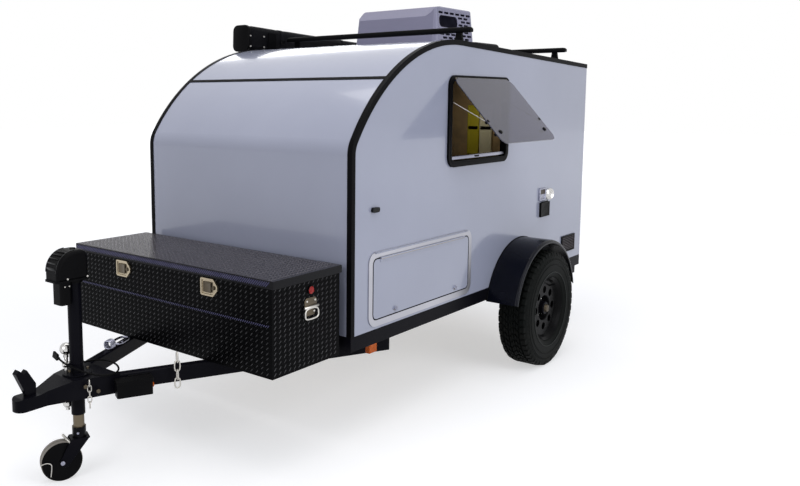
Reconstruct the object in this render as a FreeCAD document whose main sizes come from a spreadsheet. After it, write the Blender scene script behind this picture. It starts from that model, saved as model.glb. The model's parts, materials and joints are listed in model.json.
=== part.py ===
import FreeCAD, Part
import math
import os
import re

import Sketcher
from FreeCAD import Placement, Rotation, Vector

# Teardrop trailer, millimetres.
# X points to the trailer's left side, Y to its rear, Z up, and the ground is at zero.
# The origin is on the ground under the middle of the whole trailer.

# Driving dimensions, which fill the spreadsheet
SIZES = {
    # Body shell
    "body_length": 2863.0,
    "body_half_width": 762.0,
    "body_bottom": 557.0,
    "seam_height": 1459.0,
    "bend_radius": 143.0,
    "crown_radius": 1143.0,
    "crown_back": 985.0,
    "roof_fall": 2.29,
    "wall": 30.0,
    "floor_thickness": 30.0,
    "rear_sill_height": 150.0,
    "trim_width": 26.0,
    "trim_proud": 3.0,
    "band_width": 22.0,
    "band_angle": 36.4,
    "tongue_reach": 1370.0,
    "rear_reach": 34.0,
    "overrun": 40.0,
    "seat_gap": 0.3,
    # Chassis
    "rail_width": 50.0,
    "rail_height": 76.0,
    "cross_height": 50.0,
    "cross_spacing": 560.0,
    "cross_count": 4.0,
    "tube_wall": 4.0,
    "tube_corner": 8.0,
    "tongue_inset": 211.8,
    "tongue_apex": 1180.0,
    "tongue_start": 90.0,
    "tongue_length": 1620.0,
    # Coupler
    "coupler_half_width": 41.0,
    "coupler_rear_half_width": 151.0,
    "coupler_neck": 1235.0,
    "coupler_rear": 930.0,
    "coupler_top": 488.0,
    "coupler_bottom": 398.0,
    "coupler_plate": 5.0,
    "coupler_round_share": 0.9,
    "nose_drop": 32.0,
    "nose_back": 105.0,
    "nose_round": 40.0,
    "nose_slope": 245.0,
    "nose_brow": 22.0,
    "nose_brow_round": 24.0,
    "gland_radius": 11.0,
    "gland_tip_radius": 6.5,
    "gland_height": 24.0,
    "quarter_turn": 90.0,
    "socket_radius": 25.6,
    "socket_outer": 38.0,
    "socket_depth": 40.0,
    "socket_back": 44.0,
    "lever_foot_front": 56.0,
    "lever_foot_rear": 98.0,
    "lever_knee_back": 100.0,
    "lever_knee_height": 48.0,
    "lever_prong_back": 60.0,
    "lever_prong_height": 116.0,
    "lever_notch_back": 46.0,
    "lever_notch_height": 102.0,
    "lever_tip_back": 22.0,
    "lever_tip_height": 124.0,
    "lever_toe_back": 8.0,
    "lever_toe_height": 108.0,
    "lever_width": 30.0,
    # Tongue jack and its caster
    "jack_back": 1056.0,
    "jack_tube_radius": 31.0,
    "jack_tube_wall": 5.0,
    "jack_tube_bottom": 300.0,
    "jack_tube_top": 915.0,
    "jack_slide_gap": 0.8,
    "jack_flange_radius": 33.0,
    "jack_flange": 8.0,
    "leg_bottom": 241.0,
    "leg_top": 700.0,
    "leg_wall": 3.0,
    "leg_sleeve_radius": 31.0,
    "leg_sleeve_bottom": 192.0,
    "caster_angle": 23.0,
    "caster_trail": 84.0,
    "caster_radius": 92.0,
    "caster_disc_width": 20.0,
    "caster_disc_gap": 8.0,
    "caster_clear": 5.0,
    "fork_plate": 5.0,
    "crown_half": 42.0,
    "caster_pin_radius": 6.0,
    "cheek_half": 24.0,
    "cheek_round": 20.0,
    "pin_overhang": 6.0,
    "disc_edge": 4.0,
    "disc_groove_share": 0.8,
    "head_half_width": 51.0,
    "head_front": 112.0,
    "head_rear": 48.0,
    "head_bottom": 930.0,
    "head_top": 1067.0,
    "hood_lip_round": 6.0,
    "hood_back_round": 36.0,
    "hood_front_round": 92.0,
    "hood_side_round": 16.0,
    "hood_skirt": 5.0,
    "hood_skirt_height": 8.0,
    "hood_skirt_corner": 22.0,
    "hood_plug_radius": 13.0,
    "hood_plug_height": 4.0,
    "motor_bottom": 824.0,
    "motor_half_width": 36.0,
    "motor_start": 88.0,
    "motor_end": 31.2,
    "motor_corner": 14.0,
    "cable_clip_low": 536.0,
    "cable_clip_height": 9.0,
    "cable_clip_half": 5.0,
    "cable_clip_reach": 43.1,
    "cable_clip_wall": 1.6,
    # Tongue box
    "brake_box_length": 163.0,
    "brake_box_width": 62.0,
    "brake_box_height": 77.0,
    "brake_box_start": 262.0,
    "brake_box_offset": 14.0,
    "brake_box_rise": -11.0,
    "brake_box_lid": 16.0,
    "brake_box_lid_lap": 3.0,
    "brake_bracket_length": 100.0,
    "lead_radius": 4.5,
    "plug_half_width": 15.0,
    "plug_half_height": 5.5,
    "plug_length": 38.0,
    "plug_collar_radius": 7.0,
    "plug_collar_length": 14.0,
    "plug_corner": 3.0,
    "plug_bore_radius": 2.0,
    "plug_bore_pitch": 7.0,
    "plug_bore_depth": 10.0,
    # Front tool chest
    "chest_half_width": 735.0,
    "chest_front": 538.0,
    "chest_rear": 58.0,
    "chest_sheet": 3.0,
    "bead_height": 724.0,
    "bead_half_height": 8.0,
    "bead_proud": 3.0,
    "lid_top": 935.0,
    "lid_side_lap": 15.0,
    "lid_front_lap": 8.0,
    "lid_lip": 38.0,
    "hinge_radius": 5.0,
    "paddle_right": -326.0,
    "paddle_left": 333.0,
    "paddle_half_width": 58.0,
    "paddle_low": 805.0,
    "paddle_high": 890.0,
    "paddle_depth": 8.0,
    "paddle_point": 30.0,
    "paddle_point_half": 14.0,
    "paddle_rim": 8.0,
    "paddle_recess": 5.0,
    "paddle_leaf_half": 22.0,
    "paddle_leaf_depth": 6.0,
    "paddle_round": 7.0,
    "paddle_key_radius": 7.0,
    "grip_front": 210.0,
    "grip_length": 100.0,
    "grip_low": 710.0,
    "grip_height": 105.0,
    "grip_depth": 3.0,
    "grip_corner": 10.0,
    "bail_radius": 4.0,
    "bail_reach": 16.0,
    "bail_inset": 12.0,
    "bail_low_share": 0.3,
    "bail_high_share": 0.7,
    # Axle and wheels
    "axle_back": 1830.0,
    "tyre_radius": 376.0,
    "tyre_inner_face": 800.0,
    "tyre_outer_face": 1003.0,
    "tyre_bead_radius": 196.0,
    "tyre_shoulder": 30.0,
    "sidewall_drop": 110.0,
    "sidewall_round": 60.0,
    "crown_inset": 14.0,
    "rim_flange_radius": 207.0,
    "rim_wall": 6.0,
    "rim_edge_inset": 20.0,
    "rim_flange_inset": 26.0,
    "bead_seat_inset": 40.0,
    "rim_back_inset": 34.0,
    "dish_fall": 12.0,
    "dish_reach": 40.0,
    "dish_land": 24.0,
    "dish_round": 8.0,
    "rim_disc_face": 952.0,
    "rim_disc_thickness": 8.0,
    "rim_hub_radius": 42.0,
    "rim_window_radius": 24.0,
    "rim_window_circle": 122.0,
    "rim_window_count": 8.0,
    "drum_radius": 128.0,
    "drum_inner_face": 830.0,
    "drum_outer_face": 900.0,
    "drum_round": 10.0,
    "hub_proud": 12.0,
    "hub_round": 6.0,
    "spindle_radius": 17.0,
    "spindle_gap": 0.3,
    "axle_tube": 60.0,
    "axle_lead": 125.0,
    "axle_arm_thickness": 24.0,
    "arm_corner": 12.0,
    "arm_lead": 15.0,
    # Fenders
    "fender_radius": 449.0,
    "fender_outer": 972.0,
    "fender_sheet": 4.0,
    "fender_lip": 22.0,
    "fender_round": 16.0,
    "fender_angle": 155.0,
    # Left window
    "window_front": 880.0,
    "window_rear": 1609.0,
    "window_bottom": 1346.0,
    "window_top": 1867.0,
    "window_corner": 62.0,
    "window_flange": 20.0,
    "window_sleeve": 14.0,
    "window_proud": 13.0,
    "pane_shortfall": 43.0,
    "pane_thickness": 5.0,
    "pane_angle": 42.0,
    "pane_side_gap": 24.0,
    "pane_corner": 48.0,
    "hinge_drop": 20.0,
    "stay_radius": 5.0,
    "stay_drop": 144.0,
    "stay_reach": 340.0,
    "stay_boss": 16.0,
    # Baggage doors
    "baggage_front": 140.0,
    "baggage_rear": 1178.0,
    "baggage_bottom": 572.0,
    "baggage_top": 962.0,
    "baggage_corner": 62.0,
    "baggage_frame": 34.0,
    "baggage_proud": 6.0,
    "door_gap": 5.0,
    # Entry door on the right side
    "entry_front": 600.0,
    "entry_rear": 1310.0,
    "entry_bottom": 625.0,
    "entry_top": 1830.0,
    "entry_corner": 70.0,
    "entry_window_side": 110.0,
    "entry_window_bottom": 620.0,
    "entry_window_top": 90.0,
    # Roof fittings
    "bar_front": 1200.0,
    "bar_rear": 2560.0,
    "bar_lift": 70.0,
    "bar_height": 22.0,
    "bar_width": 34.0,
    "bar_inset": 38.0,
    "bar_round": 7.0,
    "foot_inset": 122.0,
    "foot_neck_width": 34.0,
    "foot_base_height": 8.0,
    "foot_half_depth": 22.0,
    "foot_width": 56.0,
    "aircon_front": 1438.0,
    "aircon_rear": 1950.0,
    "aircon_half_width": 338.0,
    "aircon_top": 2331.0,
    "aircon_corner": 46.0,
    "aircon_draft": 6.0,
    "aircon_skin": 5.0,
    "aircon_tray_height": 30.0,
    "aircon_tray_inset": 8.0,
    "aircon_crease_drop": 84.0,
    "aircon_crease_reach": 92.0,
    "aircon_sweep": 224.0,
    "aircon_sweep_outset": 26.0,
    "aircon_top_round": 15.0,
    "grille_slot_half_length": 28.0,
    "grille_slot_half_height": 7.0,
    "grille_slot_round": 6.0,
    "grille_pitch": 70.0,
    "grille_rise": 23.0,
    "grille_first_back": 1520.0,
    "grille_first_height": 2108.0,
    "mouth_half_length": 116.0,
    "mouth_half_height": 38.0,
    "mouth_back": 1610.0,
    "mouth_height": 2236.0,
    "mouth_round": 30.0,
    "vent_front": 2030.0,
    "vent_rear": 2430.0,
    "vent_half_width": 285.0,
    "vent_height": 112.0,
    "vent_corner": 60.0,
    "vent_flange": 14.0,
    "vent_neck_inset": 30.0,
    "vent_lid_low": 52.0,
    "vent_lid_round": 26.0,
    "awning_front": 850.0,
    "awning_length": 2010.0,
    "awning_width": 150.0,
    "awning_height": 180.0,
    "awning_sink": 18.0,
    "awning_corner": 38.0,
    "awning_gap": 12.0,
    "bracket_count": 3.0,
    "bracket_inset": 190.0,
    "bracket_length": 80.0,
    "bracket_foot": 70.0,
    "bracket_sheet": 5.0,
    "bracket_height": 120.0,
    # Small fittings
    "inlet_back": 2212.0,
    "inlet_height": 1078.0,
    "inlet_radius": 38.0,
    "inlet_depth": 14.0,
    "inlet_lid_radius": 29.0,
    "inlet_lid_depth": 8.0,
    "inlet_lug_half": 9.0,
    "port_corner": 10.0,
    "port_lid_depth": 8.0,
    "port_lid_inset": 6.0,
    "outlet_half_width": 34.0,
    "outlet_low": 925.0,
    "outlet_high": 1020.0,
    "side_vent_front": 2511.0,
    "side_vent_rear": 2741.0,
    "side_vent_low": 616.0,
    "side_vent_high": 738.0,
    "side_vent_depth": 10.0,
    "louvre_count": 7.0,
    "louvre_margin": 12.0,
    "louvre_gap": 7.0,
    "louvre_recess": 6.0,
    "marker_back": 190.0,
    "marker_height": 1179.0,
    "marker_half_length": 30.0,
    "marker_half_height": 13.0,
    "marker_depth": 14.0,
    "marker_round_share": 0.9,
    "lamp_width": 62.0,
    "lamp_height": 44.0,
    "lamp_depth": 26.0,
    "tail_half_width": 64.0,
    "tail_half_height": 36.0,
    "tail_depth": 24.0,
    "tail_corner": 14.0,
    "tail_bezel": 8.0,
    "tail_bezel_inset": 10.0,
    "tail_inset": 152.0,
    "plate_half_width": 152.0,
    "plate_height": 100.0,
    "plate_sheet": 3.0,
    "plate_hole_spacing": 177.8,
    "plate_hole_radius": 3.2,
    "plate_hole_margin": 14.0,
    "strap_width": 18.0,
    "strap_thickness": 2.0,
    "lock_radius": 11.0,
    "lock_depth": 7.0,
    "lock_height": 636.0,
    "lock_front": 375.0,
    "lock_rear": 988.0,
    "entry_hinge_length": 76.0,
    "entry_hinge_low": 760.0,
    "entry_hinge_middle": 1180.0,
    "entry_hinge_high": 1680.0,
    "latch_half_width": 30.0,
    "latch_height": 64.0,
    "latch_round": 10.0,
    "latch_back_depth": 7.0,
    "latch_grip_half": 11.0,
    "latch_grip_depth": 16.0,
    "handle_half_width": 60.0,
    "handle_half_height": 22.0,
    "handle_plate": 6.0,
    "handle_round": 10.0,
    "handle_post_radius": 6.0,
    "handle_post_inset": 16.0,
    "handle_bar_radius": 7.0,
    "handle_height": 800.0,
    # Stabilisers
    "stabiliser_back": 2760.0,
    "stabiliser_length": 400.0,
    "stabiliser_width": 40.0,
    "stabiliser_drop": 32.0,
    "stabiliser_pin": 8.0,
    "stabiliser_ear": 5.0,
    "stabiliser_foot": 60.0,
    # Cabin fittings
    "bulkhead_back": 2120.0,
    "bulkhead_thickness": 18.0,
    "counter_height": 1010.0,
    "counter_thickness": 20.0,
    "bed_height": 985.0,
    "bed_inner_edge": -120.0,
    "mattress_side_gap": 4.0,
    "mattress_end_gap": 6.0,
    "mattress_height": 110.0,
    "mattress_corner": 40.0,
}

# Points of the lamp lead's route, each as X, distance behind the front wall and height
LEAD_ROUTE = (
    (-88.0, -1012.0, 498.0),
    (-88.0, -978.0, 498.5),
    (-70.0, -940.0, 503.0),
    (-34.0, -908.0, 508.0),
    (14.0, -890.0, 508.0),
    (66.0, -888.0, 503.0),
    (112.0, -906.0, 498.0),
    (146.0, -942.0, 495.5),
    (154.0, -990.0, 496.0),
    (130.0, -1036.0, 502.0),
    (84.0, -1068.0, 514.0),
    (34.0, -1096.0, 530.0),
    (-18.0, -1110.0, 545.0),
    (-64.0, -1106.0, 556.0),
)
AXES = ("across", "along", "up")
for step, spot in enumerate(LEAD_ROUTE):
    for axis, size in zip(AXES, spot):
        SIZES[f"lead_{step}_{axis}"] = size

# Places worked out from the driving dimensions
PLACES = {
    "front_y": "(tongue_reach - body_length - rear_reach) / 2",
    "rear_y": "front_y + body_length",
    "crown_y": "front_y + crown_back",
    "crown_z": "seam_height - sqrt((crown_radius - bend_radius)^2 - (crown_back - bend_radius)^2)",
    "inner_x": "body_half_width - wall",
    "floor_top": "body_bottom + floor_thickness",
    "rail_bottom": "body_bottom - rail_height",
    "tongue_bottom": "rail_bottom - rail_height",
    "jack_y": "front_y - jack_back",
    "axle_y": "front_y + axle_back",
    "sill_top": "body_bottom + rear_sill_height",
    "leg_radius": "jack_tube_radius - jack_tube_wall - jack_slide_gap",
    "chest_bottom": "rail_bottom + seat_gap",
    "chest_rim": "lid_top - chest_sheet - seat_gap",
    "bar_half_length": "body_half_width - bar_inset",
    "foot_offset": "body_half_width - foot_inset",
    "tail_offset": "body_half_width - tail_inset",
    "tongue_angle": "atan((body_half_width - tongue_inset) / tongue_apex) / 1 deg",
    "louvre_run": "(side_vent_high - side_vent_low - 2 * louvre_margin)",
    "hinge_y": "front_y - chest_rear + hinge_radius - chest_sheet / 2",
    "hinge_z": "chest_rim - hinge_radius",
    "pane_x": "body_half_width + window_proud + pane_thickness * sin(pane_angle * 1 deg) + seat_gap",
    "stabiliser_y": "front_y + stabiliser_back",
    "stabiliser_z": "rail_bottom - stabiliser_drop",
}


def formula(text):
    """Write a formula of size names as an expression on the spreadsheet."""
    def swap(match):
        word = match.group(0)
        if word in PLACES:
            return "(" + formula(PLACES[word]) + ")"
        return "Sizes." + word if word in SIZES else word
    return re.sub(r"[A-Za-z_]\w*", swap, text)


def number(text):
    """Work out the present value of a formula."""
    value = sheet.evalExpression(formula(text))
    return float(getattr(value, "Value", value))


def roof_line(back, above="0"):
    """Give the height of the straight roof, or a line above it, at a place along the trailer."""
    slope = f"(({back}) - crown_y) * tan(roof_fall * 1 deg)"
    return f"(crown_z + (crown_radius + ({above})) / cos(roof_fall * 1 deg) - {slope})"


def span(sign, low, high):
    """Give a stretch of X on the left side, or its mirror image on the right."""
    return (low, high) if sign > 0 else (f"-({high})", f"-({low})")


# Document and spreadsheet
doc = FreeCAD.newDocument("teardrop_trailer")
sheet = doc.addObject("Spreadsheet::Sheet", "Sizes")
for row, (alias, size) in enumerate(SIZES.items(), 1):
    sheet.set(f"A{row}", alias)
    sheet.set(f"B{row}", str(size))
    sheet.setAlias(f"B{row}", alias)
doc.recompute()

NODES = []
SIDES = (("left", 1), ("right", -1))
FINE = 0.01
ARC_SHARE = 0.45


def node(item, label):
    """Name a finished sub-part and keep it for writing."""
    item.Label = label
    NODES.append(item)
    return item


def place(item, x="0", y="0", z="0", axis=None, angle="0"):
    """Bind an object's place, and its turn about an axis, to formulas."""
    if axis:
        item.Placement = Placement(Vector(), Rotation(Vector(*axis), number(angle)))
        item.setExpression("Placement.Rotation.Angle", formula(angle))
    for name, text in (("x", x), ("y", y), ("z", z)):
        item.setExpression("Placement.Base." + name, formula(text))
    return item


def block(name, xs, ys, zs):
    """Make a box from its low and high places along X, Y and Z."""
    item = doc.addObject("Part::Box", name)
    for prop, ends in (("Length", xs), ("Width", ys), ("Height", zs)):
        item.setExpression(prop, formula(f"({ends[1]}) - ({ends[0]})"))
    return place(item, xs[0], ys[0], zs[0])


TURNS = {"X": Rotation(Vector(0, 1, 0), 90), "Y": Rotation(Vector(1, 0, 0), -90), "Z": Rotation()}


def rod(name, axis, radius, ends, at):
    """Make a cylinder along an axis, between two places on it."""
    item = doc.addObject("Part::Cylinder", name)
    item.setExpression("Radius", formula(radius))
    item.setExpression("Height", formula(f"({ends[1]}) - ({ends[0]})"))
    item.Placement = Placement(Vector(), TURNS[axis])
    spots = {"X": (ends[0],) + at, "Y": (at[0], ends[0], at[1]), "Z": at + (ends[0],)}[axis]
    for letter, text in zip("xyz", spots):
        item.setExpression("Placement.Base." + letter, formula(text))
    return item


def fuse(name, *parts):
    """Join pieces into one."""
    item = doc.addObject("Part::MultiFuse", name)
    item.Shapes = list(parts)
    return item


def cut(name, base, *tools):
    """Take one or more pieces away from another."""
    item = doc.addObject("Part::Cut", name)
    item.Base = base
    item.Tool = tools[0] if len(tools) == 1 else fuse(name + "_tools", *tools)
    return item


def common(name, base, tool):
    """Keep what two pieces share."""
    item = doc.addObject("Part::Common", name)
    item.Base = base
    item.Tool = tool
    return item


def gather(name, *parts):
    """Hold separate solids of one kind together."""
    item = doc.addObject("Part::Compound", name)
    item.Links = list(parts)
    return item


def body_sketch(body, role, suffix="sketch"):
    """Start a sketch on one of a body's own origin planes."""
    plane = next(f for f in body.Origin.OriginFeatures if f.Role == role)
    sketch = body.newObject("Sketcher::SketchObject", f"{body.Name}_{suffix}")
    sketch.AttachmentSupport = [(plane, "")]
    sketch.MapMode = "FlatFace"
    return sketch


def bind_point(sketch, geo, pos, u, v):
    """Bind a sketch point to two formulas."""
    for kind, text in (("DistanceX", u), ("DistanceY", v)):
        index = sketch.addConstraint(Sketcher.Constraint(kind, -1, 1, geo, pos, number(text)))
        sketch.setExpression(f"Constraints[{index}]", formula(text))


def bind_radius(sketch, geo, text):
    """Bind an arc or circle's radius to a formula."""
    index = sketch.addConstraint(Sketcher.Constraint("Radius", geo, number(text)))
    sketch.setExpression(f"Constraints[{index}]", formula(text))


def outline(sketch, corners):
    """Draw a closed outline through corners (u, v) or (u, v, rounding radius)."""
    spots = [Vector(number(c[0]), number(c[1]), 0) for c in corners]
    count = len(corners)
    ends = []
    for i, corner in enumerate(corners):
        spot = spots[i]
        if len(corner) == 2:
            ends.append((spot, spot, None))
            continue
        back = (spots[i - 1] - spot).normalize()
        ahead = (spots[(i + 1) % count] - spot).normalize()
        half = back.getAngle(ahead) / 2
        radius = number(corner[2])
        run = radius / math.tan(half)
        middle = spot + (back + ahead).normalize() * (radius / math.sin(half))
        ends.append((spot + back * run, spot + ahead * run, (middle, radius)))
    lines = []
    marks = []
    for i in range(count):
        line = Part.LineSegment(ends[i][1], ends[(i + 1) % count][0])
        lines.append(sketch.addGeometry(line, False))
    for i, corner in enumerate(corners):
        mark = sketch.addGeometry(Part.Point(spots[i]), True)
        marks.append(mark)
        before = lines[i - 1]
        after = lines[i]
        if ends[i][2] is None:
            sketch.addConstraint(Sketcher.Constraint("Coincident", before, 2, after, 1))
            sketch.addConstraint(Sketcher.Constraint("Coincident", after, 1, mark, 1))
        else:
            middle, radius = ends[i][2]
            start = ends[i][0] - middle
            stop = ends[i][1] - middle
            first = math.atan2(start.y, start.x)
            last = math.atan2(stop.y, stop.x)
            onward = (last - first) % (2 * math.pi) < math.pi
            low, high = (first, last) if onward else (last, first)
            arc = Part.ArcOfCircle(Part.Circle(middle, Vector(0, 0, 1), radius), low, high)
            geo = sketch.addGeometry(arc, False)
            near, far = (1, 2) if onward else (2, 1)
            sketch.addConstraint(Sketcher.Constraint("Tangent", before, 2, geo, near))
            sketch.addConstraint(Sketcher.Constraint("Tangent", after, 1, geo, far))
            sketch.addConstraint(Sketcher.Constraint("PointOnObject", mark, 1, before))
            sketch.addConstraint(Sketcher.Constraint("PointOnObject", mark, 1, after))
            bind_radius(sketch, geo, corner[2])
        bind_point(sketch, mark, 1, corner[0], corner[1])


def rectangle(us, vs, radius=None):
    """List the corners of a rectangle, rounded or not."""
    corners = [(us[0], vs[0]), (us[1], vs[0]), (us[1], vs[1]), (us[0], vs[1])]
    return corners if radius is None else [c + (radius,) for c in corners]


def pad(body, sketch, length, reverse=False):
    """Pad a sketch by a formula's length."""
    item = body.newObject("PartDesign::Pad", body.Name + "_pad")
    item.Profile = sketch
    item.Reversed = reverse
    item.setExpression("Length", formula(length))
    return item


def pocket(body, sketch, length="overrun", reverse=True):
    """Cut a sketch through a body and make sure that it took something away."""
    doc.recompute()
    before = body.Shape.Volume
    item = body.newObject("PartDesign::Pocket", body.Name + "_pocket")
    item.Profile = sketch
    item.Reversed = reverse
    item.setExpression("Length", formula(length))
    doc.recompute()
    if not body.Shape.Volume < before:
        raise ValueError(f"{body.Label}: the pocket cut nothing")
    return item


def revolve(body, sketch, axis, angle):
    """Turn a sketch about one of its axes, half of the angle each way."""
    item = body.newObject("PartDesign::Revolution", body.Name + "_turn")
    item.Profile = sketch
    item.ReferenceAxis = (sketch, [axis])
    item.Midplane = True
    item.setExpression("Angle", formula(angle))
    return item


PLANES = {"X": "YZ_Plane", "Y": "XZ_Plane", "Z": "XY_Plane"}


def panel(name, axis, loops, length, draft=None):
    """Pad one or more outlines along an axis, from zero, with a draft or straight."""
    body = doc.addObject("PartDesign::Body", name)
    sketch = body_sketch(body, PLANES[axis])
    for corners in loops:
        outline(sketch, corners)
    item = pad(body, sketch, length, reverse=axis == "Y")
    if draft:
        item.setExpression("TaperAngle", formula(draft))
    return body


def soften(body, radius, wanted):
    """Round the edges of a body that a test picks out."""
    doc.recompute()
    tip = body.Tip
    names = [f"Edge{i}" for i, edge in enumerate(tip.Shape.Edges, 1) if wanted(edge)]
    if not names:
        raise ValueError(f"{body.Label}: no edge to round")
    item = body.newObject("PartDesign::Fillet", body.Name + "_round")
    item.Base = (tip, names)
    item.setExpression("Radius", formula(radius))
    doc.recompute()
    return item


def side_profile(sketch, inset, low, rear):
    """Draw the trailer's side outline, moved inward by an inset."""
    bend = number("bend_radius") - number(inset)
    crown = number("crown_radius") - number(inset)
    front = number("front_y") + number(inset)
    seam = number("seam_height")
    first = Vector(number("front_y + bend_radius"), seam, 0)
    second = Vector(number("crown_y"), number("crown_z"), 0)
    reach = first - second
    meet = math.atan2(reach.y, reach.x)
    fall = math.radians(90 - number("roof_fall"))
    up = Vector(0, 0, 1)
    back = number(rear)
    roof = number(roof_line(rear, f"-({inset})"))
    start = second + Vector(math.cos(fall), math.sin(fall), 0) * crown
    base = Vector(front, number(low), 0)
    sketch.addGeometry(Part.LineSegment(base, Vector(front, seam, 0)), False)
    sketch.addGeometry(Part.ArcOfCircle(Part.Circle(first, up, bend), meet, math.pi), False)
    sketch.addGeometry(Part.ArcOfCircle(Part.Circle(second, up, crown), fall, meet), False)
    sketch.addGeometry(Part.LineSegment(Vector(back, roof, 0), start), False)
    sketch.addGeometry(Part.LineSegment(Vector(back, number(low), 0), Vector(back, roof, 0)), False)
    sketch.addGeometry(Part.LineSegment(base, Vector(back, number(low), 0)), False)
    for one, one_end, other, other_end in ((0, 2, 1, 2), (1, 1, 2, 2), (2, 1, 3, 2)):
        sketch.addConstraint(Sketcher.Constraint("Tangent", one, one_end, other, other_end))
    for one, one_end, other, other_end in ((3, 1, 4, 2), (4, 1, 5, 2), (5, 1, 0, 1)):
        sketch.addConstraint(Sketcher.Constraint("Coincident", one, one_end, other, other_end))
    sketch.addConstraint(Sketcher.Constraint("Vertical", 0))
    sketch.addConstraint(Sketcher.Constraint("Vertical", 4))
    sketch.addConstraint(Sketcher.Constraint("Horizontal", 5))
    bind_point(sketch, 0, 1, f"front_y + ({inset})", low)
    bind_radius(sketch, 1, f"bend_radius - ({inset})")
    bind_radius(sketch, 2, f"crown_radius - ({inset})")
    for kind, geo, pos, text in (("DistanceY", 0, 2, "seam_height"), ("DistanceX", 2, 3, "crown_y"),
                                 ("DistanceX", 4, 1, rear)):
        index = sketch.addConstraint(Sketcher.Constraint(kind, -1, 1, geo, pos, number(text)))
        sketch.setExpression(f"Constraints[{index}]", formula(text))
    turn = math.radians(180 - number("roof_fall"))
    index = sketch.addConstraint(Sketcher.Constraint("Angle", 3, turn))
    sketch.setExpression(f"Constraints[{index}]", formula("(180 - roof_fall) * 1 deg"))


def prism(name, inset, low, rear, xs):
    """Pad the side outline across the trailer, between two places along X."""
    body = doc.addObject("PartDesign::Body", name)
    sketch = body_sketch(body, "YZ_Plane")
    side_profile(sketch, inset, low, rear)
    pad(body, sketch, f"({xs[1]}) - ({xs[0]})")
    return place(body, x=xs[0])


def strut(name, radius, y, start, stop):
    """Make a round bar across the trailer between two points, each given as X and Z."""
    run = f"(({stop[0]}) - ({start[0]}))"
    rise = f"(({stop[1]}) - ({start[1]}))"
    item = doc.addObject("Part::Cylinder", name)
    item.setExpression("Radius", formula(radius))
    item.setExpression("Height", formula(f"sqrt({run}^2 + {rise}^2)"))
    return place(item, start[0], y, start[1], (0, 1, 0), f"atan2({run}; {rise})")


# Chassis
def build_chassis():
    """Side rails, end rails and cross members of rectangular tube."""
    parts = []
    for side, sign in SIDES:
        xs = span(sign, "body_half_width - rail_width", "body_half_width")
        parts.append(block("rail_" + side, xs, ("front_y", "rear_y"), ("rail_bottom", "body_bottom")))
    across = ("-body_half_width", "body_half_width")
    full = ("rail_bottom", "body_bottom")
    parts.append(block("front_rail", across, ("front_y", "front_y + rail_width"), full))
    parts.append(block("rear_rail", across, ("rear_y - rail_width", "rear_y"), full))
    low = ("body_bottom - cross_height", "body_bottom")
    for step in range(int(number("cross_count"))):
        middle = f"front_y + {step + 1} * cross_spacing"
        parts.append(block(f"cross_{step + 1}", across, (middle, f"{middle} + rail_width"), low))
    node(fuse("chassis", *parts), "chassis_frame")


def build_tongue():
    """Two rectangular tubes that run from under the rails to the coupler."""
    beams = []
    half = ("-rail_width / 2", "rail_width / 2")
    tall = ("tongue_bottom", "rail_bottom")
    inner_half = ("tube_wall - rail_width / 2", "rail_width / 2 - tube_wall")
    inner_tall = ("tongue_bottom + tube_wall", "rail_bottom - tube_wall")
    outer = rectangle(half, tall, "tube_corner")
    inner = rectangle(inner_half, inner_tall, "tube_corner - tube_wall")
    for side, sign in SIDES:
        beam = panel("tongue_" + side, "Y", [outer, inner], "tongue_length")
        angle = f"{-sign} * tongue_angle"
        away = f"{sign} * tongue_start * sin(tongue_angle * 1 deg)"
        back = "front_y - tongue_apex + tongue_start * cos(tongue_angle * 1 deg)"
        place(beam, away, back, "0", (0, 0, 1), angle)
        beams.append(beam)
    notch = rod("tongue_notch", "Z", "jack_tube_radius + seat_gap",
                ("tongue_bottom - overrun", "rail_bottom + overrun"), ("0", "jack_y"))
    node(cut("tongue_notched", fuse("tongue", *beams), notch), "tongue_frame")


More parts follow.
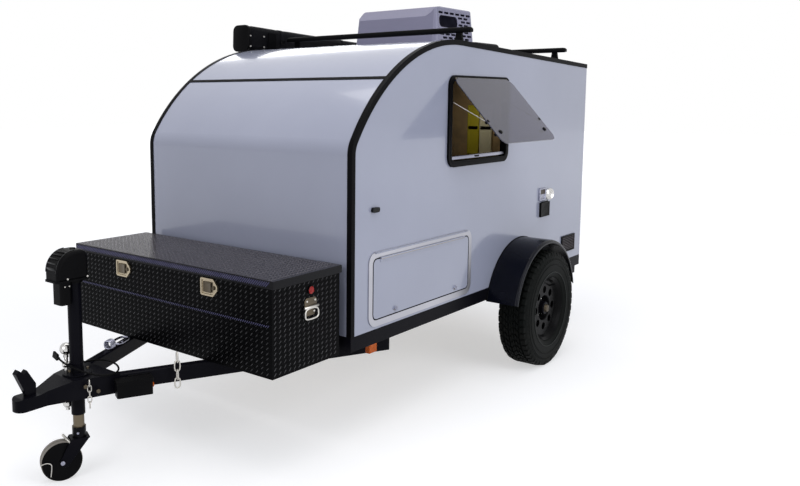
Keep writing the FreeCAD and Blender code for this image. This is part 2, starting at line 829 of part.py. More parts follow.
def build_coupler():
    """Pressed coupler over the tongue tubes, with the ball socket in its stepped nose."""
    nose = "front_y - tongue_reach"
    neck = "front_y - coupler_neck"
    heel = "front_y - coupler_rear"

    def plan(shrink):
        half = f"coupler_half_width - {shrink}"
        wide = f"coupler_rear_half_width - {shrink}"
        turn = f"coupler_round_share * ({half})"
        return [(f"-({half})", f"{nose} + {shrink}", turn), (half, f"{nose} + {shrink}", turn),
                (half, neck), (wide, heel), (f"-({wide})", heel), (f"-({half})", neck)]
    shell = panel("coupler_shell", "Z", [plan("0")], "coupler_top - coupler_bottom")
    place(shell, z="coupler_bottom")
    hollow = panel("coupler_hollow", "Z", [plan("coupler_plate")], "rail_bottom - coupler_bottom + overrun")
    place(hollow, z="coupler_bottom - overrun")
    cup_y = f"{nose} + socket_back"
    cup_top = "coupler_bottom + socket_depth"
    cup = rod("socket_wall", "Z", "socket_outer", ("coupler_bottom", "coupler_top"), ("0", cup_y))
    bore = rod("socket_bore", "Z", "socket_radius", ("coupler_bottom - overrun", cup_top), ("0", cup_y))
    post = rod("jack_hole", "Z", "jack_tube_radius + seat_gap", ("coupler_bottom", "coupler_top + overrun"),
               ("0", "jack_y"))

    def slope(name, top):
        level = f"{top} - nose_drop"
        wedge = panel(name, "X", [[
            (f"{nose} - overrun", f"{level} - nose_brow"), (f"{nose} + nose_brow", level, "nose_brow_round"),
            (f"{nose} + nose_back", level, "nose_round"), (f"{nose} + nose_slope", top),
            (f"{nose} + nose_slope", "coupler_top + overrun"), (f"{nose} - overrun",
                                                                "coupler_top + overrun")]],
            "2 * coupler_rear_half_width")
        return place(wedge, x="-coupler_rear_half_width")
    room = cut("coupler_room", hollow, slope("room_slope", "rail_bottom"))
    skin = cut("coupler_skin", shell, room, post)
    stepped = cut("coupler_stepped", fuse("coupler_solid", skin, cup), bore, slope("nose_slope_cut",
                                                                                   "coupler_top"))
    gland = doc.addObject("Part::Cone", "lead_gland")
    gland.setExpression("Radius1", formula("gland_radius"))
    gland.setExpression("Radius2", formula("gland_tip_radius"))
    gland.setExpression("Height", formula("gland_height"))
    place(gland, "lead_0_across", "front_y + lead_0_along - gland_height", "lead_0_up", (1, 0, 0),
          "0 - quarter_turn")
    node(fuse("coupler_whole", stepped, gland), "coupler")
    seat = "coupler_top - nose_drop"
    lever = panel("latch_lever", "X", [[
        (f"{nose} + lever_foot_front", seat), (f"{nose} + lever_foot_rear", seat),
        (f"{nose} + lever_knee_back", f"{seat} + lever_knee_height"),
        (f"{nose} + lever_prong_back", f"{seat} + lever_prong_height"),
        (f"{nose} + lever_notch_back", f"{seat} + lever_notch_height"),
        (f"{nose} + lever_tip_back", f"{seat} + lever_tip_height"),
        (f"{nose} + lever_toe_back", f"{seat} + lever_toe_height")]], "lever_width")
    node(place(lever, x="-lever_width / 2"), "coupler_latch")


# Tongue jack
def build_jack():
    """Jack tube with its flange and powered head, and the inner leg with its sleeve."""
    at = ("0", "jack_y")
    tube = rod("jack_outer", "Z", "jack_tube_radius", ("jack_tube_bottom", "jack_tube_top"), at)
    bore = rod("jack_bore", "Z", "jack_tube_radius - jack_tube_wall",
               ("jack_tube_bottom - overrun", "jack_tube_top - jack_tube_wall"), at)
    flange = rod("jack_flange_ring", "Z", "jack_flange_radius + jack_tube_radius",
                 ("coupler_top", "coupler_top + jack_flange"), at)
    clip = rod("lead_clip", "Z", "jack_tube_radius + cable_clip_wall",
               ("cable_clip_low", "cable_clip_low + cable_clip_height"), at)
    ear = block("lead_clip_ear", ("-cable_clip_half", "cable_clip_half"),
                ("jack_y - cable_clip_reach", "jack_y"),
                ("cable_clip_low", "cable_clip_low + cable_clip_height"))
    node(cut("jack_body", fuse("jack_stack", tube, flange, clip, ear), bore), "jack_post")
    hood = panel("jack_hood", "X", [[
        ("jack_y - head_front", "head_bottom", "hood_lip_round"),
        ("jack_y + head_rear", "head_bottom", "hood_lip_round"),
        ("jack_y + head_rear", "head_top", "hood_back_round"),
        ("jack_y - head_front", "head_top", "hood_front_round")]], "2 * head_half_width")
    faces = ("0", "2 * head_half_width")
    soften(hood, "hood_side_round", lambda edge: any(
        abs(edge.BoundBox.XMin - number(x)) < FINE and abs(edge.BoundBox.XMax - number(x)) < FINE for x in faces))
    place(hood, x="-head_half_width")
    skirt = panel("jack_skirt", "Z", [rectangle(
        ("0 - head_half_width - hood_skirt", "head_half_width + hood_skirt"),
        ("jack_y - head_front - hood_skirt", "jack_y + head_rear + hood_skirt"), "hood_skirt_corner")],
        "hood_skirt_height")
    place(skirt, z="head_bottom")
    neck = rod("jack_neck", "Z", "jack_tube_radius + jack_flange", ("jack_tube_top", "head_bottom"), at)
    motor = panel("jack_motor", "Z", [rectangle(
        ("-motor_half_width", "motor_half_width"), ("jack_y - motor_start", "jack_y - motor_end"),
        "motor_corner")],
        "head_bottom - motor_bottom")
    place(motor, z="motor_bottom")
    plug = rod("crank_plug", "Z", "hood_plug_radius", ("head_bottom", "head_top + hood_plug_height"), at)
    node(fuse("jack_top", hood, skirt, neck, motor, plug), "jack_head")
    leg = rod("leg_tube", "Z", "leg_radius", ("leg_sleeve_bottom", "leg_top"), at)
    hollow = rod("leg_hollow", "Z", "leg_radius - leg_wall", ("leg_bottom", "leg_top + overrun"), at)
    sleeve = rod("leg_sleeve", "Z", "leg_sleeve_radius", ("leg_sleeve_bottom", "leg_bottom"), at)
    node(fuse("leg", cut("leg_open", leg, hollow), sleeve), "jack_leg")


def build_caster():
    """Swivelling fork and its twin wheel, turned to the side as it was left."""
    half = "caster_disc_width + caster_disc_gap / 2"
    inner = f"{half} + caster_clear"
    outer = f"{inner} + fork_plate"
    crown_low = "leg_sleeve_bottom - fork_plate - seat_gap"
    crown_high = "leg_sleeve_bottom - seat_gap"
    cheeks = []
    for side, sign in SIDES:
        cheek = panel("cheek_" + side, "X", [[
            ("0 - caster_trail - cheek_half", "caster_radius - cheek_half", "cheek_round"),
            ("0 - caster_trail + cheek_half", "caster_radius - cheek_half", "cheek_round"),
            ("crown_half", crown_high), ("0 - crown_half", crown_high)]], "fork_plate")
        cheeks.append(place(cheek, x=span(sign, inner, outer)[0]))
    crown = block("fork_crown", (f"-({outer})", outer), ("0 - crown_half", "crown_half"),
                  (crown_low, crown_high))
    pin = rod("caster_pin", "X", "caster_pin_radius", (f"-({outer}) - pin_overhang",
                                                       f"{outer} + pin_overhang"),
              ("0 - caster_trail", "caster_radius"))
    fork = fuse("fork", crown, pin, *cheeks)
    node(place(fork, "0", "jack_y", "0", (0, 0, 1), "0 - caster_angle"), "caster_fork")
    discs = doc.addObject("PartDesign::Body", "caster_discs")
    sketch = body_sketch(discs, "XZ_Plane")
    gap = "caster_disc_gap / 2"
    groove = "caster_radius * disc_groove_share"
    outline(sketch, [(f"-({half})", "caster_pin_radius + seat_gap"), (half, "caster_pin_radius + seat_gap"),
                     (half, "caster_radius", "disc_edge"), (gap, "caster_radius", "disc_edge"), (gap, groove),
                     (f"-({gap})", groove), (f"-({gap})", "caster_radius", "disc_edge"),
                     (f"-({half})", "caster_radius", "disc_edge")])
    revolve(discs, sketch, "H_Axis", "360")
    away = "0 - caster_trail * sin(caster_angle * 1 deg)"
    back = "jack_y - caster_trail * cos(caster_angle * 1 deg)"
    node(place(discs, away, back, "caster_radius", (0, 0, 1), "0 - caster_angle"), "caster_wheel")


def build_brake_box():
    """Breakaway battery box with its lid, on its bracket beside the left tongue tube."""
    face = "rail_width / 2"
    xs = (f"{face} + brake_box_offset", f"{face} + brake_box_offset + brake_box_width")
    end = "(brake_box_start + brake_box_length)"
    box = panel("brake_box_body", "Z", [rectangle(xs, ("brake_box_start", end), "tube_corner")],
                "brake_box_height - brake_box_lid")
    place(box, z="rail_bottom - brake_box_height + brake_box_rise")
    lap = "brake_box_lid_lap"
    lid = panel("brake_box_cover", "Z", [rectangle(
        (f"{xs[0]} - {lap}", f"{xs[1]} + {lap}"), (f"brake_box_start - {lap}", f"{end} + {lap}"),
        "tube_corner")],
        "brake_box_lid")
    place(lid, z="rail_bottom + brake_box_rise - brake_box_lid")
    bracket = block("brake_box_bracket", (face, xs[0]), (f"{end} - brake_bracket_length", end),
                    ("tongue_bottom + tube_corner", "rail_bottom - tube_corner"))
    whole = fuse("brake_box_mounted", box, lid, bracket)
    node(place(whole, "0", "front_y - tongue_apex", "0", (0, 0, 1), "0 - tongue_angle"), "brake_box")


# Tool chest on the tongue
def build_chest():
    """Open chest of sheet metal with its bead, hinged lid, latches and end handles."""
    front = "front_y - chest_front"
    rear = "front_y - chest_rear"
    outer = block("chest_outer", ("-chest_half_width", "chest_half_width"), (front, rear),
                  ("chest_bottom", "chest_rim"))
    inner = block("chest_inner", ("chest_sheet - chest_half_width", "chest_half_width - chest_sheet"),
                  (f"{front} + chest_sheet", f"{rear} - chest_sheet"),
                  ("chest_bottom + chest_sheet", "chest_rim + overrun"))
    barrel = rod("chest_hinge", "X", "hinge_radius", ("-chest_half_width", "chest_half_width"),
                 ("hinge_y", "hinge_z"))
    bead = block("chest_bead", ("-chest_half_width", "chest_half_width"), (f"{front} - bead_proud", front),
                 ("bead_height - bead_half_height", "bead_height + bead_half_height"))
    node(fuse("chest_hinged", cut("chest_shell", outer, inner), barrel, bead), "toolbox_shell")
    lap_x = "chest_half_width + lid_side_lap"
    lip_z = "lid_top - lid_lip"
    lid = block("lid_outer", (f"-({lap_x})", lap_x), (f"{front} - lid_front_lap", rear), (lip_z, "lid_top"))
    lip_x = f"{lap_x} - chest_sheet"
    room = block("lid_room", (f"-({lip_x})", lip_x), (f"{front} - lid_front_lap + chest_sheet",
                                                      f"{rear} + overrun"),
                 (f"{lip_z} - overrun", "lid_top - chest_sheet"))
    node(cut("lid_body", lid, room), "toolbox_lid")
    pieces = []
    middle = "(paddle_low + paddle_high) / 2"
    for at in ("paddle_right", "paddle_left"):
        def shield(rim):
            left = f"{at} - paddle_half_width + {rim}"
            shoulder = f"{at} + paddle_half_width - paddle_point"
            tip = f"{at} + paddle_half_width - {rim}"
            low = f"paddle_low + {rim}"
            high = f"paddle_high - {rim}"
            return [(left, low, "paddle_round"), (shoulder, low, "paddle_round"),
                    (tip, f"{middle} - paddle_point_half", "paddle_round"),
                    (tip, f"{middle} + paddle_point_half", "paddle_round"),
                    (shoulder, high, "paddle_round"), (left, high, "paddle_round")]
        plate = place(panel(at + "_plate", "Y", [shield("0")], "paddle_depth"), y=f"{front} - paddle_depth")
        dish = place(panel(at + "_dish", "Y", [shield("paddle_rim")], "paddle_recess + overrun"),
                     y=f"{front} - paddle_depth - overrun")
        leaf = block(at + "_leaf", (f"{at} - paddle_leaf_half - paddle_rim",
                                    f"{at} + paddle_leaf_half - paddle_rim"),
                     (f"{front} - paddle_leaf_depth", f"{front} - paddle_depth + paddle_recess"),
                     (f"{middle} - paddle_leaf_half", f"{middle} + paddle_leaf_half"))
        key = rod(at + "_key", "Y", "paddle_key_radius",
                  (f"{front} - paddle_depth", f"{front} - paddle_depth + paddle_recess"),
                  (f"{at} + paddle_half_width - paddle_point", middle))
        pieces.append(fuse(at + "_latch", cut(at + "_pan", plate, dish), leaf, key))
    for side, sign in SIDES:
        ends = (f"{front} + grip_front", f"{front} + grip_front + grip_length")
        plate = panel("grip_plate_" + side, "X", [rectangle(
            ends, ("grip_low", "grip_low + grip_height"), "grip_corner")], "grip_depth")
        parts = [place(plate, x=span(sign, "chest_half_width", "chest_half_width + grip_depth")[0])]
        for share in ("bail_low_share", "bail_high_share"):
            height = f"grip_low + {share} * grip_height"
            line = f"{sign} * (chest_half_width + bail_reach - bail_radius)"
            bar = (f"{ends[0]} + bail_inset - bail_radius", f"{ends[1]} - bail_inset + bail_radius")
            parts.append(rod(f"{share}_bar_{side}", "Y", "bail_radius", bar, (line, height)))
            for index, back in enumerate((f"{ends[0]} + bail_inset", f"{ends[1]} - bail_inset")):
                parts.append(rod(f"{share}_leg_{side}_{index}", "X", "bail_radius - seat_gap", span(
                    sign, "chest_half_width", "chest_half_width + bail_reach - bail_radius"), (back, height)))
        pieces.append(fuse("grip_" + side, *parts))
    node(gather("chest_fittings", *pieces), "toolbox_hardware")


# Axle and wheels
def build_axle():
    """Torsion axle under the rails, with trailing arms and spindles."""
    ys = ("axle_y - axle_lead - axle_tube / 2", "axle_y - axle_lead + axle_tube / 2")
    tube = block("axle_tube_box", ("-body_half_width", "body_half_width"), ys,
                 ("rail_bottom - axle_tube", "rail_bottom"))
    parts = [tube]
    for side, sign in SIDES:
        arm = panel("arm_" + side, "X", [[
            ("axle_y - axle_lead - axle_tube / 2", "rail_bottom - axle_tube"),
            ("axle_y - arm_lead", "tyre_radius - axle_tube / 2", "arm_corner"),
            ("axle_y + axle_tube / 2", "tyre_radius - axle_tube / 2", "arm_corner"),
            ("axle_y + axle_tube / 2", "tyre_radius + axle_tube / 2", "arm_corner"),
            ("axle_y - axle_lead + axle_tube / 2", "rail_bottom"),
            ("axle_y - axle_lead - axle_tube / 2", "rail_bottom")]], "axle_arm_thickness")
        xs = span(sign, "body_half_width - axle_arm_thickness / 2",
                  "body_half_width + axle_arm_thickness / 2")
        parts.append(place(arm, x=xs[0]))
        ends = span(sign, "body_half_width", "drum_outer_face")
        parts.append(rod("spindle_" + side, "X", "spindle_radius", ends, ("axle_y", "tyre_radius")))
    node(fuse("axle_body", *parts), "axle")


def wheel_body(name, corners):
    """Turn a section, given as distance along the axle and radius, about the axle."""
    body = doc.addObject("PartDesign::Body", name)
    sketch = body_sketch(body, "XZ_Plane")
    outline(sketch, corners)
    revolve(body, sketch, "H_Axis", "360")
    return body


def build_wheels():
    """Tyre, steel rim and brake drum of each wheel."""
    for side, sign in SIDES:
        def at(text):
            return text if sign > 0 else f"-({text})"

        def near(inset):
            return at(f"tyre_inner_face + {inset}")

        def far(inset):
            return at(f"tyre_outer_face - {inset}")
        shoulder = "tyre_radius - sidewall_drop"
        flange = "rim_flange_radius + seat_gap"
        bead = "tyre_bead_radius + seat_gap"
        tyre = wheel_body("tyre_" + side, [
            (near("rim_flange_inset"), flange), (near("0"), shoulder, "sidewall_round"),
            (near("crown_inset"), "tyre_radius", "tyre_shoulder"), (far("crown_inset"), "tyre_radius",
                                                                    "tyre_shoulder"),
            (far("0"), shoulder, "sidewall_round"), (far("rim_flange_inset"), flange),
            (far("bead_seat_inset"), bead), (near("bead_seat_inset"), bead)])
        node(place(tyre, y="axle_y", z="tyre_radius"), "tyre_" + side)
        well = "tyre_bead_radius - rim_wall"
        land = at("drum_outer_face + rim_disc_thickness")
        back = at("rim_disc_face - rim_disc_thickness")
        rim = wheel_body("rim_turned_" + side, [
            (near("rim_edge_inset"), "rim_flange_radius"), (near("rim_flange_inset"), "rim_flange_radius"),
            (near("bead_seat_inset"), "tyre_bead_radius"), (far("bead_seat_inset"), "tyre_bead_radius"),
            (far("rim_flange_inset"), "rim_flange_radius"), (far("rim_edge_inset"), "rim_flange_radius"),
            (far("rim_back_inset"), well), (at("rim_disc_face"), f"{well} - dish_fall"),
            (at("rim_disc_face"), "rim_hub_radius + dish_reach", "dish_round"),
            (land, "rim_hub_radius + dish_land", "dish_round"), (land, "rim_hub_radius"),
            (at("drum_outer_face"), "rim_hub_radius"),
            (at("drum_outer_face"), "rim_hub_radius + dish_land + rim_disc_thickness", "dish_round"),
            (back, "rim_hub_radius + dish_reach + rim_disc_thickness", "dish_round"),
            (back, well), (near("rim_back_inset"), well)])
        holes = []
        count = int(number("rim_window_count"))
        for step in range(count):
            turn = f"({360 * step} / rim_window_count) * 1 deg"
            holes.append(rod(f"rim_window_{side}_{step}", "X", "rim_window_radius",
                             span(sign, "rim_disc_face - overrun", "rim_disc_face + overrun"),
                             (f"rim_window_circle * cos({turn})", f"rim_window_circle * sin({turn})")))
        wheel = cut("rim_" + side, rim, *holes)
        node(place(wheel, y="axle_y", z="tyre_radius"), "rim_" + side)
        hub = "rim_hub_radius - seat_gap"
        drum = wheel_body("drum_turned_" + side, [
            (at("drum_inner_face"), "spindle_radius + spindle_gap"), (at("drum_inner_face"), "drum_radius"),
            (at("drum_outer_face"), "drum_radius", "drum_round"), (at("drum_outer_face"), hub),
            (at("rim_disc_face + hub_proud"), hub, "hub_round"), (at("rim_disc_face + hub_proud"), "0"),
            (at("drum_outer_face + spindle_gap"), "0"),
            (at("drum_outer_face + spindle_gap"), "spindle_radius + spindle_gap")])
        node(place(drum, y="axle_y", z="tyre_radius"), "brake_drum_" + side)


def build_fenders():
    """Rolled fender with a rounded outer edge and a turned-down lip."""
    for side, sign in SIDES:
        def at(text):
            return text if sign > 0 else f"-({text})"
        body = doc.addObject("PartDesign::Body", "fender_turned_" + side)
        sketch = body_sketch(body, "XZ_Plane")
        skin = "fender_radius - fender_sheet"
        outline(sketch, [
            (at("body_half_width + seat_gap"), "fender_radius"), (at("fender_outer"), "fender_radius",
                                                                  "fender_round"),
            (at("fender_outer"), "fender_radius - fender_lip"),
            (at("fender_outer - fender_sheet"), "fender_radius - fender_lip"),
            (at("fender_outer - fender_sheet"), skin, "fender_round - fender_sheet"),
            (at("body_half_width + seat_gap + fender_sheet"), skin),
            (at("body_half_width + seat_gap + fender_sheet"), "fender_radius - fender_lip"),
            (at("body_half_width + seat_gap"), "fender_radius - fender_lip")])
        revolve(body, sketch, "H_Axis", "fender_angle")
        node(place(body, y="axle_y", z="tyre_radius"), "fender_" + side)


# Body panels
def build_walls():
    """Side walls with their openings, front panels, roof, floor and rear sill."""
    shift = "front_y + "
    window = rectangle((shift + "window_front + window_flange", shift + "window_rear - window_flange"),
                       ("window_bottom + window_flange", "window_top - window_flange"),
                       "window_corner - window_flange")
    baggage = rectangle((shift + "baggage_front + baggage_frame", shift + "baggage_rear - baggage_frame"),
                        ("baggage_bottom + baggage_frame", "baggage_top - baggage_frame"),
                        "baggage_corner - baggage_frame")
    entry = rectangle((shift + "entry_front", shift + "entry_rear"), ("entry_bottom", "entry_top"),
                      "entry_corner")
    openings = {"left": [window, baggage], "right": [entry]}
    for side, sign in SIDES:
        wall = prism("wall_" + side, "0", "body_bottom", "rear_y", span(sign, "inner_x", "body_half_width"))
        for index, corners in enumerate(openings[side]):
            sketch = body_sketch(wall, "YZ_Plane", f"opening_{index}")
            outline(sketch, corners)
            pocket(wall, sketch, "wall + overrun")
        node(wall, "side_wall_" + side)
    across = ("-inner_x", "inner_x")
    outer = prism("shell_outer", "0", "body_bottom", "rear_y", across)
    hollow = prism("shell_hollow", "wall", "body_bottom - overrun", "rear_y + overrun",
                   ("-inner_x - overrun", "inner_x + overrun"))
    shell = cut("shell", outer, hollow)
    lower = block("lower_zone", across, ("front_y - overrun", "front_y + wall"),
                  ("body_bottom - overrun", "seam_height"))
    node(common("front_lower", shell, lower), "front_wall")
    wedge = doc.addObject("Part::Cylinder", "roof_wedge")
    wedge.setExpression("Radius", formula("crown_radius + overrun"))
    wedge.setExpression("Height", formula("2 * inner_x + 2 * overrun"))
    wedge.setExpression("Angle", formula("band_angle + roof_fall"))
    turn = Rotation(Vector(1, 0, 0), 90 - number("roof_fall"))
    flat = turn.multiply(Rotation(Vector(0, 1, 0), 90)).multiply(Rotation(Vector(0, 0, 1), 90))
    wedge.Placement = Placement(Vector(), flat)
    place(wedge, "-inner_x - overrun", "crown_y", "crown_z")
    rear_zone = block("rear_zone", ("-inner_x - overrun", "inner_x + overrun"), ("crown_y",
                                                                                 "rear_y + overrun"),
                      ("seam_height", "crown_z + crown_radius + overrun"))
    roof_zone = fuse("roof_zone", wedge, rear_zone)
    node(common("roof_skin", shell, roof_zone), "roof_panel")
    upper = block("upper_zone", across, ("front_y - overrun", "crown_y"),
                  ("seam_height", "crown_z + crown_radius + overrun"))
    node(cut("front_upper", common("front_upper_all", shell, upper), roof_zone), "front_curved_panel")
    floor = block("floor_board", across, ("front_y + wall", "rear_y - wall"), ("body_bottom", "floor_top"))
    node(floor, "floor_panel")
    sill = block("sill_board", across, ("rear_y - wall", "rear_y"), ("body_bottom", "sill_top"))
    node(cut("sill_drilled", sill, *plate_holes("sill")), "rear_sill")


def plate_holes(owner):
    """Two bolt holes of the number plate, through the plate holder and the sill."""
    height = "(body_bottom + sill_top) / 2 + plate_height / 2 - plate_hole_margin"
    return [rod(f"{owner}_hole_{side}", "Y", "plate_hole_radius", ("rear_y - wall - overrun",
                                                                   "rear_y + overrun"),
                (f"{sign} * plate_hole_spacing / 2", height)) for side, sign in SIDES]


def build_trims():
    """Black trims over both side edges and the band across the front."""
    trims = []
    for side, sign in SIDES:
        raised = prism("trim_raised_" + side, "0 - trim_proud", "body_bottom", "rear_y",
                       span(sign, "body_half_width - trim_width", "body_half_width + trim_proud"))
        under = prism("trim_under_" + side, "0", "body_bottom - overrun", "rear_y + overrun",
                      span(sign, "0", "body_half_width"))
        inside = prism("trim_inside_" + side, "trim_width", "body_bottom - overrun", "rear_y + overrun",
                       span(sign, "0", "body_half_width + overrun"))
        trims.append(cut("trim_" + side, raised, under, inside))
    node(gather("trims", *trims), "edge_trims")
    across = ("trim_width - body_half_width", "body_half_width - trim_width")
    raised = prism("band_raised", "0 - trim_proud", "body_bottom", "rear_y", across)
    under = prism("band_under", "0", "body_bottom - overrun", "rear_y + overrun", ("-body_half_width",
                                                                                   "body_half_width"))
    tilt = ("sin(band_angle * 1 deg)", "cos(band_angle * 1 deg)")
    zone = block("band_zone", across, ("-band_width / 2", "band_width / 2"), ("-overrun", "overrun"))
    place(zone, across[0], f"crown_y - (crown_radius - overrun) * {tilt[0]} - band_width / 2 * {tilt[1]}",
          f"crown_z + (crown_radius - overrun) * {tilt[1]} - band_width / 2 * {tilt[0]}", (1, 0, 0),
          "band_angle")
    node(common("band", cut("band_skin", raised, under), zone), "front_band")


def window_set(prefix, sign, ys, zs, depth):
    """Window frame, tinted pane propped open at its foot, and its two stays."""
    def ring(grow):
        return rectangle((f"{ys[0]} + {grow}", f"{ys[1]} - {grow}"), (f"{zs[0]} + {grow}",
                                                                      f"{zs[1]} - {grow}"),
                         f"window_corner - {grow}")
    inner = ring("(window_flange + window_sleeve)")
    flange = place(panel(prefix + "window_flange_ring", "X", [ring("0"), inner], "window_proud"),
                   x=span(sign, "body_half_width", "body_half_width + window_proud")[0])
    sleeve = place(panel(prefix + "window_sleeve_ring", "X", [ring("(window_flange + seat_gap)"), inner],
                         depth),
                   x=span(sign, f"body_half_width - {depth}", "body_half_width")[0])
    node(fuse(prefix + "window_ring", flange, sleeve), prefix + "window_frame")
    half = f"(({ys[1]}) - ({ys[0]})) / 2 - pane_side_gap"
    length = f"({zs[1]}) - ({zs[0]}) - pane_shortfall"
    top = f"{zs[1]} - hinge_drop"
    glass = panel(prefix + "pane_sheet", "X", [rectangle(
        (f"-({half})", half), (f"0 - ({length})", "0"), "pane_corner")], "pane_thickness")
    middle = f"(({ys[0]}) + ({ys[1]})) / 2"
    face = "pane_x" if sign > 0 else "-pane_x"
    place(glass, x="0" if sign > 0 else "-pane_thickness")
    lip = block(prefix + "pane_hinge", span(sign, "0", "pane_thickness"),
                (f"0 - ({half}) + pane_corner", f"{half} - pane_corner"), ("0 - pane_thickness",
                                                                           "pane_thickness"))
    turned = fuse(prefix + "pane_turned", glass, lip)
    node(place(turned, face, middle, top, (0, 1, 0), f"{-sign} * pane_angle"), prefix + "window_pane")
    stays = []
    for end, way in ((ys[0], 1), (ys[1], -1)):
        side_y = f"{end} + {way} * (window_flange + window_sleeve + stay_boss / 2)"
        root_x = f"{sign} * (body_half_width - stay_boss / 2)"
        root_z = f"{top} - stay_drop + hinge_drop"
        run = "(stay_reach - pane_shortfall / 2)"
        away = "(stay_radius + seat_gap)"
        tip_x = f"{sign} * (pane_x + {run} * sin(pane_angle * 1 deg) - {away} * cos(pane_angle * 1 deg))"
        tip_z = f"{top} - {run} * cos(pane_angle * 1 deg) - {away} * sin(pane_angle * 1 deg)"
        bar = strut(f"{prefix}stay_{len(stays)}", "stay_radius / 2", side_y, (root_x, root_z), (tip_x, tip_z))
        knob = rod(f"{prefix}knob_{len(stays)}", "Y", "stay_radius",
                   (f"{side_y} - stay_radius", f"{side_y} + stay_radius"), (tip_x, tip_z))
        wide = (f"{end} + {way} * (window_flange + window_sleeve)", f"{side_y} + {way} * stay_radius")
        boss = block(f"{prefix}stay_boss_{len(stays)}", (f"{root_x} - stay_boss / 2",
                                                         f"{root_x} + stay_boss / 2"),
                     wide if way > 0 else wide[::-1], (f"{root_z} - stay_boss / 2",
                                                       f"{root_z} + stay_boss / 2"))
        stays.append(fuse(f"{prefix}stay_set_{len(stays)}", bar, knob, boss))
    node(gather(prefix + "stays", *stays), prefix + "window_stays")


def build_window():
    """Window in the left wall."""
    window_set("", 1, ("front_y + window_front", "front_y + window_rear"), ("window_bottom", "window_top"),
               "wall")


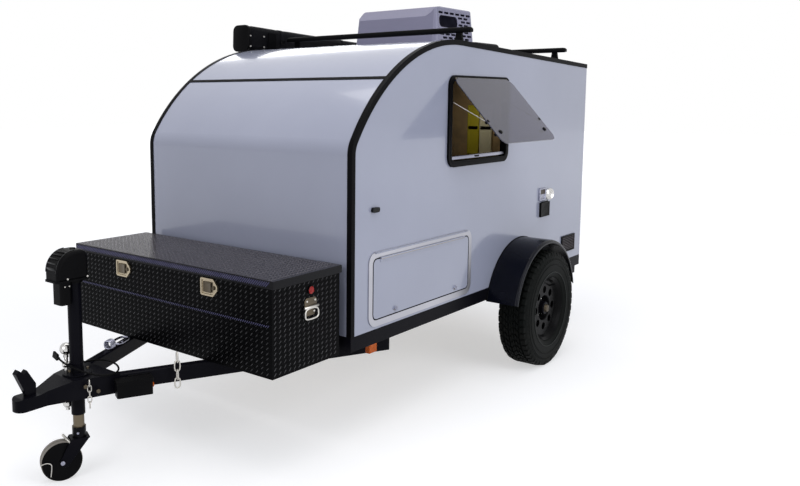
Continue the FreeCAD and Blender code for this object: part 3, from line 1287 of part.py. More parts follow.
# Doors
def build_doors():
    """Baggage door, entry door with its window, and rear hatch."""
    shift = "front_y + "

    def baggage(grow):
        return rectangle((f"{shift} baggage_front + {grow}", f"{shift} baggage_rear - {grow}"),
                         (f"baggage_bottom + {grow}", f"baggage_top - {grow}"), f"baggage_corner - {grow}")
    ring = panel("baggage_ring", "X", [baggage("0"), baggage("baggage_frame")], "baggage_proud")
    node(place(ring, x="body_half_width"), "baggage_frame")
    leaf = panel("baggage_leaf", "X", [baggage("(baggage_frame + door_gap)")], "wall + baggage_proud")
    place(leaf, x="inner_x")
    face = "(body_half_width + baggage_proud)"
    top = "(baggage_top - baggage_frame - door_gap)"
    edge = f"{top} + door_gap / 2"
    ends = (f"{shift} baggage_front + baggage_corner + baggage_frame",
            f"{shift} baggage_rear - baggage_corner - baggage_frame")
    strap = block("baggage_strap", (face, f"{face} + strap_thickness"), ends, (f"{top} - strap_width", edge))
    barrel = rod("baggage_barrel", "Y", "hinge_radius", ends, (f"{face} + seat_gap + hinge_radius", edge))
    locks = [rod("baggage_" + name, "X", "lock_radius", (face, f"{face} + lock_depth"),
                 (f"front_y + {name}", "lock_height")) for name in ("lock_front", "lock_rear")]
    shim = block("baggage_shim", (face, f"{face} + seat_gap + hinge_radius"), ends,
                 (f"{top} - strap_thickness", edge))
    node(fuse("baggage_hung", leaf, strap, barrel, shim, *locks), "baggage_door")

    def entry(grow):
        return rectangle((f"{shift} entry_front + {grow}", f"{shift} entry_rear - {grow}"),
                         (f"entry_bottom + {grow}", f"entry_top - {grow}"), f"entry_corner - {grow}")
    ys = (f"{shift} entry_front + entry_window_side", f"{shift} entry_rear - entry_window_side")
    zs = ("entry_bottom + entry_window_bottom", "entry_top - entry_window_top")
    hole = rectangle((f"{ys[0]} + window_flange", f"{ys[1]} - window_flange"),
                     (f"{zs[0]} + window_flange", f"{zs[1]} - window_flange"),
                     "window_corner - window_flange")
    door = panel("entry_leaf", "X", [entry("door_gap"), hole], "wall")
    pieces = [place(door, x="-body_half_width")]
    edge = f"({shift} entry_front + door_gap)"
    for name in ("entry_hinge_low", "entry_hinge_middle", "entry_hinge_high"):
        ends = (f"{name} - entry_hinge_length / 2", f"{name} + entry_hinge_length / 2")
        pieces.append(block(name + "_strap", ("0 - body_half_width - strap_thickness", "-body_half_width"),
                            (f"{edge} - door_gap / 2", f"{edge} + strap_width"), ends))
        pieces.append(block(name + "_shim", ("0 - body_half_width - seat_gap - hinge_radius",
                                             "-body_half_width"),
                            (f"{edge} - door_gap / 2", f"{edge} + strap_thickness"), ends))
        pieces.append(rod(name + "_barrel", "Z", "hinge_radius", ends,
                          ("0 - body_half_width - seat_gap - hinge_radius", f"{edge} - door_gap / 2")))
    back = f"({shift} entry_rear - door_gap - strap_width - latch_half_width)"
    middle = "(handle_height + latch_height)"
    plate = panel("latch_plate", "X", [rectangle(
        (f"{back} - latch_half_width", f"{back} + latch_half_width"),
        (f"{middle} - latch_height", f"{middle} + latch_height"), "latch_round")], "latch_back_depth")
    pieces.append(place(plate, x="0 - body_half_width - latch_back_depth"))
    grip = panel("latch_grip", "X", [rectangle(
        (f"{back} - latch_grip_half", f"{back} + latch_grip_half"),
        (f"{middle} - latch_half_width", f"{middle} + latch_half_width"), "latch_round")], "latch_grip_depth")
    pieces.append(place(grip, x="0 - body_half_width - latch_grip_depth"))
    node(fuse("entry_hung", *pieces), "entry_door")
    window_set("door_", -1, ys, zs, "wall")
    top = roof_line("rear_y", "-wall") + " - door_gap"
    hatch = block("hatch_leaf", ("door_gap - inner_x", "inner_x - door_gap"), ("rear_y - wall", "rear_y"),
                  ("sill_top + door_gap", top))
    ends = ("door_gap + strap_width - inner_x", "inner_x - door_gap - strap_width")
    strap = block("hatch_strap", ends, ("rear_y", "rear_y + strap_thickness"),
                  (f"{top} - strap_width", f"{top} + door_gap / 2"))
    shim = block("hatch_shim", ends, ("rear_y", "rear_y + seat_gap + hinge_radius"),
                 (f"{top} - strap_thickness", f"{top} + door_gap / 2"))
    barrel = rod("hatch_barrel", "X", "hinge_radius", ends,
                 ("rear_y + seat_gap + hinge_radius", f"{top} + door_gap / 2"))
    node(fuse("hatch_hung", hatch, strap, shim, barrel), "rear_hatch")
    grips = []
    for side, sign in SIDES:
        middle = f"{sign} * inner_x / 2"
        plate = place(panel("hatch_plate_" + side, "Y", [rectangle(
            (f"{middle} - handle_half_width", f"{middle} + handle_half_width"),
            ("handle_height - handle_half_height", "handle_height + handle_half_height"), "handle_round")],
            "handle_plate"), y="rear_y")
        posts = [rod(f"hatch_post_{side}_{index}", "Y", "handle_post_radius",
                     ("rear_y", "rear_y + rear_reach - handle_bar_radius"),
                     (f"{middle} + {way} * (handle_half_width - handle_post_inset)", "handle_height"))
                 for index, way in enumerate((-1, 1))]
        reach = "(handle_half_width - handle_post_inset + handle_post_radius)"
        bar = rod("hatch_bar_" + side, "X", "handle_bar_radius", (f"{middle} - {reach}",
                                                                  f"{middle} + {reach}"),
                  ("rear_y + rear_reach - handle_bar_radius", "handle_height"))
        grips.append(fuse("hatch_grip_" + side, plate, bar, *posts))
    node(gather("hatch_grips", *grips), "hatch_handles")


# Roof fittings
def build_roof():
    """Crossbars, air conditioner, vent and folded awning."""
    solid = prism("roof_cutter", "0", "body_bottom", "rear_y + overrun", ("-body_half_width",
                                                                          "body_half_width"))
    bars = []
    for name in ("bar_front", "bar_rear"):
        at = f"front_y + {name}"
        low = roof_line(at, "bar_lift")
        ys = (f"{at} - bar_width / 2", f"{at} + bar_width / 2")
        rail = panel(name + "_rail", "X", [rectangle(ys, (low, f"{low} + bar_height"), "bar_round")],
                     "2 * bar_half_length")
        place(rail, x="-bar_half_length")
        feet = []
        for side, sign in SIDES:
            middle = f"{sign} * foot_offset"
            root = roof_line(at)
            foot = panel(f"{name}_foot_{side}", "Y", [[
                (f"{middle} - foot_width / 2", f"{root} - overrun"), (f"{middle} + foot_width / 2",
                                                                      f"{root} - overrun"),
                (f"{middle} + foot_width / 2", f"{root} + foot_base_height"),
                (f"{middle} + foot_neck_width / 2", low), (f"{middle} + foot_neck_width / 2",
                                                           f"{low} + bar_round"),
                (f"{middle} - foot_neck_width / 2", f"{low} + bar_round"),
                (f"{middle} - foot_neck_width / 2", low),
                (f"{middle} - foot_width / 2", f"{root} + foot_base_height")]], "bar_width - 2 * bar_round")
            feet.append(place(foot, y=f"{at} - bar_width / 2 + bar_round"))
            feet.append(block(f"{name}_pad_{side}", (f"{middle} - foot_width / 2",
                                                     f"{middle} + foot_width / 2"),
                              (f"{at} - foot_half_depth", f"{at} + foot_half_depth"),
                              (f"{root} - overrun", f"{root} + foot_base_height")))
        bars.append(fuse(name + "_whole", rail, *feet))
    node(cut("bars", gather("bars_all", *bars), solid), "crossbars")
    node(cut("aircon_seated", air_conditioner(), solid), "air_conditioner")
    node(cut("vent_seated", roof_vent(), solid), "roof_vent")
    bag = panel("awning_roll", "Y", [rectangle(
        ("0 - awning_width", "0"), ("0 - awning_sink", "awning_height - awning_sink"), "awning_corner")],
        "awning_length")
    place(bag, "-body_half_width - awning_gap", "front_y + awning_front", roof_line("front_y + awning_front"),
          (1, 0, 0), "0 - roof_fall")
    node(bag, "awning_bag")
    brackets = []
    for index in range(int(number("bracket_count"))):
        start = f"(bracket_inset + {index} * (awning_length - 2 * bracket_inset - bracket_length) / (bracket_count - 1))"
        piece = panel(f"awning_bracket_{index}", "Y", [[
            ("0", "0"), ("awning_gap + bracket_foot", "0"), ("awning_gap + bracket_foot", "bracket_sheet"),
            ("bracket_sheet", "bracket_sheet"), ("bracket_sheet", "bracket_height"), ("0",
                                                                                      "bracket_height")]],
            "bracket_length")
        brackets.append(place(piece, "-body_half_width - awning_gap",
                              f"front_y + awning_front + {start} * cos(roof_fall * 1 deg)",
                              roof_line(f"front_y + awning_front + {start}") + " + trim_proud + seat_gap",
                              (1, 0, 0), "0 - roof_fall"))
    node(gather("awning_arms", *brackets), "awning_brackets")


def air_conditioner():
    """Hollow drafted housing with a swept crease in its front, slotted ends and a recessed tray."""
    xs = ("-aircon_half_width", "aircon_half_width")
    ys = ("front_y + aircon_front", "front_y + aircon_rear")
    base = roof_line("front_y + aircon_rear")
    low = f"({base} + aircon_tray_height)"

    def housing(name, shrink, bottom):
        grown = (f"{xs[0]} + {shrink}", f"{xs[1]} - {shrink}"), (f"{ys[0]} + {shrink}", f"{ys[1]} - {shrink}")
        tall = f"aircon_top - {shrink} - ({bottom})"
        body = panel(name, "Z", [rectangle(*grown, f"aircon_corner - {shrink}")], tall, "0 - aircon_draft")
        soften(body, f"aircon_top_round - {shrink}", lambda edge: edge.BoundBox.ZMin > number(tall) - FINE)
        return place(body, z=bottom)

    def crease(name, grow):
        wedge = panel(name + "_wedge", "X", [[
            (f"{ys[0]} - overrun", f"aircon_top - aircon_crease_drop - {grow}"),
            (f"{ys[0]} + {grow}", f"aircon_top - aircon_crease_drop - {grow}"),
            (f"{ys[0]} + aircon_crease_reach + {grow}", f"aircon_top - {grow}"),
            (f"{ys[0]} + aircon_crease_reach + {grow}", "aircon_top + overrun"),
            (f"{ys[0]} - overrun", "aircon_top + overrun")]], "2 * aircon_half_width")
        place(wedge, x=xs[0])
        low_edge = f"aircon_top - aircon_crease_drop - {grow}"
        sweep = panel(name + "_sweep", "Y", [[
            (xs[0], low_edge), (f"{xs[1]} + aircon_sweep_outset + {grow}", low_edge,
                                f"aircon_sweep + {grow}"),
            (f"{xs[1]} + aircon_sweep_outset + {grow}", "aircon_top + aircon_sweep"),
            (xs[0], "aircon_top + aircon_sweep")]], "aircon_crease_reach + 2 * overrun")
        return common(name, wedge, place(sweep, y=f"{ys[0]} - overrun"))
    shell = cut("aircon_creased", housing("aircon_outer", "0", low), crease("aircon_crease", "0"))
    room = cut("aircon_room", housing("aircon_inner", "aircon_skin", f"{low} + aircon_skin"),
               crease("aircon_inner_crease", "aircon_skin"))
    slots = []
    columns = int(number("(aircon_rear - aircon_front) / grille_pitch")) - 1
    rows = int(number(f"(aircon_top - grille_first_height) / grille_rise"))
    for row in range(rows):
        for column in range(columns):
            y = f"front_y + grille_first_back + ({column} + {row % 2} / 2) * grille_pitch"
            z = f"grille_first_height + {row} * grille_rise"
            beside = abs(number(f"({y}) - front_y - mouth_back")) < number("mouth_half_length + grille_slot_half_length")
            level = abs(number(f"({z}) - mouth_height")) < number("mouth_half_height + grille_slot_half_height")
            if beside and level:
                continue
            if row % 2 and column == columns - 1:
                continue
            slot = panel(f"grille_{row}_{column}", "X", [rectangle(
                (f"{y} - grille_slot_half_length", f"{y} + grille_slot_half_length"),
                (f"{z} - grille_slot_half_height", f"{z} + grille_slot_half_height"), "grille_slot_round")],
                "2 * aircon_half_width + 2 * overrun")
            slots.append(place(slot, x=f"{xs[0]} - overrun"))
    mouth = panel("grille_mouth", "X", [rectangle(
        ("front_y + mouth_back - mouth_half_length", "front_y + mouth_back + mouth_half_length"),
        ("mouth_height - mouth_half_height", "mouth_height + mouth_half_height"), "mouth_round")],
        "2 * aircon_half_width + 2 * overrun")
    slots.append(place(mouth, x=f"{xs[0]} - overrun"))
    tray = panel("aircon_tray", "Z", [rectangle(
        (f"{xs[0]} + aircon_tray_inset", f"{xs[1]} - aircon_tray_inset"),
        (f"{ys[0]} + aircon_tray_inset", f"{ys[1]} - aircon_tray_inset"), "aircon_corner")],
        "aircon_tray_height + aircon_skin")
    place(tray, z=base)
    return fuse("aircon_whole", cut("aircon_shell", shell, room, *slots), tray)


def roof_vent():
    """Vent with a flat flange, a neck and a domed lid."""
    ys = ("front_y + vent_front", "front_y + vent_rear")
    base = roof_line(ys[1])
    top = roof_line(ys[0], "vent_height")

    def slab(name, inset, low, high):
        body = panel(name, "Z", [rectangle(
            (f"{inset} - vent_half_width", f"vent_half_width - {inset}"), (f"{ys[0]} + {inset}",
                                                                           f"{ys[1]} - {inset}"),
            "vent_corner")], f"({high}) - ({low})")
        return place(body, z=low)
    flange = slab("vent_flange_plate", "0", base, roof_line(ys[0], "vent_flange"))
    neck = slab("vent_neck", "vent_neck_inset", base, roof_line(ys[0], "vent_lid_low"))
    lid = slab("vent_lid", "0", roof_line(ys[0], "vent_lid_low"), top)
    height = number(f"{top} - ({roof_line(ys[0], 'vent_lid_low')})")
    soften(lid, "vent_lid_round", lambda edge: edge.BoundBox.ZMin > height - FINE)
    return fuse("vent_whole", flange, neck, lid)


# Small fittings
def build_fittings():
    """Power inlet, outlet cover, side vent, markers and lamps."""
    face = "body_half_width"
    back = "front_y + inlet_back"
    inlet = rod("inlet_disc", "X", "inlet_radius", (face, f"{face} + inlet_lid_depth"), (back,
                                                                                         "inlet_height"))
    cap = rod("inlet_lid", "X", "inlet_lid_radius", (face, f"{face} + inlet_depth"), (back, "inlet_height"))
    lug = block("inlet_lug", (face, f"{face} + inlet_lid_depth"), (f"{back} - inlet_lug_half",
                                                                   f"{back} + inlet_lug_half"),
                ("inlet_height", "inlet_height + inlet_radius + port_lid_inset"))
    box = place(panel("outlet_box", "X", [rectangle(
        (f"{back} - outlet_half_width", f"{back} + outlet_half_width"), ("outlet_low", "outlet_high"),
        "port_corner")],
        "port_lid_depth"), x=face)
    lid = place(panel("outlet_lid", "X", [rectangle(
        (f"{back} - outlet_half_width + port_lid_inset", f"{back} + outlet_half_width - port_lid_inset"),
        ("outlet_low + port_lid_inset", "outlet_high - port_lid_inset"), "port_corner")], "inlet_depth"),
        x=face)
    ys = ("front_y + side_vent_front", "front_y + side_vent_rear")
    vent = place(panel("vent_box", "X", [rectangle(ys, ("side_vent_low", "side_vent_high"), "port_corner")],
                       "side_vent_depth"), x=face)
    slots = []
    for step in range(int(number("louvre_count"))):
        low = f"(side_vent_low + louvre_margin + ({step}) * louvre_run / louvre_count)"
        slots.append(block(f"louvre_{step}", (f"{face} + side_vent_depth - louvre_recess",
                                              f"{face} + overrun"),
                           (f"{ys[0]} + louvre_margin", f"{ys[1]} - louvre_margin"), (low,
                                                                                      f"{low} + louvre_gap")))
    node(gather("ports", fuse("inlet_port", inlet, cap, lug), fuse("outlet_port", box, lid),
                cut("vent_louvred", vent, *slots)), "service_ports")
    markers = []
    tails = []
    for side, sign in SIDES:
        away = span(sign, face, f"{face} + marker_depth")
        marker = panel("marker_" + side, "X", [rectangle(
            ("front_y + marker_back - marker_half_length", "front_y + marker_back + marker_half_length"),
            ("marker_height - marker_half_height", "marker_height + marker_half_height"),
            "marker_round_share * marker_half_height")], "marker_depth")
        markers.append(place(marker, x=away[0]))
        markers.append(block("lamp_" + side, span(sign, f"{face} - lamp_depth", face),
                             ("front_y + marker_back - lamp_width / 2",
                              "front_y + marker_back + lamp_width / 2"),
                             ("rail_bottom - lamp_height", "rail_bottom")))
        layers = []
        for name, inset, depth in (("bezel", "0", "tail_bezel"), ("lens", "tail_bezel_inset", "tail_depth")):
            xs = span(sign, f"tail_offset - tail_half_width + {inset}",
                      f"tail_offset + tail_half_width - {inset}")
            layers.append(place(panel(f"tail_{name}_{side}", "Y", [rectangle(
                xs, (f"(body_bottom + sill_top) / 2 - tail_half_height + {inset}",
                     f"(body_bottom + sill_top) / 2 + tail_half_height - {inset}"), "tail_corner")], depth),
                     y="rear_y"))
        tails.append(fuse("tail_" + side, *layers))
    node(gather("markers", *markers), "marker_lights")
    node(gather("tails", *tails), "tail_lights")
    low = "(body_bottom + sill_top) / 2 - plate_height / 2"
    plate = block("plate_sheet_block", ("-plate_half_width", "plate_half_width"),
                  ("rear_y", "rear_y + plate_sheet"), (low, f"{low} + plate_height"))
    node(cut("plate_holder_sheet", plate, *plate_holes("plate")), "plate_holder")


# Lamp lead
def build_lead():
    """Lamp lead on straight runs and tangent arcs, with its flat plug."""
    spots = [Vector(*[number((f"front_y + lead_{step}_{axis}" if axis == "along" else f"lead_{step}_{axis}"))
                      for axis in AXES]) for step in range(len(LEAD_ROUTE))]
    radius = number("lead_radius")
    edges = []
    start = spots[0]
    for before, spot, after in zip(spots, spots[1:], spots[2:]):
        back = (before - spot).normalize()
        ahead = (after - spot).normalize()
        run = ARC_SHARE * min((before - spot).Length, (after - spot).Length)
        half = back.getAngle(ahead) / 2
        bend = run * math.tan(half)
        middle = spot + (back + ahead).normalize() * (run / math.cos(half))
        inner = middle + (spot - middle).normalize() * bend
        print("lead bend radius", round(bend, 1))
        edges.append(Part.LineSegment(start, spot + back * run).toShape())
        edges.append(Part.Arc(spot + back * run, inner, spot + ahead * run).toShape())
        start = spot + ahead * run
    edges.append(Part.LineSegment(start, spots[-1]).toShape())
    path = Part.Wire(edges)
    ring = Part.Wire(Part.Circle(spots[0], spots[1] - spots[0], radius).toShape())
    tube = path.makePipeShell([ring], True, False)
    print("lead length", round(path.Length, 1), "volume share",
          round(tube.Volume / (math.pi * radius ** 2 * path.Length), 4))
    lead = doc.addObject("Part::Feature", "lead_tube")
    lead.Shape = tube
    node(lead, "power_cable")
    collar = doc.addObject("Part::Cylinder", "plug_collar")
    collar.setExpression("Radius", formula("plug_collar_radius"))
    collar.setExpression("Height", formula("plug_collar_length"))
    flat = panel("plug_body", "Z", [rectangle(
        ("-plug_half_width", "plug_half_width"), ("-plug_half_height", "plug_half_height"), "plug_corner")],
        "plug_length")
    place(flat, z="plug_collar_length - plug_corner")
    bores = [rod(f"plug_bore_{index}", "Z", "plug_bore_radius",
                 ("plug_collar_length - plug_corner + plug_length - plug_bore_depth",
                  "plug_length + overrun"),
                 (f"({index}) * plug_bore_pitch / 2", "0")) for index in (-3, -1, 1, 3)]
    plug = cut("plug", fuse("plug_solid", collar, flat), *bores)
    plug.Placement = Placement(spots[-1], Rotation(Vector(0, 0, 1), spots[-1] - spots[-2]))
    node(plug, "cable_plug")


# Cabin
def build_cabin():
    """Bulkhead, galley counter, bed base and mattress."""
    inside = prism("cabin_room", "wall + seat_gap", "floor_top", "rear_y - wall",
                   ("seat_gap - inner_x", "inner_x - seat_gap"))
    wall_zone = block("bulkhead_zone", ("-inner_x", "inner_x"),
                      ("front_y + bulkhead_back", "front_y + bulkhead_back + bulkhead_thickness"),
                      ("floor_top", "crown_z + crown_radius"))
    node(common("bulkhead_board", inside, wall_zone), "bulkhead")
    counter = block("counter_board", ("seat_gap - inner_x", "inner_x - seat_gap"),
                    ("front_y + bulkhead_back + bulkhead_thickness", "rear_y - wall - door_gap"),
                    ("counter_height", "counter_height + counter_thickness"))
    node(counter, "galley_counter")
    xs = ("bed_inner_edge", "inner_x - seat_gap")
    ys = ("front_y + wall + seat_gap", "front_y + bulkhead_back")
    board = block("bed_board", xs, ys, ("bed_height - counter_thickness", "bed_height"))
    skirt = block("bed_skirt", ("bed_inner_edge", "bed_inner_edge + counter_thickness"), ys,
                  ("floor_top", "bed_height"))
    node(fuse("bed_frame", board, skirt), "bed_platform")
    pad_block = panel("mattress_block", "Z", [rectangle(
        (f"{xs[0]} + mattress_side_gap", f"{xs[1]} - mattress_side_gap"),
        (f"{ys[0]} + mattress_end_gap", f"{ys[1]} - mattress_end_gap"), "mattress_corner")],
        "mattress_height")
    node(place(pad_block, z="bed_height + seat_gap"), "mattress")


# Stabilisers
def build_stabilisers():
    """Swing-down legs folded up under the rear corners."""
    brackets = []
    for side, sign in SIDES:
        middle = f"{sign} * (body_half_width - rail_width / 2)"
        half = "stabiliser_width / 2"
        reach = "(stabiliser_width / 2 + door_gap)"
        ys = (f"stabiliser_y - {reach}", f"stabiliser_y + {reach}")
        for end, way in (("a", -1), ("b", 1)):
            near = f"{middle} + {way} * {half} + {way} * seat_gap"
            far = f"{near} + {way} * stabiliser_ear"
            xs = (near, far) if way > 0 else (far, near)
            brackets.append(block(f"ear_{side}_{end}", xs, ys, (f"stabiliser_z - {half}", "rail_bottom")))
        brackets.append(rod("stabiliser_pin_" + side, "X", "stabiliser_pin",
                            (f"{middle} - {half} - stabiliser_ear", f"{middle} + {half} + stabiliser_ear"),
                            ("stabiliser_y", "stabiliser_z")))
        xs = (f"{middle} - {half}", f"{middle} + {half}")
        bar = block("leg_bar_" + side, xs, (f"stabiliser_y - stabiliser_length", f"stabiliser_y + {half}"),
                    (f"stabiliser_z - {half}", f"stabiliser_z + {half}"))
        eye = rod("leg_eye_" + side, "X", "stabiliser_pin + seat_gap", (f"{middle} - overrun",
                                                                        f"{middle} + overrun"),
                  ("stabiliser_y", "stabiliser_z"))
        foot = block("leg_foot_" + side, (f"{middle} - stabiliser_foot / 2",
                                          f"{middle} + stabiliser_foot / 2"),
                     ("stabiliser_y - stabiliser_length - stabiliser_ear",
                      "stabiliser_y - stabiliser_length"),
                     (f"stabiliser_z - stabiliser_foot / 2 - door_gap", f"rail_bottom - door_gap"))
        node(fuse("leg_whole_" + side, cut("leg_pivot_" + side, bar, eye), foot), "stabiliser_" + side)
    left = fuse("brackets_left", *brackets[:3])
    right = fuse("brackets_right", *brackets[3:])
    node(gather("brackets", left, right), "stabiliser_brackets")


build_chassis()
build_tongue()
build_coupler()
build_jack()
build_caster()
build_brake_box()
build_lead()
build_chest()
build_axle()
build_wheels()
build_fenders()
build_walls()
build_trims()
build_window()
build_doors()
build_roof()
build_fittings()
build_cabin()
build_stabilisers()
doc.recompute()

# Every object is sound before anything is written
for item in doc.Objects:
    if "Invalid" in item.State or "Error" in item.State:
        raise ValueError(f"{item.Label} failed: {item.State}")
os.makedirs("parts", exist_ok=True)
for item in NODES:
    if item.Shape.isNull() or not item.Shape.isValid() or not item.Shape.Solids:
        raise ValueError(f"{item.Label} has no sound shape")
    item.Shape.exportStep(f"parts/{item.Label}.step")
    print(item.Label, len(item.Shape.Solids), round(item.Shape.Volume / 1e6, 2))
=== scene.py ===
import json
import logging
import math
from collections.abc import Callable
from dataclasses import dataclass
from enum import Enum

import bmesh
import bpy
from mathutils import Matrix, Vector, noise

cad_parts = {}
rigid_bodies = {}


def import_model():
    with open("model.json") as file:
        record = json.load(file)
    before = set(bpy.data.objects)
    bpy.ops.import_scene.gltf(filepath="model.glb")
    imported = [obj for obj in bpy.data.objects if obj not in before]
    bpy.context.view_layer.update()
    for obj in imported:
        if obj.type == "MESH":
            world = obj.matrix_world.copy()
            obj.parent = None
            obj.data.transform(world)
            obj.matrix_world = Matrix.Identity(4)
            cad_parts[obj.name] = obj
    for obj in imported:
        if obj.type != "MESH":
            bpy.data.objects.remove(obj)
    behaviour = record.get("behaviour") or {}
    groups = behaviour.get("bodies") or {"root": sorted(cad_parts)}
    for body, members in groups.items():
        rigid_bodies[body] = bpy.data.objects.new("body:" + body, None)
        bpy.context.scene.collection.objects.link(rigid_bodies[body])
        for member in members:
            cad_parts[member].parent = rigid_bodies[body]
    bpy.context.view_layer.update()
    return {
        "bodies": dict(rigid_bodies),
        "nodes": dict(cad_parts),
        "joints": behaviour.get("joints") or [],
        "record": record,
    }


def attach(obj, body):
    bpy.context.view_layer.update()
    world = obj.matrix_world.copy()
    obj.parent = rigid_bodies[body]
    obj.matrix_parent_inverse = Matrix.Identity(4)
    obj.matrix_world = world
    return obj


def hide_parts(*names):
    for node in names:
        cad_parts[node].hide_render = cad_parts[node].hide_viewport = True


log = logging.getLogger("trailer")

Colour = tuple[float, float, float]
Point = tuple[float, float, float]
Pair = tuple[float, float]
Row = tuple[float, ...]
Line = tuple[Point, ...]
Outline = tuple[Pair, ...]
Socket = bpy.types.NodeSocket
Test = Callable[[Vector, Vector], bool]

WHITE: Colour = (1.0, 1.0, 1.0)
SHARP_EDGE = math.radians(35.0)
SMOOTH_UP_TO = 32.0
WELD = 0.00002


class Side(Enum):
    """A side of the trailer, by the sign of its X."""

    LEFT = 1
    RIGHT = -1

    @property
    def word(self) -> str:
        """The side's name in piece names."""
        return self.name.lower()


class Way(Enum):
    """A direction on the trailer as it stands."""

    LEFT = (1.0, 0.0, 0.0)
    RIGHT = (-1.0, 0.0, 0.0)
    REAR = (0.0, 1.0, 0.0)
    FRONT = (0.0, -1.0, 0.0)
    UP = (0.0, 0.0, 1.0)

    @property
    def line(self) -> Vector:
        """The direction as a vector."""
        return Vector(self.value)


class NodeSheet:
    """A node tree being drawn, with short calls that add nodes and join them."""

    def __init__(self, tree: bpy.types.NodeTree) -> None:
        """Keep the tree."""
        self.tree = tree

    def add(self, kind: str, inputs: dict | None = None, **settings) -> bpy.types.Node:
        """Add a node.

        Args:
            kind: the node's type name, without ShaderNode.
            inputs: socket name or number to a plain value or another node's socket.
            settings: the node's own properties.

        Returns:
            The new node.
        """
        node = self.tree.nodes.new("ShaderNode" + kind)
        for key, value in settings.items():
            setattr(node, key, value)
        for key, value in (inputs or {}).items():
            self.feed(node, key, value)
        return node

    def feed(self, node: bpy.types.Node, key: str | int, value) -> None:
        """Set or link one input of a node.

        Args:
            node: the node to feed.
            key: the input's name or number.
            value: a number, a tuple or an output socket.
        """
        socket = node.inputs[key]
        if isinstance(value, Socket):
            self.tree.links.new(value, socket)
        elif isinstance(value, tuple) and len(value) == 3 and socket.type == "RGBA":
            socket.default_value = (*value, 1.0)
        else:
            socket.default_value = value

    def group(self, tree: bpy.types.NodeTree, **inputs) -> bpy.types.Node:
        """Place a shared effect with its own values."""
        return self.add("Group", inputs, node_tree=tree)

    def place(self) -> Socket:
        """Return the place on the piece, in metres."""
        return self.add("TexCoord").outputs["Object"]

    def noise(self, scale: float | Socket, detail: float, **more) -> Socket:
        """Return cloudy noise over the piece."""
        inputs = {"Vector": self.place(), "Scale": scale, "Detail": detail, **more}
        return self.add("TexNoise", inputs).outputs["Fac"]

    def height(self) -> Socket:
        """Return how high a point of the piece lies."""
        return self.add("SeparateXYZ", {0: self.place()}).outputs["Z"]

    def mix(self, factor, first, second) -> Socket:
        """Blend two colours.

        Args:
            factor: number or socket, 0 for the first and 1 for the second.
            first: colour tuple or socket.
            second: colour tuple or socket.

        Returns:
            The blended colour's socket.
        """
        node = self.tree.nodes.new("ShaderNodeMix")
        node.data_type = "RGBA"
        for number, value in ((0, factor), (6, first), (7, second)):
            self.feed(node, number, value)
        return node.outputs[2]

    def span(self, value, low: float, high: float, to_low: float, to_high: float) -> Socket:
        """Map a value from one range to another, held at its ends."""
        node = self.add("MapRange", {0: value, 1: low, 2: high, 3: to_low, 4: to_high})
        return node.outputs[0]

    def maths(self, operation: str, first, second=0.0) -> Socket:
        """Join two values by one sum."""
        return self.add("Math", {0: first, 1: second}, operation=operation).outputs[0]


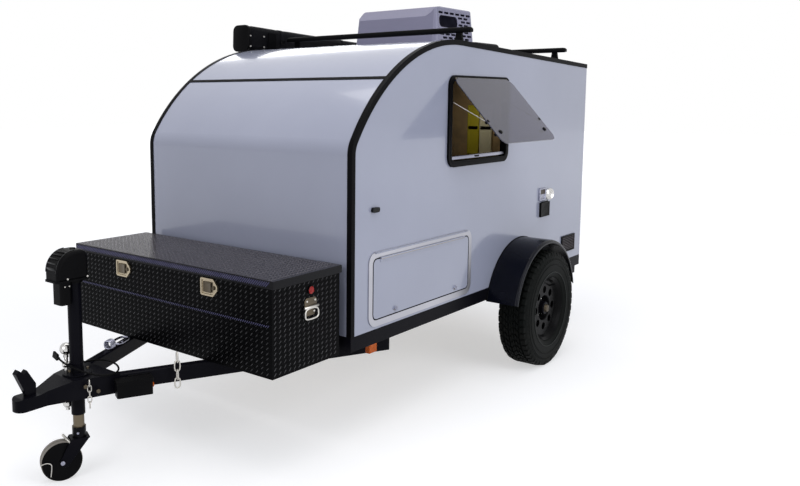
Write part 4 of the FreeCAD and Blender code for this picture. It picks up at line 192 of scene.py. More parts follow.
class SharedEffect:
    """Node groups that more than one finish uses, each built once."""

    made: dict[str, bpy.types.ShaderNodeTree] = {}

    @classmethod
    def group(
        cls, name: str, inputs: dict[str, float | Colour], outputs: dict[str, str], draw: Callable
    ) -> bpy.types.ShaderNodeTree:
        """Return a group, drawn on first use.

        Args:
            name: the group's name.
            inputs: input names with their usual values.
            outputs: output names with their socket types.
            draw: the function that fills the group.

        Returns:
            The node group.
        """
        if name not in cls.made:
            tree = bpy.data.node_groups.new(name, "ShaderNodeTree")
            for key, value in inputs.items():
                kind = "NodeSocketColor" if isinstance(value, tuple) else "NodeSocketFloat"
                socket = tree.interface.new_socket(key, in_out="INPUT", socket_type=kind)
                socket.default_value = (*value, 1.0) if isinstance(value, tuple) else value
            for key, kind in outputs.items():
                tree.interface.new_socket(key, in_out="OUTPUT", socket_type=kind)
            sheet = NodeSheet(tree)
            entry = tree.nodes.new("NodeGroupInput")
            leave = tree.nodes.new("NodeGroupOutput")
            draw(sheet, entry.outputs, leave)
            cls.made[name] = tree
        return cls.made[name]

    @classmethod
    def edge_wear(cls) -> bpy.types.ShaderNodeTree:
        """Return the group that finds edges from the bevelled normal: edge wear that also serves as painted
        edge highlight.
        """

        def draw(sheet: NodeSheet, given, leave) -> None:
            """Draw the mask of worn edges, also painted edge highlights, and the softened normal."""
            soft = sheet.add("Bevel", {"Radius": given["Width"]}, samples=4)
            true = sheet.add("NewGeometry")
            turn = sheet.add(
                "VectorMath", {0: soft.outputs[0], 1: true.outputs["True Normal"]}, operation="DOT_PRODUCT"
            )
            edge = sheet.span(turn.outputs["Value"], 0.995, 0.8, 0.0, 1.0)
            patchy = sheet.span(sheet.noise(60.0, 4.0), 0.42, 0.62, 0.0, 1.0)
            mask = sheet.maths("MULTIPLY", edge, sheet.maths("MULTIPLY", patchy, given["Amount"]))
            sheet.feed(leave, "Mask", mask)
            sheet.feed(leave, "Normal", soft.outputs[0])

        return cls.group(
            "edge_wear", {"Width": 0.002, "Amount": 1.0},
            {"Mask": "NodeSocketFloat", "Normal": "NodeSocketVector"}, draw,
        )

    @classmethod
    def road_dust(cls) -> bpy.types.ShaderNodeTree:
        """Return the group that lays thin dust, thicker near the ground."""

        def draw(sheet: NodeSheet, given, leave) -> None:
            """Draw the dusted colour and its mask."""
            low = sheet.span(sheet.height(), 0.9, 0.0, 0.12, 1.0)
            patch = sheet.span(sheet.noise(5.0, 7.0, Roughness=0.62), 0.38, 0.72, 0.0, 1.0)
            mask = sheet.maths("MULTIPLY", low, sheet.maths("MULTIPLY", patch, given["Amount"]))
            sheet.feed(leave, "Colour", sheet.mix(mask, given["Colour"], given["Dust"]))
            sheet.feed(leave, "Mask", mask)

        return cls.group(
            "road_dust", {"Colour": (0.5, 0.5, 0.5), "Dust": (0.22, 0.19, 0.16), "Amount": 0.3},
            {"Colour": "NodeSocketColor", "Mask": "NodeSocketFloat"}, draw,
        )

    @classmethod
    def grain(cls) -> bpy.types.ShaderNodeTree:
        """Return the group that gives fine grain as a height and cloudy variation as a value."""

        def draw(sheet: NodeSheet, given, leave) -> None:
            """Draw the fine and the broad noise."""
            sheet.feed(leave, "Height", sheet.noise(given["Scale"], 3.0))
            broad = sheet.noise(given["Patches"], 4.0)
            sheet.feed(leave, "Cloud", sheet.span(broad, 0.3, 0.7, 0.0, 1.0))

        return cls.group(
            "grain", {"Scale": 400.0, "Patches": 3.0},
            {"Height": "NodeSocketFloat", "Cloud": "NodeSocketFloat"}, draw,
        )

    @classmethod
    def weave(cls) -> bpy.types.ShaderNodeTree:
        """Return the group that crosses two sets of threads on a piece."""

        def draw(sheet: NodeSheet, given, leave) -> None:
            """Draw the crossing threads as a height and a shade."""
            inputs = {"Vector": sheet.place(), "Scale": given["Threads"], "Distortion": 0.6}
            waves = [
                sheet.add("TexWave", inputs, bands_direction=direction).outputs["Fac"]
                for direction in ("DIAGONAL", "Z")
            ]
            sheet.feed(leave, "Height", sheet.maths("MAXIMUM", *waves))

        return cls.group("weave", {"Threads": 250.0}, {"Height": "NodeSocketFloat"}, draw)


@dataclass(frozen=True)
class Finish:
    """One surface finish of the trailer."""

    name: str
    colour: Colour
    shade: Colour
    roughness: float
    metallic: float = 0.0
    coat: float = 0.0
    specular: float = 0.5
    grain_scale: float = 500.0
    grain_depth: float = 0.0002
    patches: float = 2.5
    gloss_spread: float = 0.06
    edge_width: float = 0.0015
    wear: float = 0.0
    worn_colour: Colour = (0.3, 0.3, 0.3)
    dust: float = 0.0

    def material(self) -> bpy.types.Material:
        """Return the finish's material, built on first use."""
        made = bpy.data.materials.get(self.name)
        return made if made else self.build()

    def start(self) -> tuple[bpy.types.Material, NodeSheet, bpy.types.Node]:
        """Return a new material, its sheet and its shader node."""
        made = bpy.data.materials.new(self.name)
        made.use_nodes = True
        shader = made.node_tree.nodes["Principled BSDF"]
        shader.inputs["Metallic"].default_value = self.metallic
        shader.inputs["Coat Weight"].default_value = self.coat
        shader.inputs["Coat Roughness"].default_value = 0.04
        shader.inputs["Specular IOR Level"].default_value = self.specular
        made.diffuse_color = (*self.colour, 1.0)
        return made, NodeSheet(made.node_tree), shader

    def paint(self, sheet: NodeSheet, colour) -> Socket:
        """Return the ground colour with its own pattern, before wear and dust."""
        return colour

    def relief(self, sheet: NodeSheet, height, normal) -> Socket:
        """Return the bumped normal.

        Args:
            sheet: the material's sheet.
            height: the grain's height socket.
            normal: the softened edge normal's socket.

        Returns:
            The normal's socket.
        """
        bump = sheet.add(
            "Bump", {"Strength": 1.0, "Distance": self.grain_depth, "Height": height, "Normal": normal}
        )
        return bump.outputs[0]

    def build(self) -> bpy.types.Material:
        """Build the material from the shared effects."""
        made, sheet, shader = self.start()
        grain = sheet.group(SharedEffect.grain(), Scale=self.grain_scale, Patches=self.patches)
        cloud = grain.outputs["Cloud"]
        colour = self.paint(sheet, sheet.mix(cloud, self.colour, self.shade))
        edge = sheet.group(SharedEffect.edge_wear(), Width=self.edge_width, Amount=self.wear)
        # worn edges take the lighter colour: edge wear, and on the black finishes also painted edge highlight
        if self.wear:
            colour = sheet.mix(edge.outputs["Mask"], colour, self.worn_colour)
        if self.dust:
            dust = sheet.group(SharedEffect.road_dust(), Colour=colour, Amount=self.dust)
            colour = dust.outputs["Colour"]
        sheet.feed(shader, "Base Color", colour)
        rough = sheet.span(cloud, 0.0, 1.0, self.roughness, self.roughness + self.gloss_spread)
        sheet.feed(shader, "Roughness", rough)
        sheet.feed(shader, "Normal", self.relief(sheet, grain.outputs["Height"], edge.outputs["Normal"]))
        return made


@dataclass(frozen=True)
class LinedPanel(Finish):
    """White panel outside, with a birch lining on the faces that look into the cabin."""

    lining: Colour = (0.62, 0.5, 0.3)
    inner_x: float = 0.7355
    floor: float = 0.59
    looks_in: float = 0.3
    looks_down: float = -0.35
    grain_shade: float = 0.82

    def paint(self, sheet: NodeSheet, colour) -> Socket:
        """Return white outside and grained lining inside, by where the face is and looks."""
        shape = sheet.add("NewGeometry")
        place = sheet.add("SeparateXYZ", {0: shape.outputs["Position"]})
        looks = sheet.add("SeparateXYZ", {0: shape.outputs["True Normal"]})
        side = sheet.maths("ABSOLUTE", place.outputs["X"])
        inward = sheet.maths("MULTIPLY", place.outputs["X"], looks.outputs["X"])
        inside_side = sheet.maths(
            "MULTIPLY", sheet.maths("LESS_THAN", side, self.inner_x),
            sheet.maths("LESS_THAN", inward, -self.looks_in),
        )
        down = sheet.maths("LESS_THAN", looks.outputs["Z"], self.looks_down)
        behind = sheet.maths(
            "MULTIPLY", sheet.maths("LESS_THAN", place.outputs["Y"], 0.0),
            sheet.maths("GREATER_THAN", looks.outputs["Y"], self.looks_in),
        )
        high = sheet.maths("GREATER_THAN", place.outputs["Z"], self.floor)
        mask = sheet.maths("MAXIMUM", inside_side, sheet.maths("MAXIMUM", down, behind))
        mask = sheet.maths("MULTIPLY", mask, high)
        grain = sheet.add(
            "TexWave", {"Scale": 9.0, "Distortion": 7.0, "Detail": 3.0, "Detail Scale": 1.2},
            bands_direction="Y",
        )
        wood = sheet.mix(grain.outputs["Fac"], self.lining, tuple(c * self.grain_shade for c in self.lining))
        return sheet.mix(mask, colour, wood)


@dataclass(frozen=True)
class TwoTone(Finish):
    """A finish that changes to a second colour below a height."""

    level: float = 0.0
    under: Colour = (0.012, 0.012, 0.013)

    def paint(self, sheet: NodeSheet, colour) -> Socket:
        """Return the ground colour above the level and the second colour below it."""
        return sheet.mix(sheet.maths("LESS_THAN", sheet.height(), self.level), colour, self.under)


@dataclass(frozen=True)
class Wood(Finish):
    """Varnished birch board with its long grain."""

    stretch: Point = (1.0, 6.0, 1.0)
    line_shade: float = 0.7

    def paint(self, sheet: NodeSheet, colour) -> Socket:
        """Return the board's colour with grain lines."""
        stretch = sheet.add("Mapping", {"Vector": sheet.place(), "Scale": self.stretch})
        lines = sheet.add(
            "TexWave", {"Vector": stretch.outputs[0], "Scale": 5.0, "Distortion": 9.0, "Detail": 4.0},
            bands_direction="Y",
        )
        return sheet.mix(lines.outputs["Fac"], colour, tuple(c * self.line_shade for c in self.colour))


@dataclass(frozen=True)
class Cloth(Finish):
    """Woven cloth with crossing threads."""

    threads: float = 220.0
    thread_depth: float = 0.0006

    def relief(self, sheet: NodeSheet, height, normal) -> Socket:
        """Return the normal of the weave alone, without the grain."""
        weave = sheet.group(SharedEffect.weave(), Threads=self.threads)
        bump = sheet.add(
            "Bump", {"Strength": 0.8, "Distance": self.thread_depth, "Height": weave.outputs["Height"]},
        )
        return bump.outputs[0]


@dataclass(frozen=True)
class Brushed(Finish):
    """Metal drawn along one direction, with fine streaks."""

    stretch: Point = (1.0, 60.0, 60.0)

    def relief(self, sheet: NodeSheet, height, normal) -> Socket:
        """Return the streaked normal."""
        drawn = sheet.add("Mapping", {"Vector": sheet.place(), "Scale": self.stretch})
        streak = sheet.add("TexNoise", {"Vector": drawn.outputs[0], "Scale": 8.0, "Detail": 5.0})
        bump = sheet.add(
            "Bump",
            {
                "Strength": 0.35, "Distance": self.grain_depth, "Height": streak.outputs["Fac"],
                "Normal": normal,
            },
        )
        return bump.outputs[0]


@dataclass(frozen=True)
class Glazing(Finish):
    """Tinted acrylic that shows the cabin behind it."""

    tint: Colour = (0.3, 0.32, 0.36)

    def build(self) -> bpy.types.Material:
        """Build the tinted glass."""
        made, sheet, shader = self.start()
        shader.inputs["Transmission Weight"].default_value = 0.75
        shader.inputs["IOR"].default_value = 1.45
        haze = sheet.noise(3.0, 5.0)
        sheet.feed(shader, "Base Color", sheet.mix(haze, self.tint, self.shade))
        rough = sheet.span(haze, 0.3, 0.7, self.roughness, self.roughness + 0.03)
        sheet.feed(shader, "Roughness", rough)
        return made


@dataclass(frozen=True)
class Lens(Finish):
    """Moulded lamp lens with fine prisms under a clear skin."""

    prism: float = 260.0
    prism_depth: float = 0.001
    smoked_above: float = 9.0
    smoke: Colour = (0.006, 0.007, 0.007)

    def build(self) -> bpy.types.Material:
        """Build the coloured lens."""
        made, sheet, shader = self.start()
        shader.inputs["Transmission Weight"].default_value = 0.25
        cells = sheet.add("TexVoronoi", {"Vector": sheet.place(), "Scale": self.prism})
        depth = cells.outputs["Distance"]
        bump = sheet.add("Bump", {"Strength": 0.5, "Distance": self.prism_depth, "Height": depth})
        # prism cells blend from the dark shade colour to the bright colour: painted glints and painted shade
        # across the lens
        colour = sheet.mix(sheet.span(depth, 0.0, 0.6, 0.0, 1.0), self.shade, self.colour)
        dark = sheet.maths("GREATER_THAN", sheet.height(), self.smoked_above)
        sheet.feed(shader, "Base Color", sheet.mix(dark, colour, self.smoke))
        sheet.feed(shader, "Roughness", sheet.span(depth, 0.0, 1.0, 0.08, 0.2))
        sheet.feed(shader, "Normal", bump.outputs[0])
        return made


class Finishes:
    """Every finish on the trailer, by what it is."""

    BODY = LinedPanel(
        "white_panel", (0.35, 0.368, 0.466), (0.322, 0.34, 0.432), 0.16, coat=0.4,
        grain_scale=900.0, grain_depth=0.00004, patches=1.4, gloss_spread=0.05, dust=0.03,
    )
    FRAME = Finish(
        "black_frame_paint", (0.0025, 0.0025, 0.0045), (0.004, 0.004, 0.0065), 0.3, specular=0.04,
        grain_scale=350.0, grain_depth=0.0003, wear=0.5, worn_colour=(0.03, 0.03, 0.035), dust=0.015,
    )
    CHEST = Finish(
        "black_plate_paint", (0.001, 0.001, 0.0013), (0.0018, 0.0018, 0.0022), 0.3, specular=0.03,
        grain_scale=420.0, wear=0.5, worn_colour=(0.04, 0.04, 0.045),
    )
    # Lid: a lighter black above the top's height as painted sheen on the lid top; the front edge below keeps
    # the darker black.
    CHEST_LID = TwoTone(
        "black_lid_paint", (0.008, 0.007, 0.009), (0.013, 0.011, 0.014), 0.18, specular=0.12,
        grain_scale=420.0, level=0.9342, under=(0.0015, 0.0015, 0.003),
    )
    # Rising chest lugs: a paler colour as painted glint on the black plate; the falling lugs keep the plate's
    # black.
    LUG = Finish(
        "rubbed_plate_lugs", (0.055, 0.054, 0.058), (0.016, 0.016, 0.018), 0.24, metallic=0.5, specular=0.4,
        grain_scale=600.0, patches=30.0,
    )
    # Lid lugs: pale grey as painted reflection on the lid top, over black plate.
    LID_LUG = Finish(
        "bright_lid_lugs", (0.12, 0.112, 0.13), (0.07, 0.066, 0.08), 0.24, metallic=0.6, specular=0.5,
        grain_scale=600.0, patches=30.0,
    )
    # Lugs of the lid's front edge and of the bead: bluish grey as painted reflection of the sky on black
    # plate.
    EDGE_LUG = Finish(
        "bluish_edge_lugs", (0.085, 0.082, 0.17), (0.04, 0.038, 0.11), 0.28, metallic=0.4, specular=0.4,
        grain_scale=600.0, patches=6.0,
    )
    TRIM = Finish(
        "black_trim", (0.0018, 0.0018, 0.0024), (0.003, 0.003, 0.0036), 0.38, specular=0.04,
        grain_scale=800.0, dust=0.01,
    )
    # Fender: near-black with a blue tint as painted reflection of the sky on the glossy shell.
    FENDER = Finish(
        "black_fender_shell", (0.0008, 0.0014, 0.005), (0.0014, 0.0022, 0.007), 0.24, specular=0.12,
        coat=0.04, grain_scale=300.0, wear=0.15, worn_colour=(0.03, 0.03, 0.04), dust=0.01,
    )
    ALUMINIUM = Brushed(
        "drawn_aluminium", (0.5, 0.5, 0.54), (0.42, 0.42, 0.46), 0.28, metallic=1.0, edge_width=0.001,
    )
    CHROME = Brushed(
        "bright_chrome", (0.62, 0.61, 0.6), (0.52, 0.51, 0.49), 0.12, metallic=1.0,
        grain_depth=0.00005, edge_width=0.001,
    )
    STEEL = Brushed(
        "plain_steel", (0.2, 0.175, 0.14), (0.14, 0.125, 0.1), 0.32, metallic=1.0,
        edge_width=0.001, dust=0.1,
    )
    ZINC = Brushed(
        "zinc_plated_steel", (0.34, 0.345, 0.42), (0.25, 0.255, 0.32), 0.24, metallic=1.0,
        grain_depth=0.0001, edge_width=0.001,
    )
    PALE = Brushed(
        "pale_plated_steel", (0.62, 0.6, 0.56), (0.5, 0.48, 0.44), 0.3, metallic=0.8,
        grain_depth=0.0001, edge_width=0.001,
    )
    HARDWARE = Brushed(
        "dull_plated_hardware", (0.115, 0.094, 0.066), (0.07, 0.058, 0.042), 0.34, metallic=1.0,
        edge_width=0.001, dust=0.05,
    )
    JACK_LEG = TwoTone(
        "jack_leg_tube", (0.165, 0.135, 0.092), (0.13, 0.105, 0.072), 0.34, metallic=0.9,
        edge_width=0.001, level=0.241, under=(0.003, 0.003, 0.004),
    )
    TYRE = Finish(
        "tyre_rubber", (0.0025, 0.0032, 0.003), (0.0042, 0.0052, 0.0048), 0.5, specular=0.05,
        grain_scale=260.0, grain_depth=0.0005, gloss_spread=0.2, dust=0.02,
    )
    RIM = Finish(
        "black_rim_enamel", (0.002, 0.002, 0.0025), (0.004, 0.004, 0.0045), 0.22, specular=0.04,
        grain_scale=400.0, wear=0.4, worn_colour=(0.06, 0.06, 0.07), dust=0.01,
    )
    RUBBER = Finish(
        "black_rubber", (0.0018, 0.0018, 0.0022), (0.003, 0.003, 0.0035), 0.5, specular=0.05,
        grain_scale=700.0, grain_depth=0.0003, dust=0.01,
    )
    GLOSS = Finish(
        "gloss_black_moulding", (0.003, 0.003, 0.004), (0.005, 0.005, 0.006), 0.16, specular=0.18,
        grain_scale=700.0, grain_depth=0.0001,
    )
    BODY_TRIM = Finish(
        "painted_white_trim", (0.34, 0.358, 0.45), (0.31, 0.328, 0.415), 0.25, coat=0.3,
        grain_scale=800.0, grain_depth=0.0001, dust=0.03,
    )
    HOUSING = Finish(
        "grey_moulded_shell", (0.205, 0.2, 0.285), (0.185, 0.18, 0.258), 0.34, specular=0.4, coat=0.1,
        grain_scale=700.0, grain_depth=0.0003, dust=0.03,
    )
    # Air conditioner: near-black below the level, partly its black base and gasket, partly painted shade
    # under the housing.
    AIR_SHELL = TwoTone(
        "air_conditioner_shell", (0.205, 0.2, 0.285), (0.185, 0.18, 0.258), 0.34, specular=0.4, coat=0.1,
        grain_scale=700.0, grain_depth=0.0003, dust=0.02, level=2.082, under=(0.003, 0.003, 0.004),
    )
    PORT = Finish(
        "black_moulding", (0.0014, 0.0014, 0.0018), (0.0026, 0.0026, 0.003), 0.38, specular=0.05,
        grain_scale=900.0, grain_depth=0.0004, dust=0.01,
    )
    CASTER = Finish(
        "caster_tread", (0.26, 0.235, 0.2), (0.19, 0.17, 0.145), 0.5,
        grain_scale=300.0, grain_depth=0.0005, dust=0.4,
    )
    BAG = Cloth(
        "black_awning_cloth", (0.0014, 0.0014, 0.0026), (0.0028, 0.0028, 0.0045), 0.55, specular=0.06,
        grain_depth=0.0004, threads=170.0, thread_depth=0.0008,
    )
    WEBBING = Cloth(
        "black_webbing", (0.003, 0.003, 0.005), (0.005, 0.005, 0.007), 0.55, specular=0.06,
        grain_depth=0.0003, threads=120.0, thread_depth=0.001,
    )
    WOOD = Wood("birch_board", (0.56, 0.4, 0.21), (0.48, 0.33, 0.16), 0.38, coat=0.2)
    OLIVE = Finish("olive_cupboard_front", (0.62, 0.54, 0.03), (0.5, 0.43, 0.025), 0.45, specular=0.4)
    CREAM = Finish("cream_cupboard_front", (0.8, 0.76, 0.55), (0.72, 0.68, 0.48), 0.45, specular=0.4)
    CUSHION = Cloth("mattress_cloth", (0.62, 0.54, 0.3), (0.55, 0.47, 0.25), 0.85, grain_depth=0.0003)
    GLASS = Glazing(
        "tinted_acrylic", (0.1, 0.1, 0.15), (0.1, 0.1, 0.15), 0.03, tint=(0.115, 0.108, 0.185)
    )
    AMBER = Lens("amber_lens", (0.7, 0.13, 0.001), (0.2, 0.02, 0.001), 0.1, specular=0.15)
    MARKER = Lens(
        "side_marker_lens", (0.7, 0.13, 0.001), (0.1, 0.014, 0.001), 0.1, specular=0.06, smoked_above=0.8
    )
    # Raised sidewall rings: a paler rubber colour as painted highlight where they catch the light.
    RUBBED = Finish(
        "rubbed_sidewall", (0.016, 0.021, 0.019), (0.01, 0.013, 0.012), 0.45, specular=0.2,
        grain_scale=260.0, grain_depth=0.0003, patches=14.0,
    )
    TAN = Brushed(
        "tan_plated_plate", (0.5, 0.43, 0.31), (0.36, 0.3, 0.21), 0.28, metallic=0.9,
        grain_depth=0.0001, edge_width=0.001,
    )
    SLAT = Finish(
        "grey_brown_slats", (0.05, 0.04, 0.046), (0.036, 0.03, 0.034), 0.45, specular=0.2,
        grain_scale=600.0,
    )
    UMBER = Finish(
        "dark_umber_lens", (0.03, 0.01, 0.003), (0.012, 0.01, 0.003), 0.25, specular=0.25,
        grain_scale=600.0, patches=20.0,
    )
    RED = Lens("red_lens", (0.48, 0.005, 0.004), (0.14, 0.002, 0.002), 0.1, specular=0.15)


SLOT_FINISH: dict[str, Finish] = {
    "body_white": Finishes.BODY, "frame_black": Finishes.FRAME, "chest_black": Finishes.CHEST,
    "trim_black": Finishes.TRIM, "aluminium": Finishes.ALUMINIUM, "chrome": Finishes.CHROME,
    "steel": Finishes.STEEL, "tyre": Finishes.TYRE, "glass": Finishes.GLASS, "lens_amber": Finishes.AMBER,
    "lens_red": Finishes.RED, "housing_grey": Finishes.HOUSING, "plywood": Finishes.WOOD,
    "cushion": Finishes.CUSHION, "port_black": Finishes.PORT, "caster_grey": Finishes.CASTER,
    "cable_black": Finishes.RUBBER, "awning_cloth": Finishes.BAG,
}


@dataclass(frozen=True)
class Studio:
    """The pale room: floor, soft lamps, world and the photograph's camera."""

    lens: float = 36.33
    azimuth: float = 39.766
    pitch: float = 7.099
    roll: float = 0.071
    shift_x: float = 0.1
    shift_y: float = -0.054
    place: Point = (3.1283, -3.8464, 1.731)
    floor_half: float = 40.0
    floor_colour: Colour = (0.62, 0.62, 0.63)
    floor_glow: float = 0.52
    near_floor: float = 2.5
    far_floor: float = 14.0
    room_colour: Colour = (0.6, 0.63, 0.7)
    room_strength: float = 0.55
    room_gloss: float = 0.85
    speck_shade: float = 0.985

    def camera(self) -> None:
        """Set up the camera at the photograph's viewing angle."""
        data = bpy.data.cameras.new("photo_camera")
        data.lens = self.lens
        data.sensor_width = 36.0
        data.shift_x = self.shift_x
        data.shift_y = self.shift_y
        data.clip_end = 90.0
        eye = bpy.data.objects.new("photo_camera", data)
        bpy.context.scene.collection.objects.link(eye)
        turn = Matrix.Rotation(math.radians(self.azimuth), 4, "Z")
        turn @= Matrix.Rotation(math.radians(90.0 - self.pitch), 4, "X")
        turn @= Matrix.Rotation(math.radians(self.roll), 4, "Z")
        eye.matrix_world = Matrix.Translation(Vector(self.place)) @ turn
        bpy.context.scene.camera = eye

    def lamp(self, name: str, place: Point, aim: Point, size: float, power: float, colour: Colour) -> None:
        """Add one soft square lamp.

        Args:
            name: the lamp's name.
            place: where it hangs, in metres.
            aim: the point it looks at.
            size: its side, in metres.
            power: its power in watts.
            colour: its colour.
        """
        data = bpy.data.lights.new(name, "AREA")
        data.size = size
        data.energy = power
        data.color = colour
        lamp = bpy.data.objects.new(name, data)
        bpy.context.scene.collection.objects.link(lamp)
        turn = (Vector(aim) - Vector(place)).to_track_quat("-Z", "Y").to_matrix().to_4x4()
        lamp.matrix_world = Matrix.Translation(Vector(place)) @ turn

    @staticmethod
    def cleared(holder: bpy.types.World | bpy.types.Material) -> NodeSheet:
        """Return a world's or a material's sheet with nothing on it."""
        holder.use_nodes = True
        holder.node_tree.nodes.clear()
        return NodeSheet(holder.node_tree)

    @staticmethod
    def seen(sheet: NodeSheet, gloss: float) -> Socket:
        """Return 1 for rays from the camera and through glass, and a share for reflected ones.

        Args:
            sheet: the sheet to draw on.
            gloss: the share of reflected rays.

        Returns:
            The share's socket.
        """
        path = sheet.add("LightPath").outputs
        direct = sheet.maths("MAXIMUM", path["Is Camera Ray"], path["Is Transmission Ray"])
        return sheet.maths("MAXIMUM", direct, sheet.maths("MULTIPLY", path["Is Glossy Ray"], gloss))

    def lamps(self) -> None:
        """Hang the soft lamps."""
        self.lamp("overhead", (0.6, -0.4, 5.6), (0.0, 0.3, 0.8), 5.0, 160.0, (1.0, 0.99, 0.97))
        self.lamp("left_soft", (6.0, 0.2, 3.0), (0.0, 0.4, 1.0), 4.0, 135.0, (0.95, 0.97, 1.0))
        self.lamp("front_soft", (0.8, -6.2, 2.8), (0.0, -0.6, 0.9), 3.6, 92.0, (0.97, 0.97, 1.0))
        self.lamp("rear_fill", (-4.5, 4.6, 3.2), (0.0, 0.6, 1.0), 3.6, 85.0, (1.0, 1.0, 1.0))
        self.lamp("cabin_glow", (0.34, 1.08, 1.66), (0.3, 1.3565, 1.5), 0.12, 0.16, (1.0, 0.95, 0.82))

    def room(self) -> None:
        """Make the world and the pale floor, white to the camera and in reflections."""
        scene = bpy.context.scene
        scene.view_settings.view_transform = "Standard"
        world = bpy.data.worlds.new("room")
        scene.world = world
        sheet = self.cleared(world)
        room = sheet.add("Background", {0: self.room_colour, 1: self.room_strength})
        white = sheet.add("Background", {0: WHITE, 1: 1.0})
        seen = self.seen(sheet, self.room_gloss)
        both = sheet.add("MixShader", {0: seen, 1: room.outputs[0], 2: white.outputs[0]})
        sheet.add("OutputWorld", {0: both.outputs[0]})
        self.floor()

    def floor(self) -> None:
        """Lay the pale floor, which glows towards its far edge."""
        bpy.ops.object.select_all(action="DESELECT")
        bpy.ops.mesh.primitive_plane_add(size=2.0 * self.floor_half, location=(0.0, 0.0, 0.0))
        floor = bpy.context.active_object
        floor.name = "studio_floor"
        bpy.ops.object.transform_apply(location=True, rotation=True, scale=True)
        made = bpy.data.materials.new("studio_floor")
        sheet = self.cleared(made)
        speck = sheet.add("TexNoise", {"Scale": 3.0, "Detail": 2.0})
        darker = tuple(c * self.speck_shade for c in self.floor_colour)
        plain = sheet.add("BsdfDiffuse", {0: sheet.mix(speck.outputs["Fac"], self.floor_colour, darker)})
        reach = sheet.add("VectorMath", {0: sheet.place()}, operation="LENGTH")
        lift = sheet.span(reach.outputs["Value"], self.near_floor, self.far_floor, self.floor_glow, 1.0)
        glow = sheet.add("Emission", {0: WHITE, 1: sheet.maths("MULTIPLY", self.seen(sheet, 1.0), lift)})
        both = sheet.add("AddShader", {0: plain.outputs[0], 1: glow.outputs[0]})
        sheet.add("OutputMaterial", {0: both.outputs[0]})
        floor.data.materials.append(made)


class FrameDress:
    """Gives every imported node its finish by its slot."""

    special: dict[str, Finish] = {
        "fender_left": Finishes.FENDER, "fender_right": Finishes.FENDER, "jack_leg": Finishes.JACK_LEG,
        "air_conditioner": Finishes.AIR_SHELL, "caster_wheel": Finishes.CASTER, "rim_left": Finishes.RIM,
        "rim_right": Finishes.RIM, "toolbox_lid": Finishes.CHEST_LID, "crossbars": Finishes.TRIM,
        "awning_brackets": Finishes.TRIM, "window_stays": Finishes.PALE, "marker_lights": Finishes.MARKER,
    }

    def __init__(self, frame: dict) -> None:
        """Keep the loaded frame."""
        self.frame = frame

    def dress(self) -> None:
        """Assign a finish to each node's material slots."""
        for name, piece in self.frame["nodes"].items():
            for slot in piece.material_slots:
                key = slot.material.name.split(".")[0] if slot.material else ""
                finish = self.special.get(name) or SLOT_FINISH.get(key, Finishes.FRAME)
                slot.material = finish.material()
            log.info("dressed %s", name)


MIRROR = Matrix.Scale(-1.0, 4, Way.LEFT.line)


